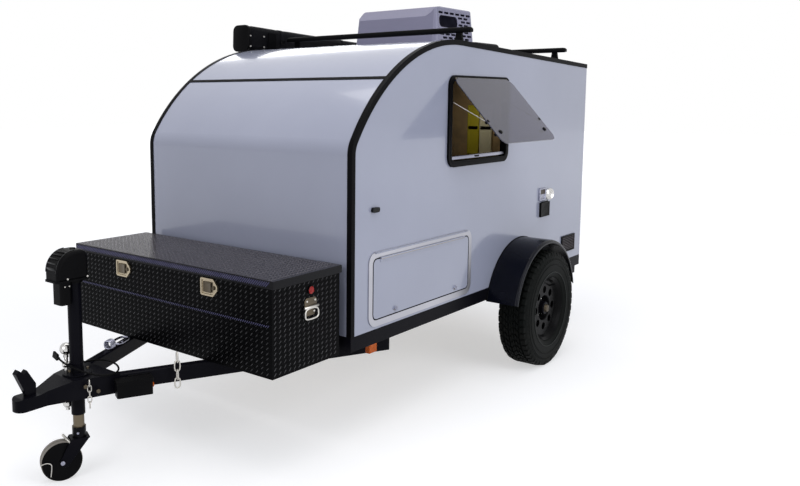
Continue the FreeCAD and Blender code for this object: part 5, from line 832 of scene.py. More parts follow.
class Workpiece:
    """A piece on the bench, started from a primitive and shaped with Blender's own tools."""

    def __init__(self, obj: bpy.types.Object) -> None:
        """Take up a piece."""
        self.obj = obj

    @staticmethod
    def bench() -> None:
        """Leave edit mode and deselect every object."""
        if bpy.context.mode != "OBJECT":
            bpy.ops.object.mode_set(mode="OBJECT")
        bpy.ops.object.select_all(action="DESELECT")

    @classmethod
    def started(cls, name: str) -> "Workpiece":
        """Take up the primitive just added, with its place put into its mesh.

        Args:
            name: the piece's name.

        Returns:
            The piece.
        """
        obj = bpy.context.active_object
        obj.name = name
        obj.data.name = name
        bpy.ops.object.transform_apply(location=True, rotation=True, scale=True)
        return cls(obj)

    @classmethod
    def block(cls, name: str, centre: Point, size: Point, turn: Point = (0.0, 0.0, 0.0)) -> "Workpiece":
        """Start from a block.

        Args:
            name: the piece's name.
            centre: the block's middle.
            size: its length along each axis.
            turn: its turn about each axis, in degrees.

        Returns:
            The piece.
        """
        cls.bench()
        bpy.ops.mesh.primitive_cube_add(
            size=1.0, location=centre, scale=size, rotation=tuple(math.radians(a) for a in turn)
        )
        return cls.started(name)

    @classmethod
    def rod(
        cls, name: str, start: Point, end: Point, radius: float, tip: float | None = None, sides: int = 20
    ) -> "Workpiece":
        """Start from a rod between two points.

        Args:
            name: the piece's name.
            start: the middle of its first end.
            end: the middle of its last end.
            radius: its radius at the first end.
            tip: its radius at the last end, the same where it isn't given.
            sides: how many sides it has.

        Returns:
            The piece.
        """
        first, last = Vector(start), Vector(end)
        along = last - first
        cls.bench()
        bpy.ops.mesh.primitive_cone_add(
            vertices=sides, radius1=radius, radius2=radius if tip is None else tip, depth=along.length,
            location=(first + last) / 2.0, rotation=along.to_track_quat("Z", "Y").to_euler(),
        )
        return cls.started(name)

    @classmethod
    def turned(
        cls, name: str, centre: Point, axis: Point, profile: list[Pair], steps: int = 36,
        closed: bool = False,
    ) -> "Workpiece":
        """Turn a piece on an axis, as on a lathe.

        Args:
            name: the piece's name.
            centre: the point on the axis that the profile is measured from.
            axis: the axis's direction.
            profile: distance along the axis and radius, point by point.
            steps: how many flats go round.
            closed: whether the last point joins the first.

        Returns:
            The piece.
        """
        way = Vector(axis).normalized()
        out = way.orthogonal().normalized()
        line = [Vector(centre) + way * along + out * radius for along, radius in profile]
        if closed:
            line.append(line[0])
        cls.bench()
        bpy.ops.mesh.primitive_plane_add(size=0.001, location=line[0])
        piece = cls.started(name)
        piece.edit("VERT")
        bpy.ops.mesh.select_all(action="SELECT")
        bpy.ops.mesh.merge(type="CENTER")
        for first, last in zip(line, line[1:]):
            bpy.ops.mesh.extrude_vertices_move(TRANSFORM_OT_translate={"value": last - first})
        bpy.ops.mesh.select_all(action="SELECT")
        bpy.ops.mesh.spin(steps=steps, angle=math.tau, center=centre, axis=way)
        return piece.mended()

    @classmethod
    def tube(cls, name: str, line: list[Point], radius: float, loop: bool = False) -> "Workpiece":
        """Bend a round bar or wire along a line.

        Args:
            name: the piece's name.
            line: the points that steer its middle.
            radius: its radius.
            loop: whether it closes on itself.

        Returns:
            The piece.
        """
        cls.bench()
        data = bpy.data.curves.new(name, "CURVE")
        data.dimensions = "3D"
        data.bevel_depth = radius
        data.bevel_resolution = 3
        data.resolution_u = 8
        data.use_fill_caps = not loop
        spline = data.splines.new("NURBS")
        spline.points.add(len(line) - 1)
        for point, place in zip(spline.points, line):
            point.co = (*place, 1.0)
        spline.order_u = 3
        spline.use_cyclic_u = loop
        spline.use_endpoint_u = not loop
        obj = bpy.data.objects.new(name, data)
        bpy.context.scene.collection.objects.link(obj)
        obj.select_set(True)
        bpy.context.view_layer.objects.active = obj
        bpy.ops.object.convert(target="MESH")
        return cls(bpy.context.active_object)

    def edit(self, kind: str = "FACE") -> bmesh.types.BMesh:
        """Open the piece in edit mode with nothing selected.

        Args:
            kind: what is selected next, VERT, EDGE or FACE.

        Returns:
            The open mesh.
        """
        if bpy.context.mode != "EDIT_MESH" or bpy.context.view_layer.objects.active != self.obj:
            self.bench()
            bpy.context.view_layer.objects.active = self.obj
            self.obj.select_set(True)
            bpy.ops.object.mode_set(mode="EDIT")
        bpy.ops.mesh.select_mode(type=kind)
        bpy.ops.mesh.select_all(action="DESELECT")
        return bmesh.from_edit_mesh(self.obj.data)

    def faces(self, test: Test) -> "Workpiece":
        """Select the faces that pass a test on their middle and normal."""
        for face in self.edit("FACE").faces:
            face.select_set(test(face.calc_center_median(), face.normal))
        bmesh.update_edit_mesh(self.obj.data)
        return self

    def facing(self, way: Way, least: float = 0.5) -> "Workpiece":
        """Select the faces that look one way."""
        return self.faces(lambda middle, normal: normal.dot(way.line) > least)

    def points(self, test: Callable[[Vector], bool]) -> "Workpiece":
        """Select the points that pass a test on their place."""
        mesh = self.edit("VERT")
        for point in mesh.verts:
            point.select_set(test(point.co))
        mesh.select_flush(True)
        bmesh.update_edit_mesh(self.obj.data)
        return self

    def inset(self, width: float, depth: float = 0.0) -> "Workpiece":
        """Inset the selected faces."""
        bpy.ops.mesh.inset(thickness=width, depth=depth)
        return self

    def slide(self, step: Point) -> "Workpiece":
        """Move the selection by a step."""
        bpy.ops.transform.translate(value=step)
        return self

    def grow(self, scale: Point, centre: Point) -> "Workpiece":
        """Scale the selection about a point."""
        bpy.ops.transform.resize(value=scale, center_override=centre)
        return self

    def cut(self, place: Point, normal: Point) -> "Workpiece":
        """Cut a new ring of edges through the whole piece."""
        self.edit("FACE")
        bpy.ops.mesh.select_all(action="SELECT")
        bpy.ops.mesh.bisect(plane_co=place, plane_no=normal)
        return self

    def ring(self, count: int, centre: Point, axis: Point) -> "Workpiece":
        """Repeat the piece evenly round an axis.

        Args:
            count: how many there are in the end.
            centre: a point on the axis.
            axis: the axis's direction.

        Returns:
            The piece.
        """
        self.edit("VERT")
        bpy.ops.mesh.select_all(action="SELECT")
        turn = math.tau * (count - 1) / count
        bpy.ops.mesh.spin(steps=count - 1, dupli=True, angle=turn, center=centre, axis=axis)
        return self

    def mended(self) -> "Workpiece":
        """Merge doubled points and turn every face outwards."""
        self.edit("VERT")
        bpy.ops.mesh.select_all(action="SELECT")
        bpy.ops.mesh.remove_doubles(threshold=WELD)
        bpy.ops.mesh.normals_make_consistent(inside=False)
        return self

    def modify(self, kind: str, **settings) -> "Workpiece":
        """Add one modifier and apply it.

        Args:
            kind: the modifier's type.
            settings: its own settings.

        Returns:
            The piece.
        """
        self.bench()
        bpy.context.view_layer.objects.active = self.obj
        self.obj.select_set(True)
        change = self.obj.modifiers.new(kind.lower(), kind)
        for key, value in settings.items():
            setattr(change, key, value)
        bpy.ops.object.modifier_apply(modifier=change.name)
        return self

    def eased(self, width: float, segments: int = 2) -> "Workpiece":
        """Round the piece's sharp edges."""
        return self.modify(
            "BEVEL", width=width, segments=segments, limit_method="ANGLE", angle_limit=SHARP_EDGE
        )

    def row(self, count: int, step: Vector) -> "Workpiece":
        """Repeat the piece in a row."""
        return self.modify(
            "ARRAY", count=count, use_relative_offset=False, use_constant_offset=True,
            constant_offset_displace=step,
        )

    def shaped(self, move: Callable[[Vector], Vector]) -> "Workpiece":
        """Move every point by hand, as one function of its place says."""
        for point in self.edit("VERT").verts:
            point.co = move(point.co)
        bmesh.update_edit_mesh(self.obj.data)
        return self

    def trimmed(self, place: Point, normal: Point) -> "Workpiece":
        """Cut off what lies on the side that the normal points to and close the cut."""
        self.edit("FACE")
        bpy.ops.mesh.select_all(action="SELECT")
        bpy.ops.mesh.bisect(plane_co=place, plane_no=normal, use_fill=True, clear_outer=True)
        return self

    def rounded(self, way: Vector, corner: float, segments: int) -> "Workpiece":
        """Round the edges that run along one direction.

        Args:
            way: the direction.
            corner: the radius of the rounded edges.
            segments: how many flats make one of them.

        Returns:
            The piece.
        """
        for edge in self.edit("EDGE").edges:
            run = (edge.verts[1].co - edge.verts[0].co).normalized()
            edge.select_set(abs(run.dot(way)) > 0.9)
        bmesh.update_edit_mesh(self.obj.data)
        bpy.ops.mesh.bevel(offset=corner, segments=segments, affect="EDGES")
        return self

    def hooped(self, corner: float, width: float) -> "Workpiece":
        """Make a flat block that faces X into a hoop with rounded corners."""
        return self.rounded(Way.LEFT.line, corner, 6).opened(Way.LEFT.line, width)

    def opened(self, way: Vector, width: float) -> "Workpiece":
        """Open a block from face to face, leaving a rim.

        Args:
            way: the direction that the two faces look in.
            width: how wide the rim is.

        Returns:
            The piece.
        """
        self.faces(lambda middle, normal: abs(normal.dot(way)) > 0.9).inset(width)
        bpy.ops.mesh.bridge_edge_loops()
        return self.mended()

    def carved(self, cutter: "Workpiece") -> "Workpiece":
        """Cut another piece's shape out of this one and use that piece up."""
        self.modify("BOOLEAN", object=cutter.obj, operation="DIFFERENCE", solver="EXACT")
        bpy.data.objects.remove(cutter.obj)
        return self

    def copy(self, name: str, turn: Matrix) -> "Workpiece":
        """Copy the piece with its own mesh.

        Args:
            name: the copy's name.
            turn: the move that takes the piece to the copy's place.

        Returns:
            The copy.
        """
        self.bench()
        twin = self.obj.copy()
        twin.data = self.obj.data.copy()
        twin.name = name
        bpy.context.scene.collection.objects.link(twin)
        twin.data.transform(turn)
        made = Workpiece(twin)
        return made.mended() if turn.determinant() < 0.0 else made

    @staticmethod
    def gathered(pieces: list["Workpiece"]) -> "Workpiece":
        """Join a list of pieces into its first one."""
        return pieces[0].join(*pieces[1:])

    def join(self, *others: "Workpiece") -> "Workpiece":
        """Join other pieces into this one."""
        self.bench()
        for piece in (self, *others):
            piece.obj.select_set(True)
        bpy.context.view_layer.objects.active = self.obj
        bpy.ops.object.join()
        return self

    def done(self, body: str, slot: str, finish: Finish, smooth: float = SMOOTH_UP_TO) -> "Workpiece":
        """Finish the piece and hand it over.

        Args:
            body: the body that it rides on.
            slot: the record's material slot; not used.
            finish: its surface finish.
            smooth: the angle up to which edges are shaded smooth, in degrees.

        Returns:
            The piece.
        """
        self.bench()
        self.obj.select_set(True)
        bpy.context.view_layer.objects.active = self.obj
        bpy.ops.object.shade_smooth_by_angle(angle=math.radians(smooth))
        self.obj.data.materials.clear()
        self.obj.data.materials.append(finish.material())
        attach(self.obj, body)
        log.info("made %s", self.obj.name)
        return self

    def paired(
        self, body: str, slot: str, finish: Finish, smooth: float = SMOOTH_UP_TO
    ) -> tuple["Workpiece", "Workpiece"]:
        """Finish the left piece and its mirrored copy on the right.

        Args:
            body: the body of both, or its name with {side} in it.
            slot: the record's material slot.
            finish: their surface finish.
            smooth: the angle up to which edges are shaded smooth, in degrees.

        Returns:
            The left piece and the right one.
        """
        base = self.obj.name
        twin = self.copy(f"{base}_{Side.RIGHT.word}", MIRROR)
        self.obj.name = f"{base}_{Side.LEFT.word}"
        for piece, side in ((self, Side.LEFT), (twin, Side.RIGHT)):
            piece.done(body.format(side=side.word), slot, finish, smooth)
        return self, twin


@dataclass(frozen=True)
class Screw:
    """A screw's or bolt's head, by its sizes."""

    high: float
    radius: float
    tip: float
    sides: int = 14
    edge: float = 0.0

    def at(self, name: str, foot: Point, way: Vector) -> Workpiece:
        """Set one head.

        Args:
            name: the piece's name.
            foot: the middle of its foot.
            way: the direction that it looks in.

        Returns:
            The head.
        """
        top = tuple(Vector(foot) + way * self.high)
        head = Workpiece.rod(name, foot, top, self.radius, self.tip, self.sides)
        return head.eased(self.edge, 1) if self.edge else head

    def at_each(self, name: str, feet: list[Point], way: Vector) -> Workpiece:
        """Set a head at each foot and join them."""
        return Workpiece.gathered([self.at(name, foot, way) for foot in feet])


@dataclass
class Tyres:
    """The two all-terrain tyres: a turned carcass under rows of moulded tread blocks."""

    hub: Point = (0.9015, 1.0665, 0.376)
    pitches: int = 52
    groove_radius: float = 0.3662
    tread_radius: float = 0.3758
    row_offset: float = 0.0345
    block: Point = (0.0126, 0.032, 0.012)
    skew: float = 0.006
    lug: Point = (0.03, 0.033, 0.036)
    rib_radius: float = 0.326
    rib_offset: float = 0.0962
    ribs: int = 88
    rib: Point = (0.0026, 0.0026, 0.013)
    block_half_gap: float = 0.0071
    block_stagger: float = 0.0075
    block_edge: float = 0.0009
    lug_offset: float = 0.0758
    lug_drop: float = 0.0006
    lug_flare: float = 0.0034
    lug_slope: Pair = (0.0085, 0.0052)
    lug_border: float = 0.0035
    lug_dish: float = 0.0012
    short_lug: float = 0.011
    flats: int = 72
    ring_radii: Row = (0.242, 0.2915)
    ring: Outline = ((0.0002, -0.0022), (0.005, -0.001), (0.005, 0.001), (0.0002, 0.0022))

    def outline(self) -> list[Pair]:
        """Return the carcass's closed outline, offset from the middle plane and radius."""
        half = [
            (0.0615, 0.1965), (0.0755, 0.205), (0.088, 0.215), (0.0945, 0.232), (0.0962, 0.237),
            (0.099, 0.239), (0.0992, 0.244), (0.098, 0.246), (0.0996, 0.266), (0.0994, 0.287),
            (0.1012, 0.289), (0.1012, 0.293), (0.099, 0.295), (0.0982, 0.312), (0.0996, 0.314),
            (0.0992, 0.317), (0.0966, 0.3195), (0.094, 0.337), (0.09, 0.352), (0.0856, 0.362),
            (0.079, self.groove_radius),
        ]
        return [(-side, r) for side, r in half] + [(side, r) for side, r in reversed(half)]

    def tread_block(self, offset: float, lean: float, shift: float) -> Workpiece:
        """Shape one tread block at the top of the left tyre.

        Args:
            offset: its middle's distance from the tyre's middle plane.
            lean: which way it slants, 1 or -1.
            shift: how far it stands along the tread.

        Returns:
            The block.
        """
        x, y, z = self.hub
        high = z + self.tread_radius - self.block[2] / 2.0
        piece = Workpiece.block("tread_block", (x + offset, y + shift, high), self.block)
        piece.facing(Way.LEFT).slide((0.0, lean * self.skew, 0.0))
        piece.facing(Way.RIGHT).slide((0.0, -lean * self.skew, 0.0))
        piece.facing(Way.UP).grow((0.9, 0.95, 1.0), (x + offset, y + shift, high))
        return piece

    def shoulder_lug(self, sign: int, shift: float, cut_back: float) -> Workpiece:
        """Shape one lug that wraps over the tyre's shoulder.

        Args:
            sign: 1 for the outer shoulder and -1 for the inner one.
            shift: how far it stands along the tread.
            cut_back: how much shorter its foot is down the sidewall.

        Returns:
            The lug.
        """
        x, y, z = self.hub
        wide, long, deep = self.lug
        deep -= cut_back
        centre = (x + sign * self.lug_offset, y + shift, z + self.tread_radius - self.lug_drop - deep / 2.0)
        piece = Workpiece.block("shoulder_lug", centre, (wide, long, deep))
        back, down = self.lug_slope
        piece.faces(lambda middle, normal: normal.x * sign > 0.5).slide((sign * self.lug_flare, 0.0, 0.0))
        crown = piece.points(lambda place: (place.x - centre[0]) * sign > 0.0 and place.z > centre[2])
        crown.slide((-sign * back, 0.0, -down))
        face = piece.faces(lambda middle, normal: normal.x * sign > 0.3).inset(self.lug_border)
        return face.slide((-sign * self.lug_dish, 0.0, 0.0))

    def tread(self) -> Workpiece:
        """Shape one pitch of the tread and repeat it round the tyre."""
        pieces: list[Workpiece] = []
        for row, offset in enumerate((-self.row_offset, 0.0, self.row_offset)):
            lean = 1.0 if row % 2 else -1.0
            for half in (-1.0, 1.0):
                place = offset + half * self.block_half_gap
                pieces.append(self.tread_block(place, lean, lean * half * self.block_stagger))
        blocks = Workpiece.gathered(pieces).eased(self.block_edge, 1)
        blocks.ring(self.pitches, self.hub, Way.LEFT.value)
        lugs: list[Workpiece] = []
        half_turn = math.pi * self.tread_radius / self.pitches
        for sign in (-1, 1):
            for shift, cut_back in ((-half_turn, 0.0), (half_turn, self.short_lug)):
                lugs.append(self.shoulder_lug(sign, shift, cut_back))
        return blocks.join(Workpiece.gathered(lugs).ring(self.pitches // 2, self.hub, Way.LEFT.value))

    def sidewall_ribs(self) -> Workpiece:
        """Shape the fine ribs that ring the outer sidewall."""
        x, y, z = self.hub
        high = z + self.rib_radius
        rib = Workpiece.block("sidewall_rib", (x + self.rib_offset, y, high), self.rib)
        rib.facing(Way.LEFT).grow((1.0, 0.5, 0.85), (x, y, high))
        return rib.ring(self.ribs, self.hub, Way.LEFT.value)

    def make(self) -> None:
        """Build both tyres."""
        way = Way.LEFT.value
        carcass = Workpiece.turned("all_terrain_tyre", self.hub, way, self.outline(), self.flats, True)
        tyre = carcass.join(self.tread(), self.sidewall_ribs())
        # raised rings on the sidewall, paler as painted highlight
        for number, radius in enumerate(self.ring_radii):
            profile = [(self.rib_offset + out, radius + step) for out, step in self.ring]
            highlight_ring = Workpiece.turned(f"sidewall_ring_{number}", self.hub, way, profile, self.flats, True)
            highlight_ring.paired("wheel_{side}", "tyre", Finishes.RUBBED)
        pair = tyre.paired("wheel_{side}", "tyre", Finishes.TYRE, 28.0)
        for piece, side in zip(pair, Side):
            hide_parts(f"tyre_{side.word}")


@dataclass
class WheelFittings:
    """Lug nuts, grease cap and valve on each rim."""

    hub: Point = (0.9015, 1.0665, 0.376)
    land: float = 0.9075
    bolt_circle: float = 0.059
    nuts: int = 5
    nut_radius: float = 0.0118
    nut_high: float = 0.017
    seat_span: Pair = (-0.001, 0.003)
    seat_wide: float = 0.003
    stud_high: float = 0.024
    stud_radius: float = 0.006
    cap_base: float = 0.962
    cap: Outline = (
        (0.0, 0.0), (0.0, 0.0265), (0.003, 0.028), (0.0045, 0.0262), (0.011, 0.025),
        (0.0165, 0.0215), (0.019, 0.015), (0.0195, 0.0105), (0.0178, 0.0095), (0.0178, 0.0),
    )
    valve_angle: float = 62.0
    valve_ends: Outline = ((0.952, 0.155), (0.982, 0.167))
    valve_radii: Pair = (0.0055, 0.004)
    valve_cap_radii: Pair = (0.005, 0.0044)
    valve_cap_share: float = 0.35

    def on_bolt(self, name: str, span: Pair, radius: float, **more: float) -> Workpiece:
        """Start a rod on the line of the top bolt.

        Args:
            name: the piece's name.
            span: how far its two ends stand out from the rim's land.
            radius: its radius.
            more: the rod's tip and sides.

        Returns:
            The rod.
        """
        place = (self.hub[1], self.hub[2] + self.bolt_circle)
        ends = [(self.land + out, *place) for out in span]
        return Workpiece.rod(name, *ends, radius, **more)

    def valve(self) -> Workpiece:
        """Build the tyre valve with its cap."""
        turn = math.radians(self.valve_angle)
        _, y, z = self.hub
        foot, head = (
            (x, y + reach * math.cos(turn), z + reach * math.sin(turn)) for x, reach in self.valve_ends
        )
        stem = Workpiece.rod("valve", foot, head, *self.valve_radii, 14)
        tip = tuple(h + (h - f) * self.valve_cap_share for h, f in zip(head, foot))
        return stem.join(Workpiece.rod("valve_cap", head, tip, *self.valve_cap_radii, 10).eased(0.0008, 1))

    def make(self) -> None:
        """Build the fittings of both wheels."""
        nut = self.on_bolt("lug_nuts", (0.0, self.nut_high), self.nut_radius, sides=6).eased(0.0012)
        wide = self.nut_radius + self.seat_wide
        seat = self.on_bolt("nut_seat", self.seat_span, wide, tip=self.nut_radius)
        stud = self.on_bolt("stud", (0.0, self.stud_high), self.stud_radius, sides=12).eased(0.001, 1)
        nuts = nut.join(seat, stud).ring(self.nuts, self.hub, Way.LEFT.value)
        nuts.paired("wheel_{side}", "chrome", Finishes.CHROME)
        place = (self.cap_base, *self.hub[1:])
        cap = Workpiece.turned("grease_cap", place, Way.LEFT.value, self.cap)
        cap.paired("wheel_{side}", "frame_black", Finishes.HARDWARE)
        self.valve().paired("wheel_{side}", "tyre", Finishes.RUBBER)


@dataclass
class ChestPlate:
    """Raised diamond lugs on the front chest, and its reflectors."""

    lug_long: float = 0.0235
    lug_wide: float = 0.0052
    lug_high: float = 0.0014
    pitch_across: float = 0.033
    pitch_up: float = 0.024
    half_width: float = 0.735
    front: float = -1.3015
    lid_front: float = -1.3095
    lid_top: float = 0.935
    low: float = 0.4925
    across: int = 44
    up: int = 17
    deep: int = 14
    lid_across: int = 45
    lid_deep: int = 20
    rope_pitch: float = 0.0132
    bead_start: Point = (-0.725, -1.3045, 0.724)
    bead_run: float = 1.452
    bead_lug: Point = (0.019, 0.005, 0.0014)
    edge_start: Point = (-0.738, -1.3095, 0.9175)
    edge_run: float = 1.478
    edge_lug: Point = (0.042, 0.0062, 0.0014)
    reflector_place: Point = (0.735, -1.038, 0.847)
    reflector: Outline = ((0.0, 0.0), (0.0, 0.019), (0.0045, 0.019), (0.007, 0.0165), (0.008, 0.0))
    reflector_ring: Outline = (
        (0.0, 0.019), (0.0, 0.0225), (0.0055, 0.022), (0.0062, 0.02), (0.0058, 0.0188),
    )

    def lug(self, name: str, place: Vector, across: Vector, up: Vector, lean: int, size: Point) -> Workpiece:
        """Shape one lens-shaped lug.

        Args:
            name: the piece's name.
            place: the point of the plate that it stands on.
            across: the plate's first direction.
            up: the plate's second direction.
            lean: 1 for a lug that rises along across and -1 for one that falls.
            size: its length, width and height.

        Returns:
            The lug.
        """
        out = across.cross(up)
        long = (across + up * lean).normalized()
        turn = Matrix((long, out.cross(long), out)).transposed().to_euler()
        Workpiece.bench()
        bpy.ops.mesh.primitive_cone_add(
            vertices=8, radius1=size[0] / 2.0, radius2=size[0] * 0.36, depth=size[2],
            location=place + out * (size[2] * 0.4), rotation=turn, scale=(1.0, size[1] / size[0], 1.0),
        )
        return Workpiece.started(name)

    def plate(
        self, name: str, corner: Point, across: Point, up: Point, columns: int, rows: int
    ) -> tuple[Workpiece, Workpiece]:
        """Cover one side of the chest with crossing lugs.

        Args:
            name: the piece's name.
            corner: the side's first corner.
            across: the direction of its rows.
            up: the direction of its columns.
            columns: how many lugs of one lean stand in a row.
            rows: how many rows of one lean there are.

        Returns:
            The rising lugs and the falling ones.
        """
        way, rise = Vector(across), Vector(up)
        size = (self.lug_long, self.lug_wide, self.lug_high)
        start = Vector(corner) + (way + rise) * (self.lug_long * 0.36)
        sets: list[Workpiece] = []
        for lean in (1, -1):
            shift = (way * self.pitch_across + rise * self.pitch_up) * (0.0 if lean > 0 else 0.5)
            piece = self.lug(f"{name}_{len(sets)}", start + shift, way, rise, lean, size)
            less = 0 if lean > 0 else 1
            piece.row(columns - less, way * self.pitch_across).row(rows - less, rise * self.pitch_up)
            sets.append(piece)
        return sets[0], sets[1]

    def rope(self, name: str, corner: Point, length: float, size: Point) -> Workpiece:
        """Lay one row of slanted lugs along a front edge.

        Args:
            name: the piece's name.
            corner: the middle of its first lug.
            length: the row's length.
            size: a lug's length, width and height.

        Returns:
            The row.
        """
        way = Way.LEFT.line
        piece = self.lug(name, Vector(corner), way, Way.UP.line, 1, size)
        return piece.row(int(length / self.rope_pitch), way * self.rope_pitch)

    def make(self) -> None:
        """Cover the chest's front, ends and lid."""
        half = self.half_width
        left, rear, up = Way.LEFT.value, Way.REAR.value, Way.UP.value
        corner = (-half + 0.012, self.front, self.low)
        front, front_dull = self.plate("chest_front_lugs", corner, left, up, self.across, self.up)
        # rising lugs take the painted glint colour, falling lugs the plate's black
        front.done("trailer", "chest_black", Finishes.LUG)
        front_dull.done("trailer", "chest_black", Finishes.CHEST)
        bead = self.rope("bead_lugs", self.bead_start, self.bead_run, self.bead_lug)
        # the bead's lugs carry the painted sky reflection colour
        bead.done("trailer", "chest_black", Finishes.EDGE_LUG)
        corner = (half, self.front + 0.01, self.low)
        end, end_dull = self.plate("chest_end_lugs", corner, rear, up, self.deep, self.up)
        # on the ends too, rising lugs carry the painted glint colour
        end.paired("trailer", "chest_black", Finishes.LUG)
        end_dull.paired("trailer", "chest_black", Finishes.CHEST)
        corner = (-half - 0.007, self.lid_front + 0.006, self.lid_top)
        top, top_other = self.plate("chest_lid_lugs", corner, left, rear, self.lid_across, self.lid_deep)
        edge = self.rope("lid_edge_lugs", self.edge_start, self.edge_run, self.edge_lug)
        # the lid edge's lugs carry the painted sky reflection colour
        edge.done("chest_lid", "chest_black", Finishes.EDGE_LUG)
        # lid lugs of both leans take the painted reflection colour
        top.join(top_other).done("chest_lid", "chest_black", Finishes.LID_LUG)
        red = Workpiece.turned("chest_reflector", self.reflector_place, left, self.reflector)
        red.paired("trailer", "lens_red", Finishes.RED)
        ring = Workpiece.turned(
            "reflector_ring", self.reflector_place, left, self.reflector_ring, closed=True
        )
        ring.paired("trailer", "port_black", Finishes.PORT)


@dataclass
class LampLead:
    """The lamp lead: from its gland on the coupler, round the jack tube, to its hung-up plug."""

    diameter: float = 0.009
    length: float = 0.641
    gland: Point = (-0.088, -1.7755, 0.498)
    route: tuple[Point, ...] = (
        (-0.088, -1.7755, 0.498), (-0.088, -1.7415, 0.4985), (-0.07, -1.7035, 0.503),
        (-0.034, -1.6715, 0.508), (0.014, -1.6535, 0.508), (0.066, -1.6515, 0.503),
        (0.112, -1.6695, 0.498), (0.146, -1.7055, 0.4955), (0.154, -1.7535, 0.496),
        (0.13, -1.7995, 0.502), (0.084, -1.8315, 0.514), (0.034, -1.8595, 0.53),
        (-0.018, -1.8735, 0.545), (-0.064, -1.8695, 0.556),
    )
    relief_sunk: float = 0.004
    relief: Outline = (
        (0.0, 0.0), (0.0, 0.0078), (0.006, 0.0076), (0.0068, 0.0062), (0.0088, 0.0062), (0.0096, 0.0072),
        (0.014, 0.0069), (0.0148, 0.0058), (0.0168, 0.0058), (0.0176, 0.0066), (0.022, 0.0061),
        (0.026, 0.005), (0.0262, 0.0),
    )

    def make(self, plug: bpy.types.Object) -> None:
        """Lay the lead and its strain relief.

        Args:
            plug: the plug's CAD node, which stays; not used.
        """
        data = bpy.data.curves.new("lamp_lead", "CURVE")
        data.dimensions = "3D"
        data.bevel_depth = self.diameter / 2.0
        data.bevel_resolution = 5
        data.resolution_u = 16
        data.use_fill_caps = True
        spline = data.splines.new("NURBS")
        spline.points.add(len(self.route) - 1)
        for point, place in zip(spline.points, self.route):
            point.co = (*place, 1.0)
        spline.order_u = 3
        spline.use_endpoint_u = True
        lead = bpy.data.objects.new("lamp_lead", data)
        bpy.context.scene.collection.objects.link(lead)
        data.materials.append(Finishes.RUBBER.material())
        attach(lead, "trailer")
        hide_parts("power_cable")
        x, y, z = self.gland
        foot = (x, y - self.relief_sunk, z)
        relief = Workpiece.turned("lead_relief", foot, Way.REAR.value, self.relief, steps=20)
        relief.done("trailer", "cable_black", Finishes.RUBBER)
        log.info("laid lamp_lead")


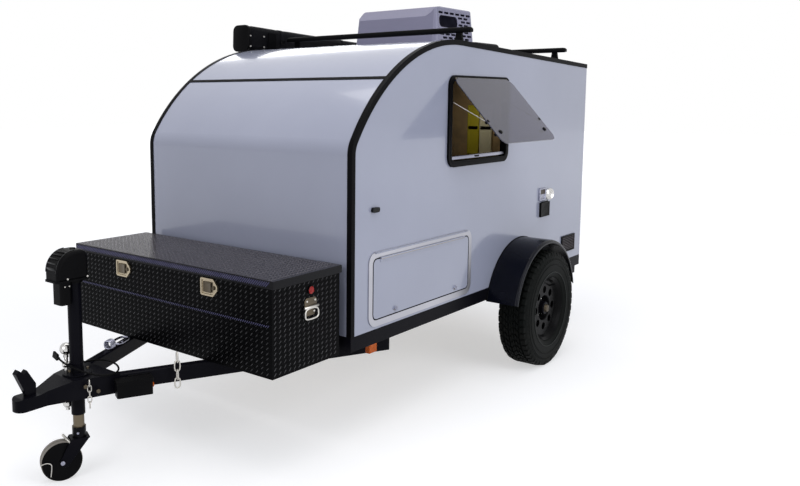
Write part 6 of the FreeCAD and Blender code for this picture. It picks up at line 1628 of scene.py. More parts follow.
@dataclass
class AwningBag:
    """The long soft awning bag on its brackets: a padded sleeve with end caps, straps and a zip."""

    front: Point = (-0.849, 0.0904, 2.1408)
    rear: Point = (-0.849, 2.0968, 2.0605)
    size: Pair = (0.145, 0.174)
    corner: float = 0.04
    rings: int = 34
    corner_flats: int = 5
    straps: Row = (0.17, 0.52, 0.86)
    caps: Row = (0.0045, 0.9955)
    cap_long: float = 0.022
    cap_spare: float = 0.004
    strap_long: float = 0.03
    strap_spare: float = 0.001
    buckle: Point = (0.008, 0.044, 0.03)
    zip_section: Pair = (0.004, 0.009)
    zip_short: float = 0.07
    zip_down: float = 0.27
    draw_in: float = 0.045
    draw_reach: float = 0.018
    fold_scale: Point = (9.0, 5.0, 9.0)
    fold: float = 0.02
    crease_scale: Point = (26.0, 14.0, 26.0)
    crease: float = 0.008
    sag: float = 0.002

    @property
    def run(self) -> Vector:
        """The bag's line from its front end to its rear end."""
        return Vector(self.rear) - Vector(self.front)

    @property
    def turn(self) -> Point:
        """The turn that lays a block along the bag, in degrees."""
        return (math.degrees(math.atan2(self.run.z, self.run.y)), 0.0, 0.0)

    def at(self, share: float) -> Vector:
        """Return the point at a share of the bag's length."""
        return Vector(self.front).lerp(Vector(self.rear), share)

    def section(self, name: str, share: float, long: float, spare: float) -> Workpiece:
        """Start a rounded slice of the bag.

        Args:
            name: the piece's name.
            share: its middle's place along the bag.
            long: how long it is.
            spare: how much larger than the bag it is.

        Returns:
            The slice.
        """
        wide, high = self.size
        piece = Workpiece.block(name, self.at(share), (wide + spare, long, high + spare), self.turn)
        return piece.rounded(self.run.normalized(), self.corner, self.corner_flats)

    def swelled(self, place: Vector) -> Vector:
        """Return where the filled sleeve's skin settles: slack between straps, drawn in at them."""
        share = (place.y - self.front[1]) / (self.rear[1] - self.front[1])
        middle = self.at(min(max(share, 0.0), 1.0))
        out = place - middle
        out.y = 0.0
        near = min(abs(share - strap) for strap in (*self.straps, 0.0, 1.0))
        full = 1.0 - self.draw_in * math.exp(-((near / self.draw_reach) ** 2))
        fold = noise.noise(place * Vector(self.fold_scale))
        crease = noise.noise(place * Vector(self.crease_scale))
        swell = full + self.fold * fold + self.crease * crease
        return Vector((middle.x, place.y, middle.z)) + out * swell - Way.UP.line * (self.sag * fold)

    def make(self) -> None:
        """Build the bag and what is sewn to it."""
        bag = self.section("awning_sleeve", 0.5, self.run.length, 0.0)
        for step in range(1, self.rings):
            bag.cut(self.at(step / self.rings), self.run.normalized())
        bag.modify("SUBSURF", levels=1, render_levels=1)
        bag.shaped(self.swelled)
        bag.done("trailer", "awning_cloth", Finishes.BAG, 60.0)
        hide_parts("awning_bag")
        caps = [
            self.section("awning_end_cap", share, self.cap_long, self.cap_spare).eased(0.004)
            for share in self.caps
        ]
        Workpiece.gathered(caps).done("trailer", "port_black", Finishes.PORT)
        bands = [
            self.section("awning_strap", share, self.strap_long, self.strap_spare).eased(0.0015, 1)
            for share in self.straps
        ]
        Workpiece.gathered(bands).done("trailer", "awning_cloth", Finishes.WEBBING)
        wide, high = self.size
        buckles: list[Workpiece] = []
        for share in self.straps:
            place = self.at(share) + Way.LEFT.line * (wide / 2.0 + 0.001)
            buckle = Workpiece.block("awning_buckle", place, self.buckle, self.turn)
            buckle.facing(Way.LEFT).inset(0.006, -0.003)
            buckles.append(buckle.eased(0.0015))
        Workpiece.gathered(buckles).done("trailer", "port_black", Finishes.PORT)
        place = self.at(0.5) + Vector((wide / 2.0 - 0.001, 0.0, -high * self.zip_down))
        thick, tall = self.zip_section
        size = (thick, self.run.length - self.zip_short, tall)
        teeth = Workpiece.block("awning_zip", place, size, self.turn)
        teeth.facing(Way.LEFT).inset(0.0025, -0.001)
        teeth.eased(0.0008, 1).done("trailer", "awning_cloth", Finishes.WEBBING)


@dataclass
class Mattress:
    """The foam mattress: a cover swelled by its foam, with sewn channels."""

    low: Point = (-0.112, -0.723, 0.9858)
    high: Point = (0.7235, 1.3465, 1.089)
    ease: float = 0.006
    voxel: float = 0.016
    cap: float = 0.01
    frames: int = 20
    channel: float = 0.185
    channel_depth: float = 0.007
    channel_reach: float = 0.01
    pressure: float = 4.0
    corner: float = 0.028
    give: float = 0.003
    crown: float = 0.005
    sewn_from: float = 1.03
    sewn_full: float = 0.05

    def swell(self, piece: Workpiece) -> None:
        """Let the cover swell under its foam, each point held to a small move.

        Args:
            piece: the remeshed cover.
        """
        piece.bench()
        scene = bpy.context.scene
        scene.frame_set(1)
        cloth = piece.obj.modifiers.new("cloth", "CLOTH")
        cloth.settings.use_pressure = True
        cloth.settings.uniform_pressure_force = self.pressure
        cloth.settings.effector_weights.gravity = 0.0
        cloth.settings.quality = 4
        for frame in range(1, self.frames + 1):
            scene.frame_set(frame)
        swollen = piece.obj.evaluated_get(bpy.context.evaluated_depsgraph_get()).data
        moved = [vertex.co.copy() for vertex in swollen.vertices]
        piece.obj.modifiers.remove(cloth)
        scene.frame_set(1)
        for vertex, place in zip(piece.obj.data.vertices, moved):
            step = place - vertex.co
            if step.length > self.cap:
                step = step.normalized() * self.cap
            vertex.co += step

    def sewn(self, place: Vector) -> Vector:
        """Return a point drawn down into the sewn channels and held in the platform's space."""
        across = (place.y - self.low[1]) / self.channel
        near = abs(across - round(across)) * self.channel
        upper = max(0.0, (place.z - self.sewn_from) / self.sewn_full)
        drop = self.channel_depth * math.exp(-((near / self.channel_reach) ** 2)) * min(upper, 1.0)
        return Vector((
            min(max(place.x, self.low[0] - self.give), self.high[0] + self.give),
            min(max(place.y, self.low[1] - self.give), self.high[1] + self.give),
            min(max(place.z - drop, self.low[2]), self.high[2] + self.crown),
        ))

    def make(self) -> None:
        """Build the mattress."""
        low, high = Vector(self.low), Vector(self.high)
        size = high - low - Vector((self.ease, self.ease, self.ease)) * 2.0
        cover = Workpiece.block("mattress_cover", tuple((low + high) / 2.0), tuple(size))
        cover.eased(self.corner, 3).modify("REMESH", mode="VOXEL", voxel_size=self.voxel)
        self.swell(cover)
        cover.modify("SUBSURF", levels=1, render_levels=1).shaped(self.sewn)
        cover.done("trailer", "cushion", Finishes.CUSHION, 80.0)
        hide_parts("mattress")


@dataclass
class CasterFittings:
    """The jack's twin caster: pale treads on black discs, its bolt, foot lever and split pin."""

    centre: Point = (-0.0328, -1.8968, 0.092)
    axis: Point = (0.9205, -0.3907, 0.0)
    flats: int = 56
    tread: Outline = (
        (0.004, 0.07), (0.004, 0.0885), (0.0062, 0.092), (0.0205, 0.092), (0.0222, 0.0902),
        (0.0222, 0.07),
    )
    disc: Outline = (
        (0.003, 0.0), (0.003, 0.0715), (0.0215, 0.0885), (0.0238, 0.0896), (0.0252, 0.087),
        (0.0232, 0.078), (0.022, 0.032), (0.0252, 0.025), (0.0262, 0.0),
    )
    bolt_foot: float = 0.036
    bolt: Screw = Screw(0.0095, 0.0115, 0.01, 20)
    slot: Point = (0.005, 0.003, 0.026)
    slot_turn: Point = (25.0, 0.0, -23.0)
    lever: Line = ((-0.045, -1.877, 0.201), (-0.005, -1.88, 0.19), (0.006, -1.866, 0.169))
    lever_radius: float = 0.0062
    pin: Line = (
        (-0.042, -1.994, 0.095), (-0.0364, -1.975, 0.1015), (-0.0266, -1.954, 0.094),
        (-0.023, -1.95, 0.078), (-0.027, -1.956, 0.032),
    )
    pin_radius: float = 0.0024
    sleeve_screw: Line = ((0.0225, -1.8395, 0.217), (0.029, -1.8455, 0.217))
    sleeve_screw_radius: float = 0.006

    def on_axle(self, out: float) -> Point:
        """Return a point on the axle by its distance from the caster's middle."""
        return tuple(Vector(self.centre) + Vector(self.axis) * out)

    def rings(self, name: str, outline: Outline, closed: bool) -> Workpiece:
        """Turn the same ring on both sides of the caster's middle plane.

        Args:
            name: the piece's name.
            outline: distance from the middle plane and radius, point by point.
            closed: whether the last point joins the first.

        Returns:
            The two rings as one piece.
        """
        pair: list[Workpiece] = []
        for sign in (1.0, -1.0):
            profile = [(along * sign, radius) for along, radius in outline]
            pair.append(Workpiece.turned(name, self.centre, self.axis, profile, self.flats, closed))
        return Workpiece.gathered(pair)

    def make(self) -> None:
        """Build the caster's two discs and its small fittings."""
        treads = self.rings("caster_treads", self.tread, True)
        treads.done("caster_roller", "caster_grey", Finishes.CASTER)
        discs = self.rings("caster_discs", self.disc, False)
        discs.done("caster_roller", "port_black", Finishes.PORT)
        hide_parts("caster_wheel")
        head = self.bolt.at("caster_bolt", self.on_axle(self.bolt_foot), Vector(self.axis))
        top = self.on_axle(self.bolt_foot + self.bolt.high)
        slot = Workpiece.block("bolt_slot", top, self.slot, self.slot_turn)
        head.eased(0.0015).carved(slot).done("caster_swivel", "steel", Finishes.ZINC)
        lever = Workpiece.tube("caster_lever", self.lever, self.lever_radius)
        lever.done("caster_swivel", "steel", Finishes.PALE)
        pin = Workpiece.tube("split_pin", self.pin, self.pin_radius)
        pin.done("caster_swivel", "steel", Finishes.PALE)
        screw = Workpiece.rod("sleeve_screw", *self.sleeve_screw, self.sleeve_screw_radius, sides=6)
        screw.eased(0.0008, 1).done("jack_inner", "steel", Finishes.ZINC)


@dataclass
class JackFittings:
    """The powered jack's hood ribs, screws and ball-ended lock pin."""

    arc_centre: Pair = (-1.8395, 0.975)
    arc_radius: float = 0.092
    rib: Point = (0.066, 0.005, 0.013)
    rib_angles: Row = (10.0, 24.0, 38.0, 52.0, 66.0)
    rib_lift: float = 0.0004
    bead_out: float = 0.0395
    bead_lift: float = 0.0006
    bead_radius: float = 0.0026
    hood_face: float = 0.05
    hood_screws: Outline = ((-1.882, 0.944), (-1.781, 0.941))
    hood_screw: Screw = Screw(0.0045, 0.0056, 0.0042, 16, 0.0008)
    motor_face: float = 0.0345
    motor_screws: Outline = ((-1.888, 0.908), (-1.866, 0.908))
    motor_screw: Screw = Screw(0.004, 0.0042, 0.0032)
    pin: Pair = (-0.054, -1.8385)
    pin_span: Pair = (0.35, 0.59)
    pin_radius: float = 0.0085
    top_ball: Pair = (0.598, 0.0285)
    low_ball: Pair = (0.34, 0.023)
    collar_low: float = 0.514
    collar: Outline = (
        (0.0, 0.0085), (0.0, 0.017), (0.004, 0.02), (0.016, 0.02), (0.02, 0.017), (0.02, 0.0085),
    )

    def on_arc(self, angle: float, lift: float, x: float) -> Point:
        """Return a point on the hood's curved front."""
        turn = math.radians(angle)
        y, z = self.arc_centre
        reach = self.arc_radius + lift
        return (x, y - reach * math.cos(turn), z + reach * math.sin(turn))

    def knob(self, name: str, z: float, radius: float) -> Workpiece:
        """Turn one ball end with its neck.

        Args:
            name: the piece's name.
            z: the ball's middle height.
            radius: the ball's radius.

        Returns:
            The ball end.
        """
        arc = [math.radians(a) for a in range(-66, 91, 12)]
        ball = [(radius * math.sin(a), radius * math.cos(a)) for a in arc]
        neck = [(-radius * 1.35, 0.0), (-radius * 1.35, radius * 0.45), (-radius * 1.02, radius * 0.42)]
        return Workpiece.turned(name, (*self.pin, z), Way.UP.value, neck + ball[:-1] + [(radius, 0.0)], 28)

    def make(self) -> None:
        """Build the hood's trim and the lock pin."""
        ribs: list[Workpiece] = []
        for angle in self.rib_angles:
            place = self.on_arc(angle, self.rib_lift, 0.0)
            ribs.append(Workpiece.block("hood_ribs", place, self.rib, (angle, 0.0, 0.0)).eased(0.0018))
        heads: list[Workpiece] = []
        for sign in (-1.0, 1.0):
            line = [self.on_arc(angle, self.bead_lift, sign * self.bead_out) for angle in range(0, 91, 10)]
            ribs.append(Workpiece.tube("hood_bead", line, self.bead_radius))
            out = Way.LEFT.line * sign
            for place in self.hood_screws:
                heads.append(self.hood_screw.at("hood_screws", (sign * self.hood_face, *place), out))
            for place in self.motor_screws:
                heads.append(self.motor_screw.at("motor_screw", (sign * self.motor_face, *place), out))
        Workpiece.gathered(ribs).done("trailer", "port_black", Finishes.GLOSS)
        Workpiece.gathered(heads).done("trailer", "steel", Finishes.PALE)
        low, high = self.pin_span
        shank = Workpiece.rod("lock_pin", (*self.pin, low), (*self.pin, high), self.pin_radius)
        collar = Workpiece.turned("pin_collar", (*self.pin, self.collar_low), Way.UP.value, self.collar)
        top, bottom = self.knob("pin_top", *self.top_ball), self.knob("pin_low", *self.low_ball)
        shank.eased(0.001, 1).join(top, bottom, collar)
        shank.done("trailer", "chrome", Finishes.CHROME, 60.0)


@dataclass
class TongueFittings:
    """Chains, snap hook, bolts, brake box screws and lamp on the tongue."""

    apex: Point = (0.0, -1.9417, 0.0)
    along: Point = (0.4328, 0.9015, 0.0)
    out: Point = (0.9015, -0.4328, 0.0)
    tab_place: Point = (0.06, 0.545, 0.5)
    tab: Point = (0.006, 0.026, 0.042)
    tab_turn: Point = (0.0, 0.0, -25.6)
    chain_top: Point = (0.066, 0.545, 0.54)
    chain_links: int = 4
    chain_link: Point = (0.024, 0.013, 0.0036)
    pin_chain_top: Point = (0.111, -1.831, 0.47)
    pin_chain_links: int = 5
    pin_chain_link: Point = (0.015, 0.0085, 0.0025)
    hook_start: Point = (-0.198, -1.515, 0.493)
    hook_ahead: Point = (-0.4328, 0.9015, 0.0)
    hook_side: Point = (0.9015, 0.4328, 0.0)
    hook_middle: float = 0.135
    hook: Point = (0.064, 0.029, 0.0062)
    gate_span: Pair = (0.1, 0.165)
    gate_out: float = 0.027
    gate_radius: float = 0.0078
    barrel_start: float = 0.05
    barrel: Outline = (
        (0.0, 0.0), (0.0, 0.009), (0.004, 0.012), (0.013, 0.012), (0.016, 0.0085), (0.027, 0.008),
        (0.029, 0.0),
    )
    coil_start: float = 0.012
    coil_pitch: float = 0.0082
    coil_high: float = 0.012
    coil_turns: int = 5
    coil: Point = (0.02, 0.02, 0.0042)
    box_face: float = 0.0938
    box_screws: Outline = ((0.266, 0.462), (0.3713, 0.4144))
    box_screw: Screw = Screw(0.0035, 0.0052, 0.0038, 16)
    lamp_place: Point = (0.064, 0.424, 0.427)
    lamp: Outline = ((0.0, 0.0), (0.0, 0.013), (0.006, 0.0125), (0.0105, 0.008), (0.012, 0.0))
    bolt_face: float = 0.0595
    bolts: Outline = ((0.13, 0.46), (0.185, 0.432))
    bolt: Screw = Screw(0.008, 0.01, 0.01, 6, 0.001)
    mount_centre: Pair = (0.0, -1.8195)
    mount_reach: float = 0.048
    mount_top: float = 0.509
    mount_angles: Row = (45.0, 165.0, 285.0)
    mount_bolt: Screw = Screw(0.011, 0.0078, 0.0078, 6, 0.001)

    def at(self, out: float, along: float, z: float) -> Point:
        """Return a point beside the left tongue tube."""
        place = Vector(self.apex) + Vector(self.out) * out + Vector(self.along) * along
        return (place.x, place.y, z)

    def link(self, name: str, centre: Vector, long: Vector, wide: Vector, size: Point) -> Workpiece:
        """Bend one chain link.

        Args:
            name: the piece's name.
            centre: the link's middle.
            long: its long direction.
            wide: its other direction.
            size: its half length, half width and wire radius.

        Returns:
            The link.
        """
        high, broad, wire = size
        corners = (
            (1.0, 0.55), (0.55, 1.0), (-0.55, 1.0), (-1.0, 0.55), (-1.0, -0.55), (-0.55, -1.0), (0.55, -1.0),
            (1.0, -0.55),
        )
        line = [tuple(centre + long * (a * high) + wide * (b * broad)) for a, b in corners]
        return Workpiece.tube(name, line, wire, loop=True)

    def chain(self, name: str, top: Point, count: int, size: Point) -> None:
        """Hang a chain.

        Args:
            name: the piece's name.
            top: the middle of its first link.
            count: how many links it has.
            size: a link's half length, half width and wire radius.
        """
        up = Way.UP.line
        pitch = (size[0] - size[2]) * 2.0
        links: list[Workpiece] = []
        for step in range(count):
            wide = Vector(self.along) if step % 2 else Vector(self.out)
            links.append(self.link(name, Vector(top) - up * (pitch * step), up, wide, size))
        Workpiece.gathered(links).done("trailer", "steel", Finishes.PALE, 60.0)

    def snap_hook(self) -> None:
        """Lay the spring hook on top of the right tube."""
        ahead, side, up = Vector(self.hook_ahead), Vector(self.hook_side), Way.UP.line
        start = Vector(self.hook_start)
        hook = self.link("snap_hook", start + ahead * self.hook_middle, ahead, side, self.hook)
        ends = [tuple(start + ahead * way + side * self.gate_out) for way in self.gate_span]
        gate = Workpiece.rod("hook_gate", *ends, self.gate_radius).eased(0.0012, 1)
        foot = tuple(start + ahead * self.barrel_start)
        barrel = Workpiece.turned("hook_barrel", foot, self.hook_ahead, self.barrel)
        coil: list[Workpiece] = []
        for step in range(self.coil_turns):
            centre = start + ahead * (self.coil_start + self.coil_pitch * step) + up * self.coil_high
            coil.append(self.link("hook_coil", centre, up, side, self.coil))
        hook.join(gate, barrel, *coil).done("trailer", "steel", Finishes.ZINC, 60.0)

    def bolt_heads(self) -> Workpiece:
        """Set the bolts of the coupler and of the jack's mounting plate."""
        heads: list[Workpiece] = []
        for along, z in self.bolts:
            x, y, high = self.at(self.bolt_face, along, z)
            for mirror in (1.0, -1.0):
                way = Vector((self.out[0] * mirror, self.out[1], 0.0))
                heads.append(self.bolt.at("coupler_bolts", (x * mirror, y, high), way))
        x, y = self.mount_centre
        for angle in self.mount_angles:
            turn = math.radians(angle)
            across, ahead = self.mount_reach * math.cos(turn), self.mount_reach * math.sin(turn)
            foot = (x + across, y + ahead, self.mount_top)
            heads.append(self.mount_bolt.at("mount_bolt", foot, Way.UP.line))
        return Workpiece.gathered(heads)

    def make(self) -> None:
        """Build the tongue's fittings."""
        tab = Workpiece.block("chain_tab", self.at(*self.tab_place), self.tab, self.tab_turn)
        tab.eased(0.0025).done("trailer", "frame_black", Finishes.FRAME)
        self.chain("safety_chain", self.at(*self.chain_top), self.chain_links, self.chain_link)
        self.chain("pin_chain", self.pin_chain_top, self.pin_chain_links, self.pin_chain_link)
        self.snap_hook()
        feet = [self.at(self.box_face, along, z) for along, z in self.box_screws]
        screws = self.box_screw.at_each("box_screws", feet, Vector(self.out))
        screws.done("trailer", "steel", Finishes.PALE)
        lamp = Workpiece.turned("box_lamp", self.at(*self.lamp_place), self.along, self.lamp, 24)
        lamp.done("trailer", "lens_amber", Finishes.AMBER)
        self.bolt_heads().done("trailer", "steel", Finishes.HARDWARE)


@dataclass
class WindowFittings:
    """Gasket, sill, hinge rail and latch handles of the top-hung window on the left wall."""

    body: str = "trailer"
    wall: float = 0.775
    front: float = 0.1165
    rear: float = 0.8455
    low: float = 1.346
    high: float = 1.867
    hinge: Point = (0.7753, 0.0, 1.8541)
    fall: Point = (0.6698, 0.0, -0.7425)
    pane_front: float = 0.1405
    pane_rear: float = 0.8215
    gasket_less: float = 0.036
    gasket_corner: float = 0.046
    gasket_rim: float = 0.01
    handle_down: float = 0.405
    handle_in: float = 0.06
    stay_down: float = 0.325
    stay_in: float = 0.016

    def on_pane(self, down: float, y: float, lift: float) -> Point:
        """Return a point on the open pane by its distance from the hinge."""
        fall = Vector(self.fall)
        out = Vector((-fall.z, 0.0, fall.x))
        place = Vector(self.hinge) + fall * down + out * lift
        return (place.x, y, place.z)

    def strip(self, name: str, out: float, z: float, size: Point, shift: float = 0.0) -> Workpiece:
        """Start a strip along the window."""
        middle = (self.front + self.rear) / 2.0
        return Workpiece.block(name, (self.wall + out, middle + shift, z), size)

    def post(self, name: str, place: Pair, lifts: Pair, radius: float, **more: float) -> Workpiece:
        """Start a round post through the open pane."""
        first, last = (self.on_pane(*place, lift) for lift in lifts)
        return Workpiece.rod(name, first, last, radius, **more)

    def handles(self) -> Workpiece:
        """Build the pane's two latch handles and the joints of its stays."""
        pieces: list[Workpiece] = []
        for y in (self.pane_front + self.handle_in, self.pane_rear - self.handle_in):
            place = (self.handle_down, y)
            boss = self.post("window_handles", place, (-0.002, 0.0085), 0.014, tip=0.012, sides=24)
            stem = self.post("handle_stem", place, (-0.022, -0.002), 0.009, tip=0.012)
            lever = Workpiece.block(
                "handle_lever", self.on_pane(*place, -0.022), (0.016, 0.062, 0.012), (0.0, 48.0, 0.0)
            )
            pieces += [boss.eased(0.0018), stem, lever.eased(0.003)]
        for y in (self.pane_front + self.stay_in, self.pane_rear - self.stay_in):
            joint = self.post("stay_joint", (self.stay_down, y), (-0.018, 0.005), 0.0095)
            pieces.append(joint.eased(0.0015))
        return Workpiece.gathered(pieces)

    def make(self) -> None:
        """Build the window's fittings."""
        wide, tall = self.rear - self.front, self.high - self.low
        size = (0.026, wide - self.gasket_less, tall - self.gasket_less)
        seal = self.strip("window_gasket", -0.012, (self.low + self.high) / 2.0, size)
        seal.hooped(self.gasket_corner, self.gasket_rim).eased(0.002, 1)
        seal.done(self.body, "port_black", Finishes.RUBBER)
        rail = self.strip("window_hinge_rail", 0.001, self.high - 0.0195, (0.01, wide - 0.11, 0.012))
        rail.facing(Way.LEFT).inset(0.004, -0.002)
        rail.eased(0.0015).done(self.body, "aluminium", Finishes.STEEL)
        sill = self.strip("window_sill", -0.022, self.low + 0.052, (0.03, wide - 0.1, 0.02))
        lip = self.strip("sill_lip", -0.008, self.low + 0.028, (0.008, wide - 0.12, 0.007))
        catch = self.strip("sill_catch", -0.008, self.low + 0.052, (0.012, 0.044, 0.01), -0.03)
        catch.eased(0.002).done(self.body, "port_black", Finishes.PORT)
        sill.eased(0.002).join(lip.eased(0.0015)).done(self.body, "aluminium", Finishes.ZINC)
        self.handles().done(self.body, "port_black", Finishes.PORT)


@dataclass
class CabinCupboards:
    """Two cupboard doors on the bulkhead, seen through the open window."""

    face: float = 1.3565
    low: float = 1.34
    high: float = 1.69
    thick: float = 0.016
    pull_high: float = 1.53
    pull_out: float = 0.019
    olive: Pair = (0.198, 0.289)
    cream: Pair = (0.295, 0.393)

    def door(self, name: str, edges: Pair, finish: Finish) -> None:
        """Build one door with its sunk panel and pull.

        Args:
            name: the piece's name.
            edges: its two edges.
            finish: its finish.
        """
        middle, wide = sum(edges) / 2.0, edges[1] - edges[0]
        centre = (middle, self.face - self.thick / 2.0, (self.low + self.high) / 2.0)
        piece = Workpiece.block(name, centre, (wide, self.thick, self.high - self.low))
        piece.facing(Way.FRONT).inset(0.012).inset(0.003, -0.003)
        piece.eased(0.002).done("trailer", "plywood", finish)
        place = (middle, self.face - self.pull_out, self.pull_high)
        pull = Workpiece.block(name + "_pull", place, (wide - 0.012, 0.01, 0.024))
        pull.facing(Way.FRONT).grow((0.86, 1.0, 0.6), place)
        pull.eased(0.002).done("trailer", "port_black", Finishes.PORT)

    def make(self) -> None:
        """Build the doors."""
        self.door("cupboard_olive", self.olive, Finishes.OLIVE)
        self.door("cupboard_cream", self.cream, Finishes.CREAM)


@dataclass
class SideFittings:
    """Seal, locks, hinges and fender piping on the side walls."""

    wall: float = 0.762
    seal_place: Point = (0.766, -0.1045, 0.767)
    seal: Point = (0.0055, 0.972, 0.324)
    seal_corner: float = 0.034
    seal_rim: float = 0.006
    lock_face: float = 0.7745
    lock_rows: Row = (-0.3885, 0.2245)
    lock_high: float = 0.636
    lock: Outline = (
        (0.0, 0.0), (0.0, 0.0125), (0.004, 0.0118), (0.0048, 0.0085), (0.004, 0.0078), (0.004, 0.0),
    )
    key_slot: Point = (0.005, 0.0018, 0.0085)
    hinge_line: Line = ((0.7705, -0.57, 0.956), (0.7705, -0.533, 0.956))
    hinge_radius: float = 0.0042
    hinge_pitch: float = 0.039
    knuckles: int = 24
    fender_hub: Pair = (1.0665, 0.376)
    fender_radius: float = 0.449
    fender_half_angle: int = 77
    piping_radius: float = 0.0042
    entry_leaf: Point = (-0.774, -0.186, 0.84)
    entry_leaf_size: Point = (0.008, 0.03, 0.09)
    entry_pin: Line = ((-0.779, -0.174, 0.79), (-0.779, -0.174, 0.89))
    entry_pin_radius: float = 0.0055
    entry_rise: float = 0.34

    def locks(self) -> None:
        """Set the baggage door's two locks."""
        for number, y in enumerate(self.lock_rows):
            place = (self.lock_face, y, self.lock_high)
            bezel = Workpiece.turned(f"baggage_lock_{number}", place, Way.LEFT.value, self.lock, 28)
            slot = Workpiece.block("key_slot", (self.lock_face + 0.0045, y, self.lock_high), self.key_slot)
            bezel.carved(slot).done("baggage_leaf", "aluminium", Finishes.ZINC)

    def piping(self) -> None:
        """Lay the piping round each fender where it meets the wall."""
        hub_y, hub_z = self.fender_hub
        line: list[Point] = []
        for angle in range(-self.fender_half_angle, self.fender_half_angle + 1, 11):
            turn = math.radians(angle)
            y = hub_y + self.fender_radius * math.sin(turn)
            line.append((self.wall + 0.0035, y, hub_z + (self.fender_radius + 0.002) * math.cos(turn)))
        piping = Workpiece.tube("fender_piping", line, self.piping_radius)
        piping.paired("trailer", "port_black", Finishes.RUBBER)

    def make(self) -> None:
        """Build the side walls' fittings."""
        seal = Workpiece.block("baggage_seal", self.seal_place, self.seal)
        seal.hooped(self.seal_corner, self.seal_rim).done("trailer", "port_black", Finishes.RUBBER)
        self.locks()
        hinge = Workpiece.rod("baggage_hinge", *self.hinge_line, self.hinge_radius, sides=12)
        hinge.row(self.knuckles, Way.REAR.line * self.hinge_pitch).eased(0.0006, 1)
        hinge.done("trailer", "aluminium", Finishes.BODY_TRIM)
        self.piping()
        entry = Workpiece.block("entry_hinge", self.entry_leaf, self.entry_leaf_size)
        entry.facing(Way.RIGHT).inset(0.003, 0.001)
        pin = Workpiece.rod("entry_hinge_pin", *self.entry_pin, self.entry_pin_radius)
        entry.eased(0.0015).join(pin.eased(0.001, 1))
        above = [
            entry.copy("entry_hinge_above", Matrix.Translation(Way.UP.line * self.entry_rise * step))
            for step in (2, 1)
        ]
        entry.join(*above).done("trailer", "frame_black", Finishes.TRIM)


@dataclass
class RoofFittings:
    """Screws of the roof units, sleeves of the crossbars and rivets of the awning bag's brackets."""

    bars: Outline = ((0.4365, 2.1359), (1.7965, 2.08))
    sleeve: Point = (1.44, 0.056, 0.032)
    sleeve_lift: float = 0.004
    housing_face: float = 0.33
    housing_screws: Outline = ((0.72, 2.044), (1.14, 2.044))
    housing_screw: Screw = Screw(0.007, 0.0065, 0.005)
    vent_half: float = 0.255
    vent_rows: Row = (1.3, 1.465, 1.63)
    vent_top: float = 2.0225
    roof_fall: float = 0.04
    vent_screw: Screw = Screw(0.013, 0.007, 0.005)
    bag_face: float = -0.7745
    bag_rivets: Outline = ((0.109, 2.156), (0.109, 2.086), (0.24, 2.156), (0.24, 2.086))
    bag_rivet: Screw = Screw(0.0045, 0.0062, 0.0048)

    def make(self) -> None:
        """Build the roof's fittings."""
        screws: list[Workpiece] = []
        for sign in (-1.0, 1.0):
            feet = [(sign * self.housing_face, *place) for place in self.housing_screws]
            screws.append(self.housing_screw.at_each("housing_screws", feet, Way.LEFT.line * sign))
        for x in (-self.vent_half, self.vent_half):
            feet = [(x, y, self.vent_top - (y - self.vent_rows[0]) * self.roof_fall) for y in self.vent_rows]
            screws.append(self.vent_screw.at_each("vent_screw", feet, Way.UP.line))
        Workpiece.gathered(screws).done("trailer", "steel", Finishes.ZINC)
        for number, (y, z) in enumerate(self.bars):
            sleeve = Workpiece.block(f"bar_sleeve_{number}", (0.0, y, z + self.sleeve_lift), self.sleeve)
            sleeve.eased(0.013, 4).done("trailer", "port_black", Finishes.RUBBER)
        feet = [(self.bag_face, *place) for place in self.bag_rivets]
        rivets = self.bag_rivet.at_each("bag_rivets", feet, Way.LEFT.line)
        rivets.done("trailer", "steel", Finishes.PALE)


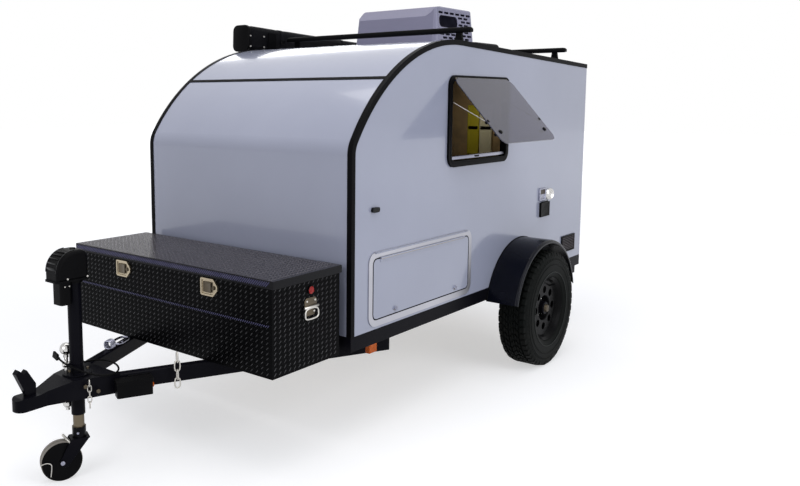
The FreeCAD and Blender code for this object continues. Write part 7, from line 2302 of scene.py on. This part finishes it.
@dataclass
class ChestHardware:
    """The chest's two paddle latches and its two end handles."""

    front: float = -1.3095
    latches: Point = (-0.384, 0.275, 0.805)
    latch_size: Pair = (0.116, 0.085)
    latch_thick: float = 0.011
    taper: Pair = (0.029, 0.01)
    notch: float = 0.006
    paddle: Point = (0.056, 0.005, 0.05)
    paddle_along: float = 0.047
    lock_along: float = 0.09
    lock: Outline = (
        (0.0, 0.0), (0.0, 0.01), (0.006, 0.0095), (0.0068, 0.006), (0.0055, 0.005), (0.0055, 0.0),
    )
    handle: Pair = (-1.0415, 0.76)
    plate_out: float = 0.737
    plate: Point = (0.005, 0.088, 0.046)
    plate_up: float = 0.03
    plate_corner: Pair = (0.044, 0.04)
    tab: Point = (0.005, 0.062, 0.03)
    tab_down: float = 0.018
    screw_out: float = 0.739
    screws: Outline = ((-0.029, 0.038), (0.029, 0.038), (0.022, -0.014))
    screw: Screw = Screw(0.004, 0.0062, 0.0048)
    barrel_out: float = 0.7435
    barrel_half: float = 0.05
    barrel_up: float = 0.008
    barrel_radius: float = 0.006
    bail: Line = ((0.745, 0.044, 0.004), (0.747, 0.048, -0.03), (0.746, 0.042, -0.048))
    bail_radius: float = 0.0042

    def latch(self, name: str, left: float) -> Workpiece:
        """Shape one latch: a framed tray with its paddle and lock.

        Args:
            name: the piece's name.
            left: its left edge.

        Returns:
            The latch's frame.
        """
        wide, tall = self.latch_size
        middle = self.latches[2] + tall / 2.0
        face = self.front
        size = (wide, self.latch_thick, tall)
        frame = Workpiece.block(name, (left + wide / 2.0, face + 0.004, middle), size)
        long, short = self.taper
        for sign in (1.0, -1.0):
            place = (left + wide - long, face, middle + sign * tall / 2.0)
            frame.trimmed(place, (tall / 2.0 - short, 0.0, sign * long))
            frame.trimmed((left, face, middle + sign * (tall / 2.0 - self.notch)), (-1.0, 0.0, sign))
        frame.facing(Way.FRONT, 0.9).inset(0.0085).inset(0.0008, -0.0055)
        frame.eased(0.001, 1)
        place = (left + self.paddle_along, face + 0.001, middle)
        paddle = Workpiece.block(name + "_paddle", place, self.paddle)
        paddle.facing(Way.LEFT, 0.9).slide((0.0, -0.003, 0.0))
        paddle.facing(Way.FRONT, 0.8).inset(0.004).inset(0.001, -0.001)
        foot = (left + self.lock_along, face + 0.003, middle)
        lock = Workpiece.turned(name + "_lock", foot, Way.FRONT.value, self.lock, 24)
        paddle.eased(0.0008, 1).join(lock).done("trailer", "steel", Finishes.HARDWARE)
        return frame

    def end_handles(self) -> None:
        """Build the folding handles on the chest's two ends."""
        y, z = self.handle
        plate = Workpiece.block("handle_plate", (self.plate_out, y, z + self.plate_up), self.plate)
        along, up = self.plate_corner
        for sign in (1.0, -1.0):
            plate.trimmed((self.plate_out, y + sign * along, z + up), (0.0, sign * 0.7, 0.7))
        tab = Workpiece.block("handle_tab", (self.plate_out, y, z - self.tab_down), self.tab).eased(0.0015)
        plate.eased(0.0015).join(tab).paired("trailer", "steel", Finishes.HARDWARE)
        feet = [(self.screw_out, y + shift, z + high) for shift, high in self.screws]
        heads = self.screw.at_each("handle_screws", feet, Way.LEFT.line)
        high = z + self.barrel_up
        ends = [(self.barrel_out, y + sign * self.barrel_half, high) for sign in (-1.0, 1.0)]
        barrel = Workpiece.rod("handle_barrel", *ends, self.barrel_radius).eased(0.001, 1)
        front = [(x, y - along, z + up) for x, along, up in self.bail]
        rear = [(x, y + along, z + up) for x, along, up in reversed(self.bail)]
        bail = Workpiece.tube("handle_bail", front + rear, self.bail_radius, loop=True)
        bail.join(barrel, heads).paired("trailer", "chrome", Finishes.PALE, 60.0)

    def make(self) -> None:
        """Build the latches and the handles."""
        first, second, _ = self.latches
        frames = self.latch("latch_right", first).join(self.latch("latch_left", second))
        frames.obj.name = "latch_frames"
        frames.done("trailer", "steel", Finishes.TAN)
        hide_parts("toolbox_hardware")
        self.end_handles()


@dataclass
class ServicePanel:
    """Power inlet, outlet box and louvred vent on the left wall's rear part."""

    wall: float = 0.762
    outlet: Pair = (1.422, 0.976)
    outlet_size: Point = (0.016, 0.14, 0.1)
    gasket: Point = (0.003, 0.152, 0.112)
    hinge_half: float = 0.042
    hinge_up: float = 0.052
    hinge_radius: float = 0.0048
    inlet: Pair = (1.39, 1.083)
    inlet_size: Point = (0.012, 0.1, 0.086)
    well_up: float = 0.015
    well: Point = (0.005, 0.076, 0.03)
    cap_place: Pair = (1.485, 1.078)
    cap_way: Point = (0.94, -0.34, 0.0)
    cap: Outline = (
        (0.0, 0.0), (0.0, 0.036), (0.005, 0.04), (0.011, 0.04), (0.013, 0.037), (0.01, 0.03),
        (0.012, 0.026), (0.009, 0.019), (0.012, 0.012), (0.011, 0.0),
    )
    vent: Pair = (1.8625, 0.677)
    vent_size: Point = (0.01, 0.23, 0.122)
    slat: Point = (0.0055, 0.206, 0.0062)
    slat_turn: Point = (0.0, 24.0, 0.0)
    slats: int = 8
    slat_pitch: float = 0.0122

    def plate(self, name: str, out: float, place: Pair, size: Point) -> Workpiece:
        """Start a plate on the wall."""
        return Workpiece.block(name, (self.wall + out, *place), size)

    def power(self) -> None:
        """Build the outlet box and the inlet with its open cap."""
        back = self.plate("outlet_gasket", 0.0015, self.outlet, self.gasket)
        back.eased(0.001, 1).done("trailer", "body_white", Finishes.BODY_TRIM)
        box = self.plate("outlet_box", 0.01, self.outlet, self.outlet_size)
        box.facing(Way.LEFT, 0.9).inset(0.006).inset(0.002, -0.002).inset(0.04, 0.001)
        y, z = self.outlet
        ends = [(self.wall + 0.012, y + sign * self.hinge_half, z + self.hinge_up) for sign in (-1.0, 1.0)]
        hinge = Workpiece.rod("outlet_hinge", *ends, self.hinge_radius)
        box.eased(0.0025).join(hinge.eased(0.0008, 1)).done("trailer", "port_black", Finishes.PORT)
        bezel = self.plate("inlet_bezel", 0.006, self.inlet, self.inlet_size)
        bezel.facing(Way.LEFT, 0.9).inset(0.01).inset(0.001, -0.008)
        bezel.eased(0.002).done("trailer", "aluminium", Finishes.ZINC)
        y, z = self.inlet
        well = self.plate("inlet_well", 0.0055, (y, z + self.well_up), self.well)
        well.facing(Way.LEFT, 0.9).inset(0.006, -0.0015)
        well.done("trailer", "port_black", Finishes.UMBER)
        foot = (self.wall + 0.01, *self.cap_place)
        cap = Workpiece.turned("inlet_cap", foot, self.cap_way, self.cap)
        cap.done("trailer", "chrome", Finishes.CHROME)

    def make(self) -> None:
        """Build the inlet, the outlet box and the vent."""
        self.power()
        frame = self.plate("vent_frame", 0.005, self.vent, self.vent_size)
        frame.facing(Way.LEFT, 0.9).inset(0.011).inset(0.001, -0.006)
        frame.eased(0.0015).done("trailer", "port_black", Finishes.PORT)
        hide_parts("service_ports")
        y, z = self.vent
        low = z - self.slat_pitch * (self.slats - 1) / 2.0
        slat = Workpiece.block("vent_slats", (self.wall + 0.0065, y, low), self.slat, self.slat_turn)
        slat.eased(0.001, 1).row(self.slats, Way.UP.line * self.slat_pitch)
        slat.done("trailer", "port_black", Finishes.SLAT)


@dataclass
class RearFittings:
    """Hinges, screws, lamp and hatch seal on the rear end."""

    hinge_place: Point = (-0.52, 2.1, 1.935)
    hinge_leaf: Point = (0.07, 0.006, 0.056)
    knuckle: Line = ((-0.552, 2.101, 1.962), (-0.488, 2.101, 1.962))
    knuckle_radius: float = 0.0065
    hinges: int = 3
    hinge_pitch: float = 0.52
    tail_rows: Row = (-0.655, -0.545, 0.545, 0.655)
    tail_foot: Pair = (2.108, 0.632)
    tail_screw: Screw = Screw(0.0155, 0.005, 0.004, 12)
    plate_rows: Row = (-0.1, 0.1)
    plate_foot: Pair = (2.1, 0.665)
    plate_screw: Screw = Screw(0.0065, 0.006, 0.0045, 12)
    lamp_place: Point = (0.0, 2.108, 0.694)
    lamp: Point = (0.07, 0.02, 0.016)
    seal_place: Point = (0.0, 2.099, 1.336)
    seal: Point = (1.45, 0.004, 1.246)
    seal_rim: float = 0.01

    def make(self) -> None:
        """Build the rear end's fittings."""
        leaf = Workpiece.block("hatch_hinges", self.hinge_place, self.hinge_leaf)
        leaf.facing(Way.REAR).inset(0.004, 0.001)
        knuckle = Workpiece.rod("hinge_knuckle", *self.knuckle, self.knuckle_radius)
        leaf.eased(0.0012, 1).join(knuckle.eased(0.001, 1)).row(self.hinges, Way.LEFT.line * self.hinge_pitch)
        leaf.done("hatch", "frame_black", Finishes.TRIM)
        feet = [(x, *self.tail_foot) for x in self.tail_rows]
        screws = self.tail_screw.at_each("tail_screws", feet, Way.REAR.line)
        feet = [(x, *self.plate_foot) for x in self.plate_rows]
        screws.join(self.plate_screw.at_each("plate_screw", feet, Way.REAR.line))
        screws.done("trailer", "steel", Finishes.ZINC)
        lamp = Workpiece.block("plate_lamp", self.lamp_place, self.lamp)
        lamp.facing(Way.REAR).slide((0.0, 0.0, -0.003))
        lamp.eased(0.004).done("trailer", "port_black", Finishes.PORT)
        seal = Workpiece.block("hatch_seal", self.seal_place, self.seal)
        seal.opened(Way.REAR.line, self.seal_rim).done("trailer", "port_black", Finishes.RUBBER)


def main() -> None:
    """Build the trailer's looks in order."""
    logging.basicConfig(level=logging.INFO)
    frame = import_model()
    studio = Studio()
    studio.camera()
    LampLead().make(frame["nodes"]["cable_plug"])
    studio.room()
    studio.lamps()
    FrameDress(frame).dress()
    for group in (
        Tyres(), WheelFittings(), ChestPlate(), ChestHardware(), CasterFittings(), JackFittings(),
        TongueFittings(), WindowFittings(), CabinCupboards(), SideFittings(), ServicePanel(),
        RoofFittings(), RearFittings(), AwningBag(), Mattress(),
    ):
        group.make()


if __name__ == "__main__":
    main()
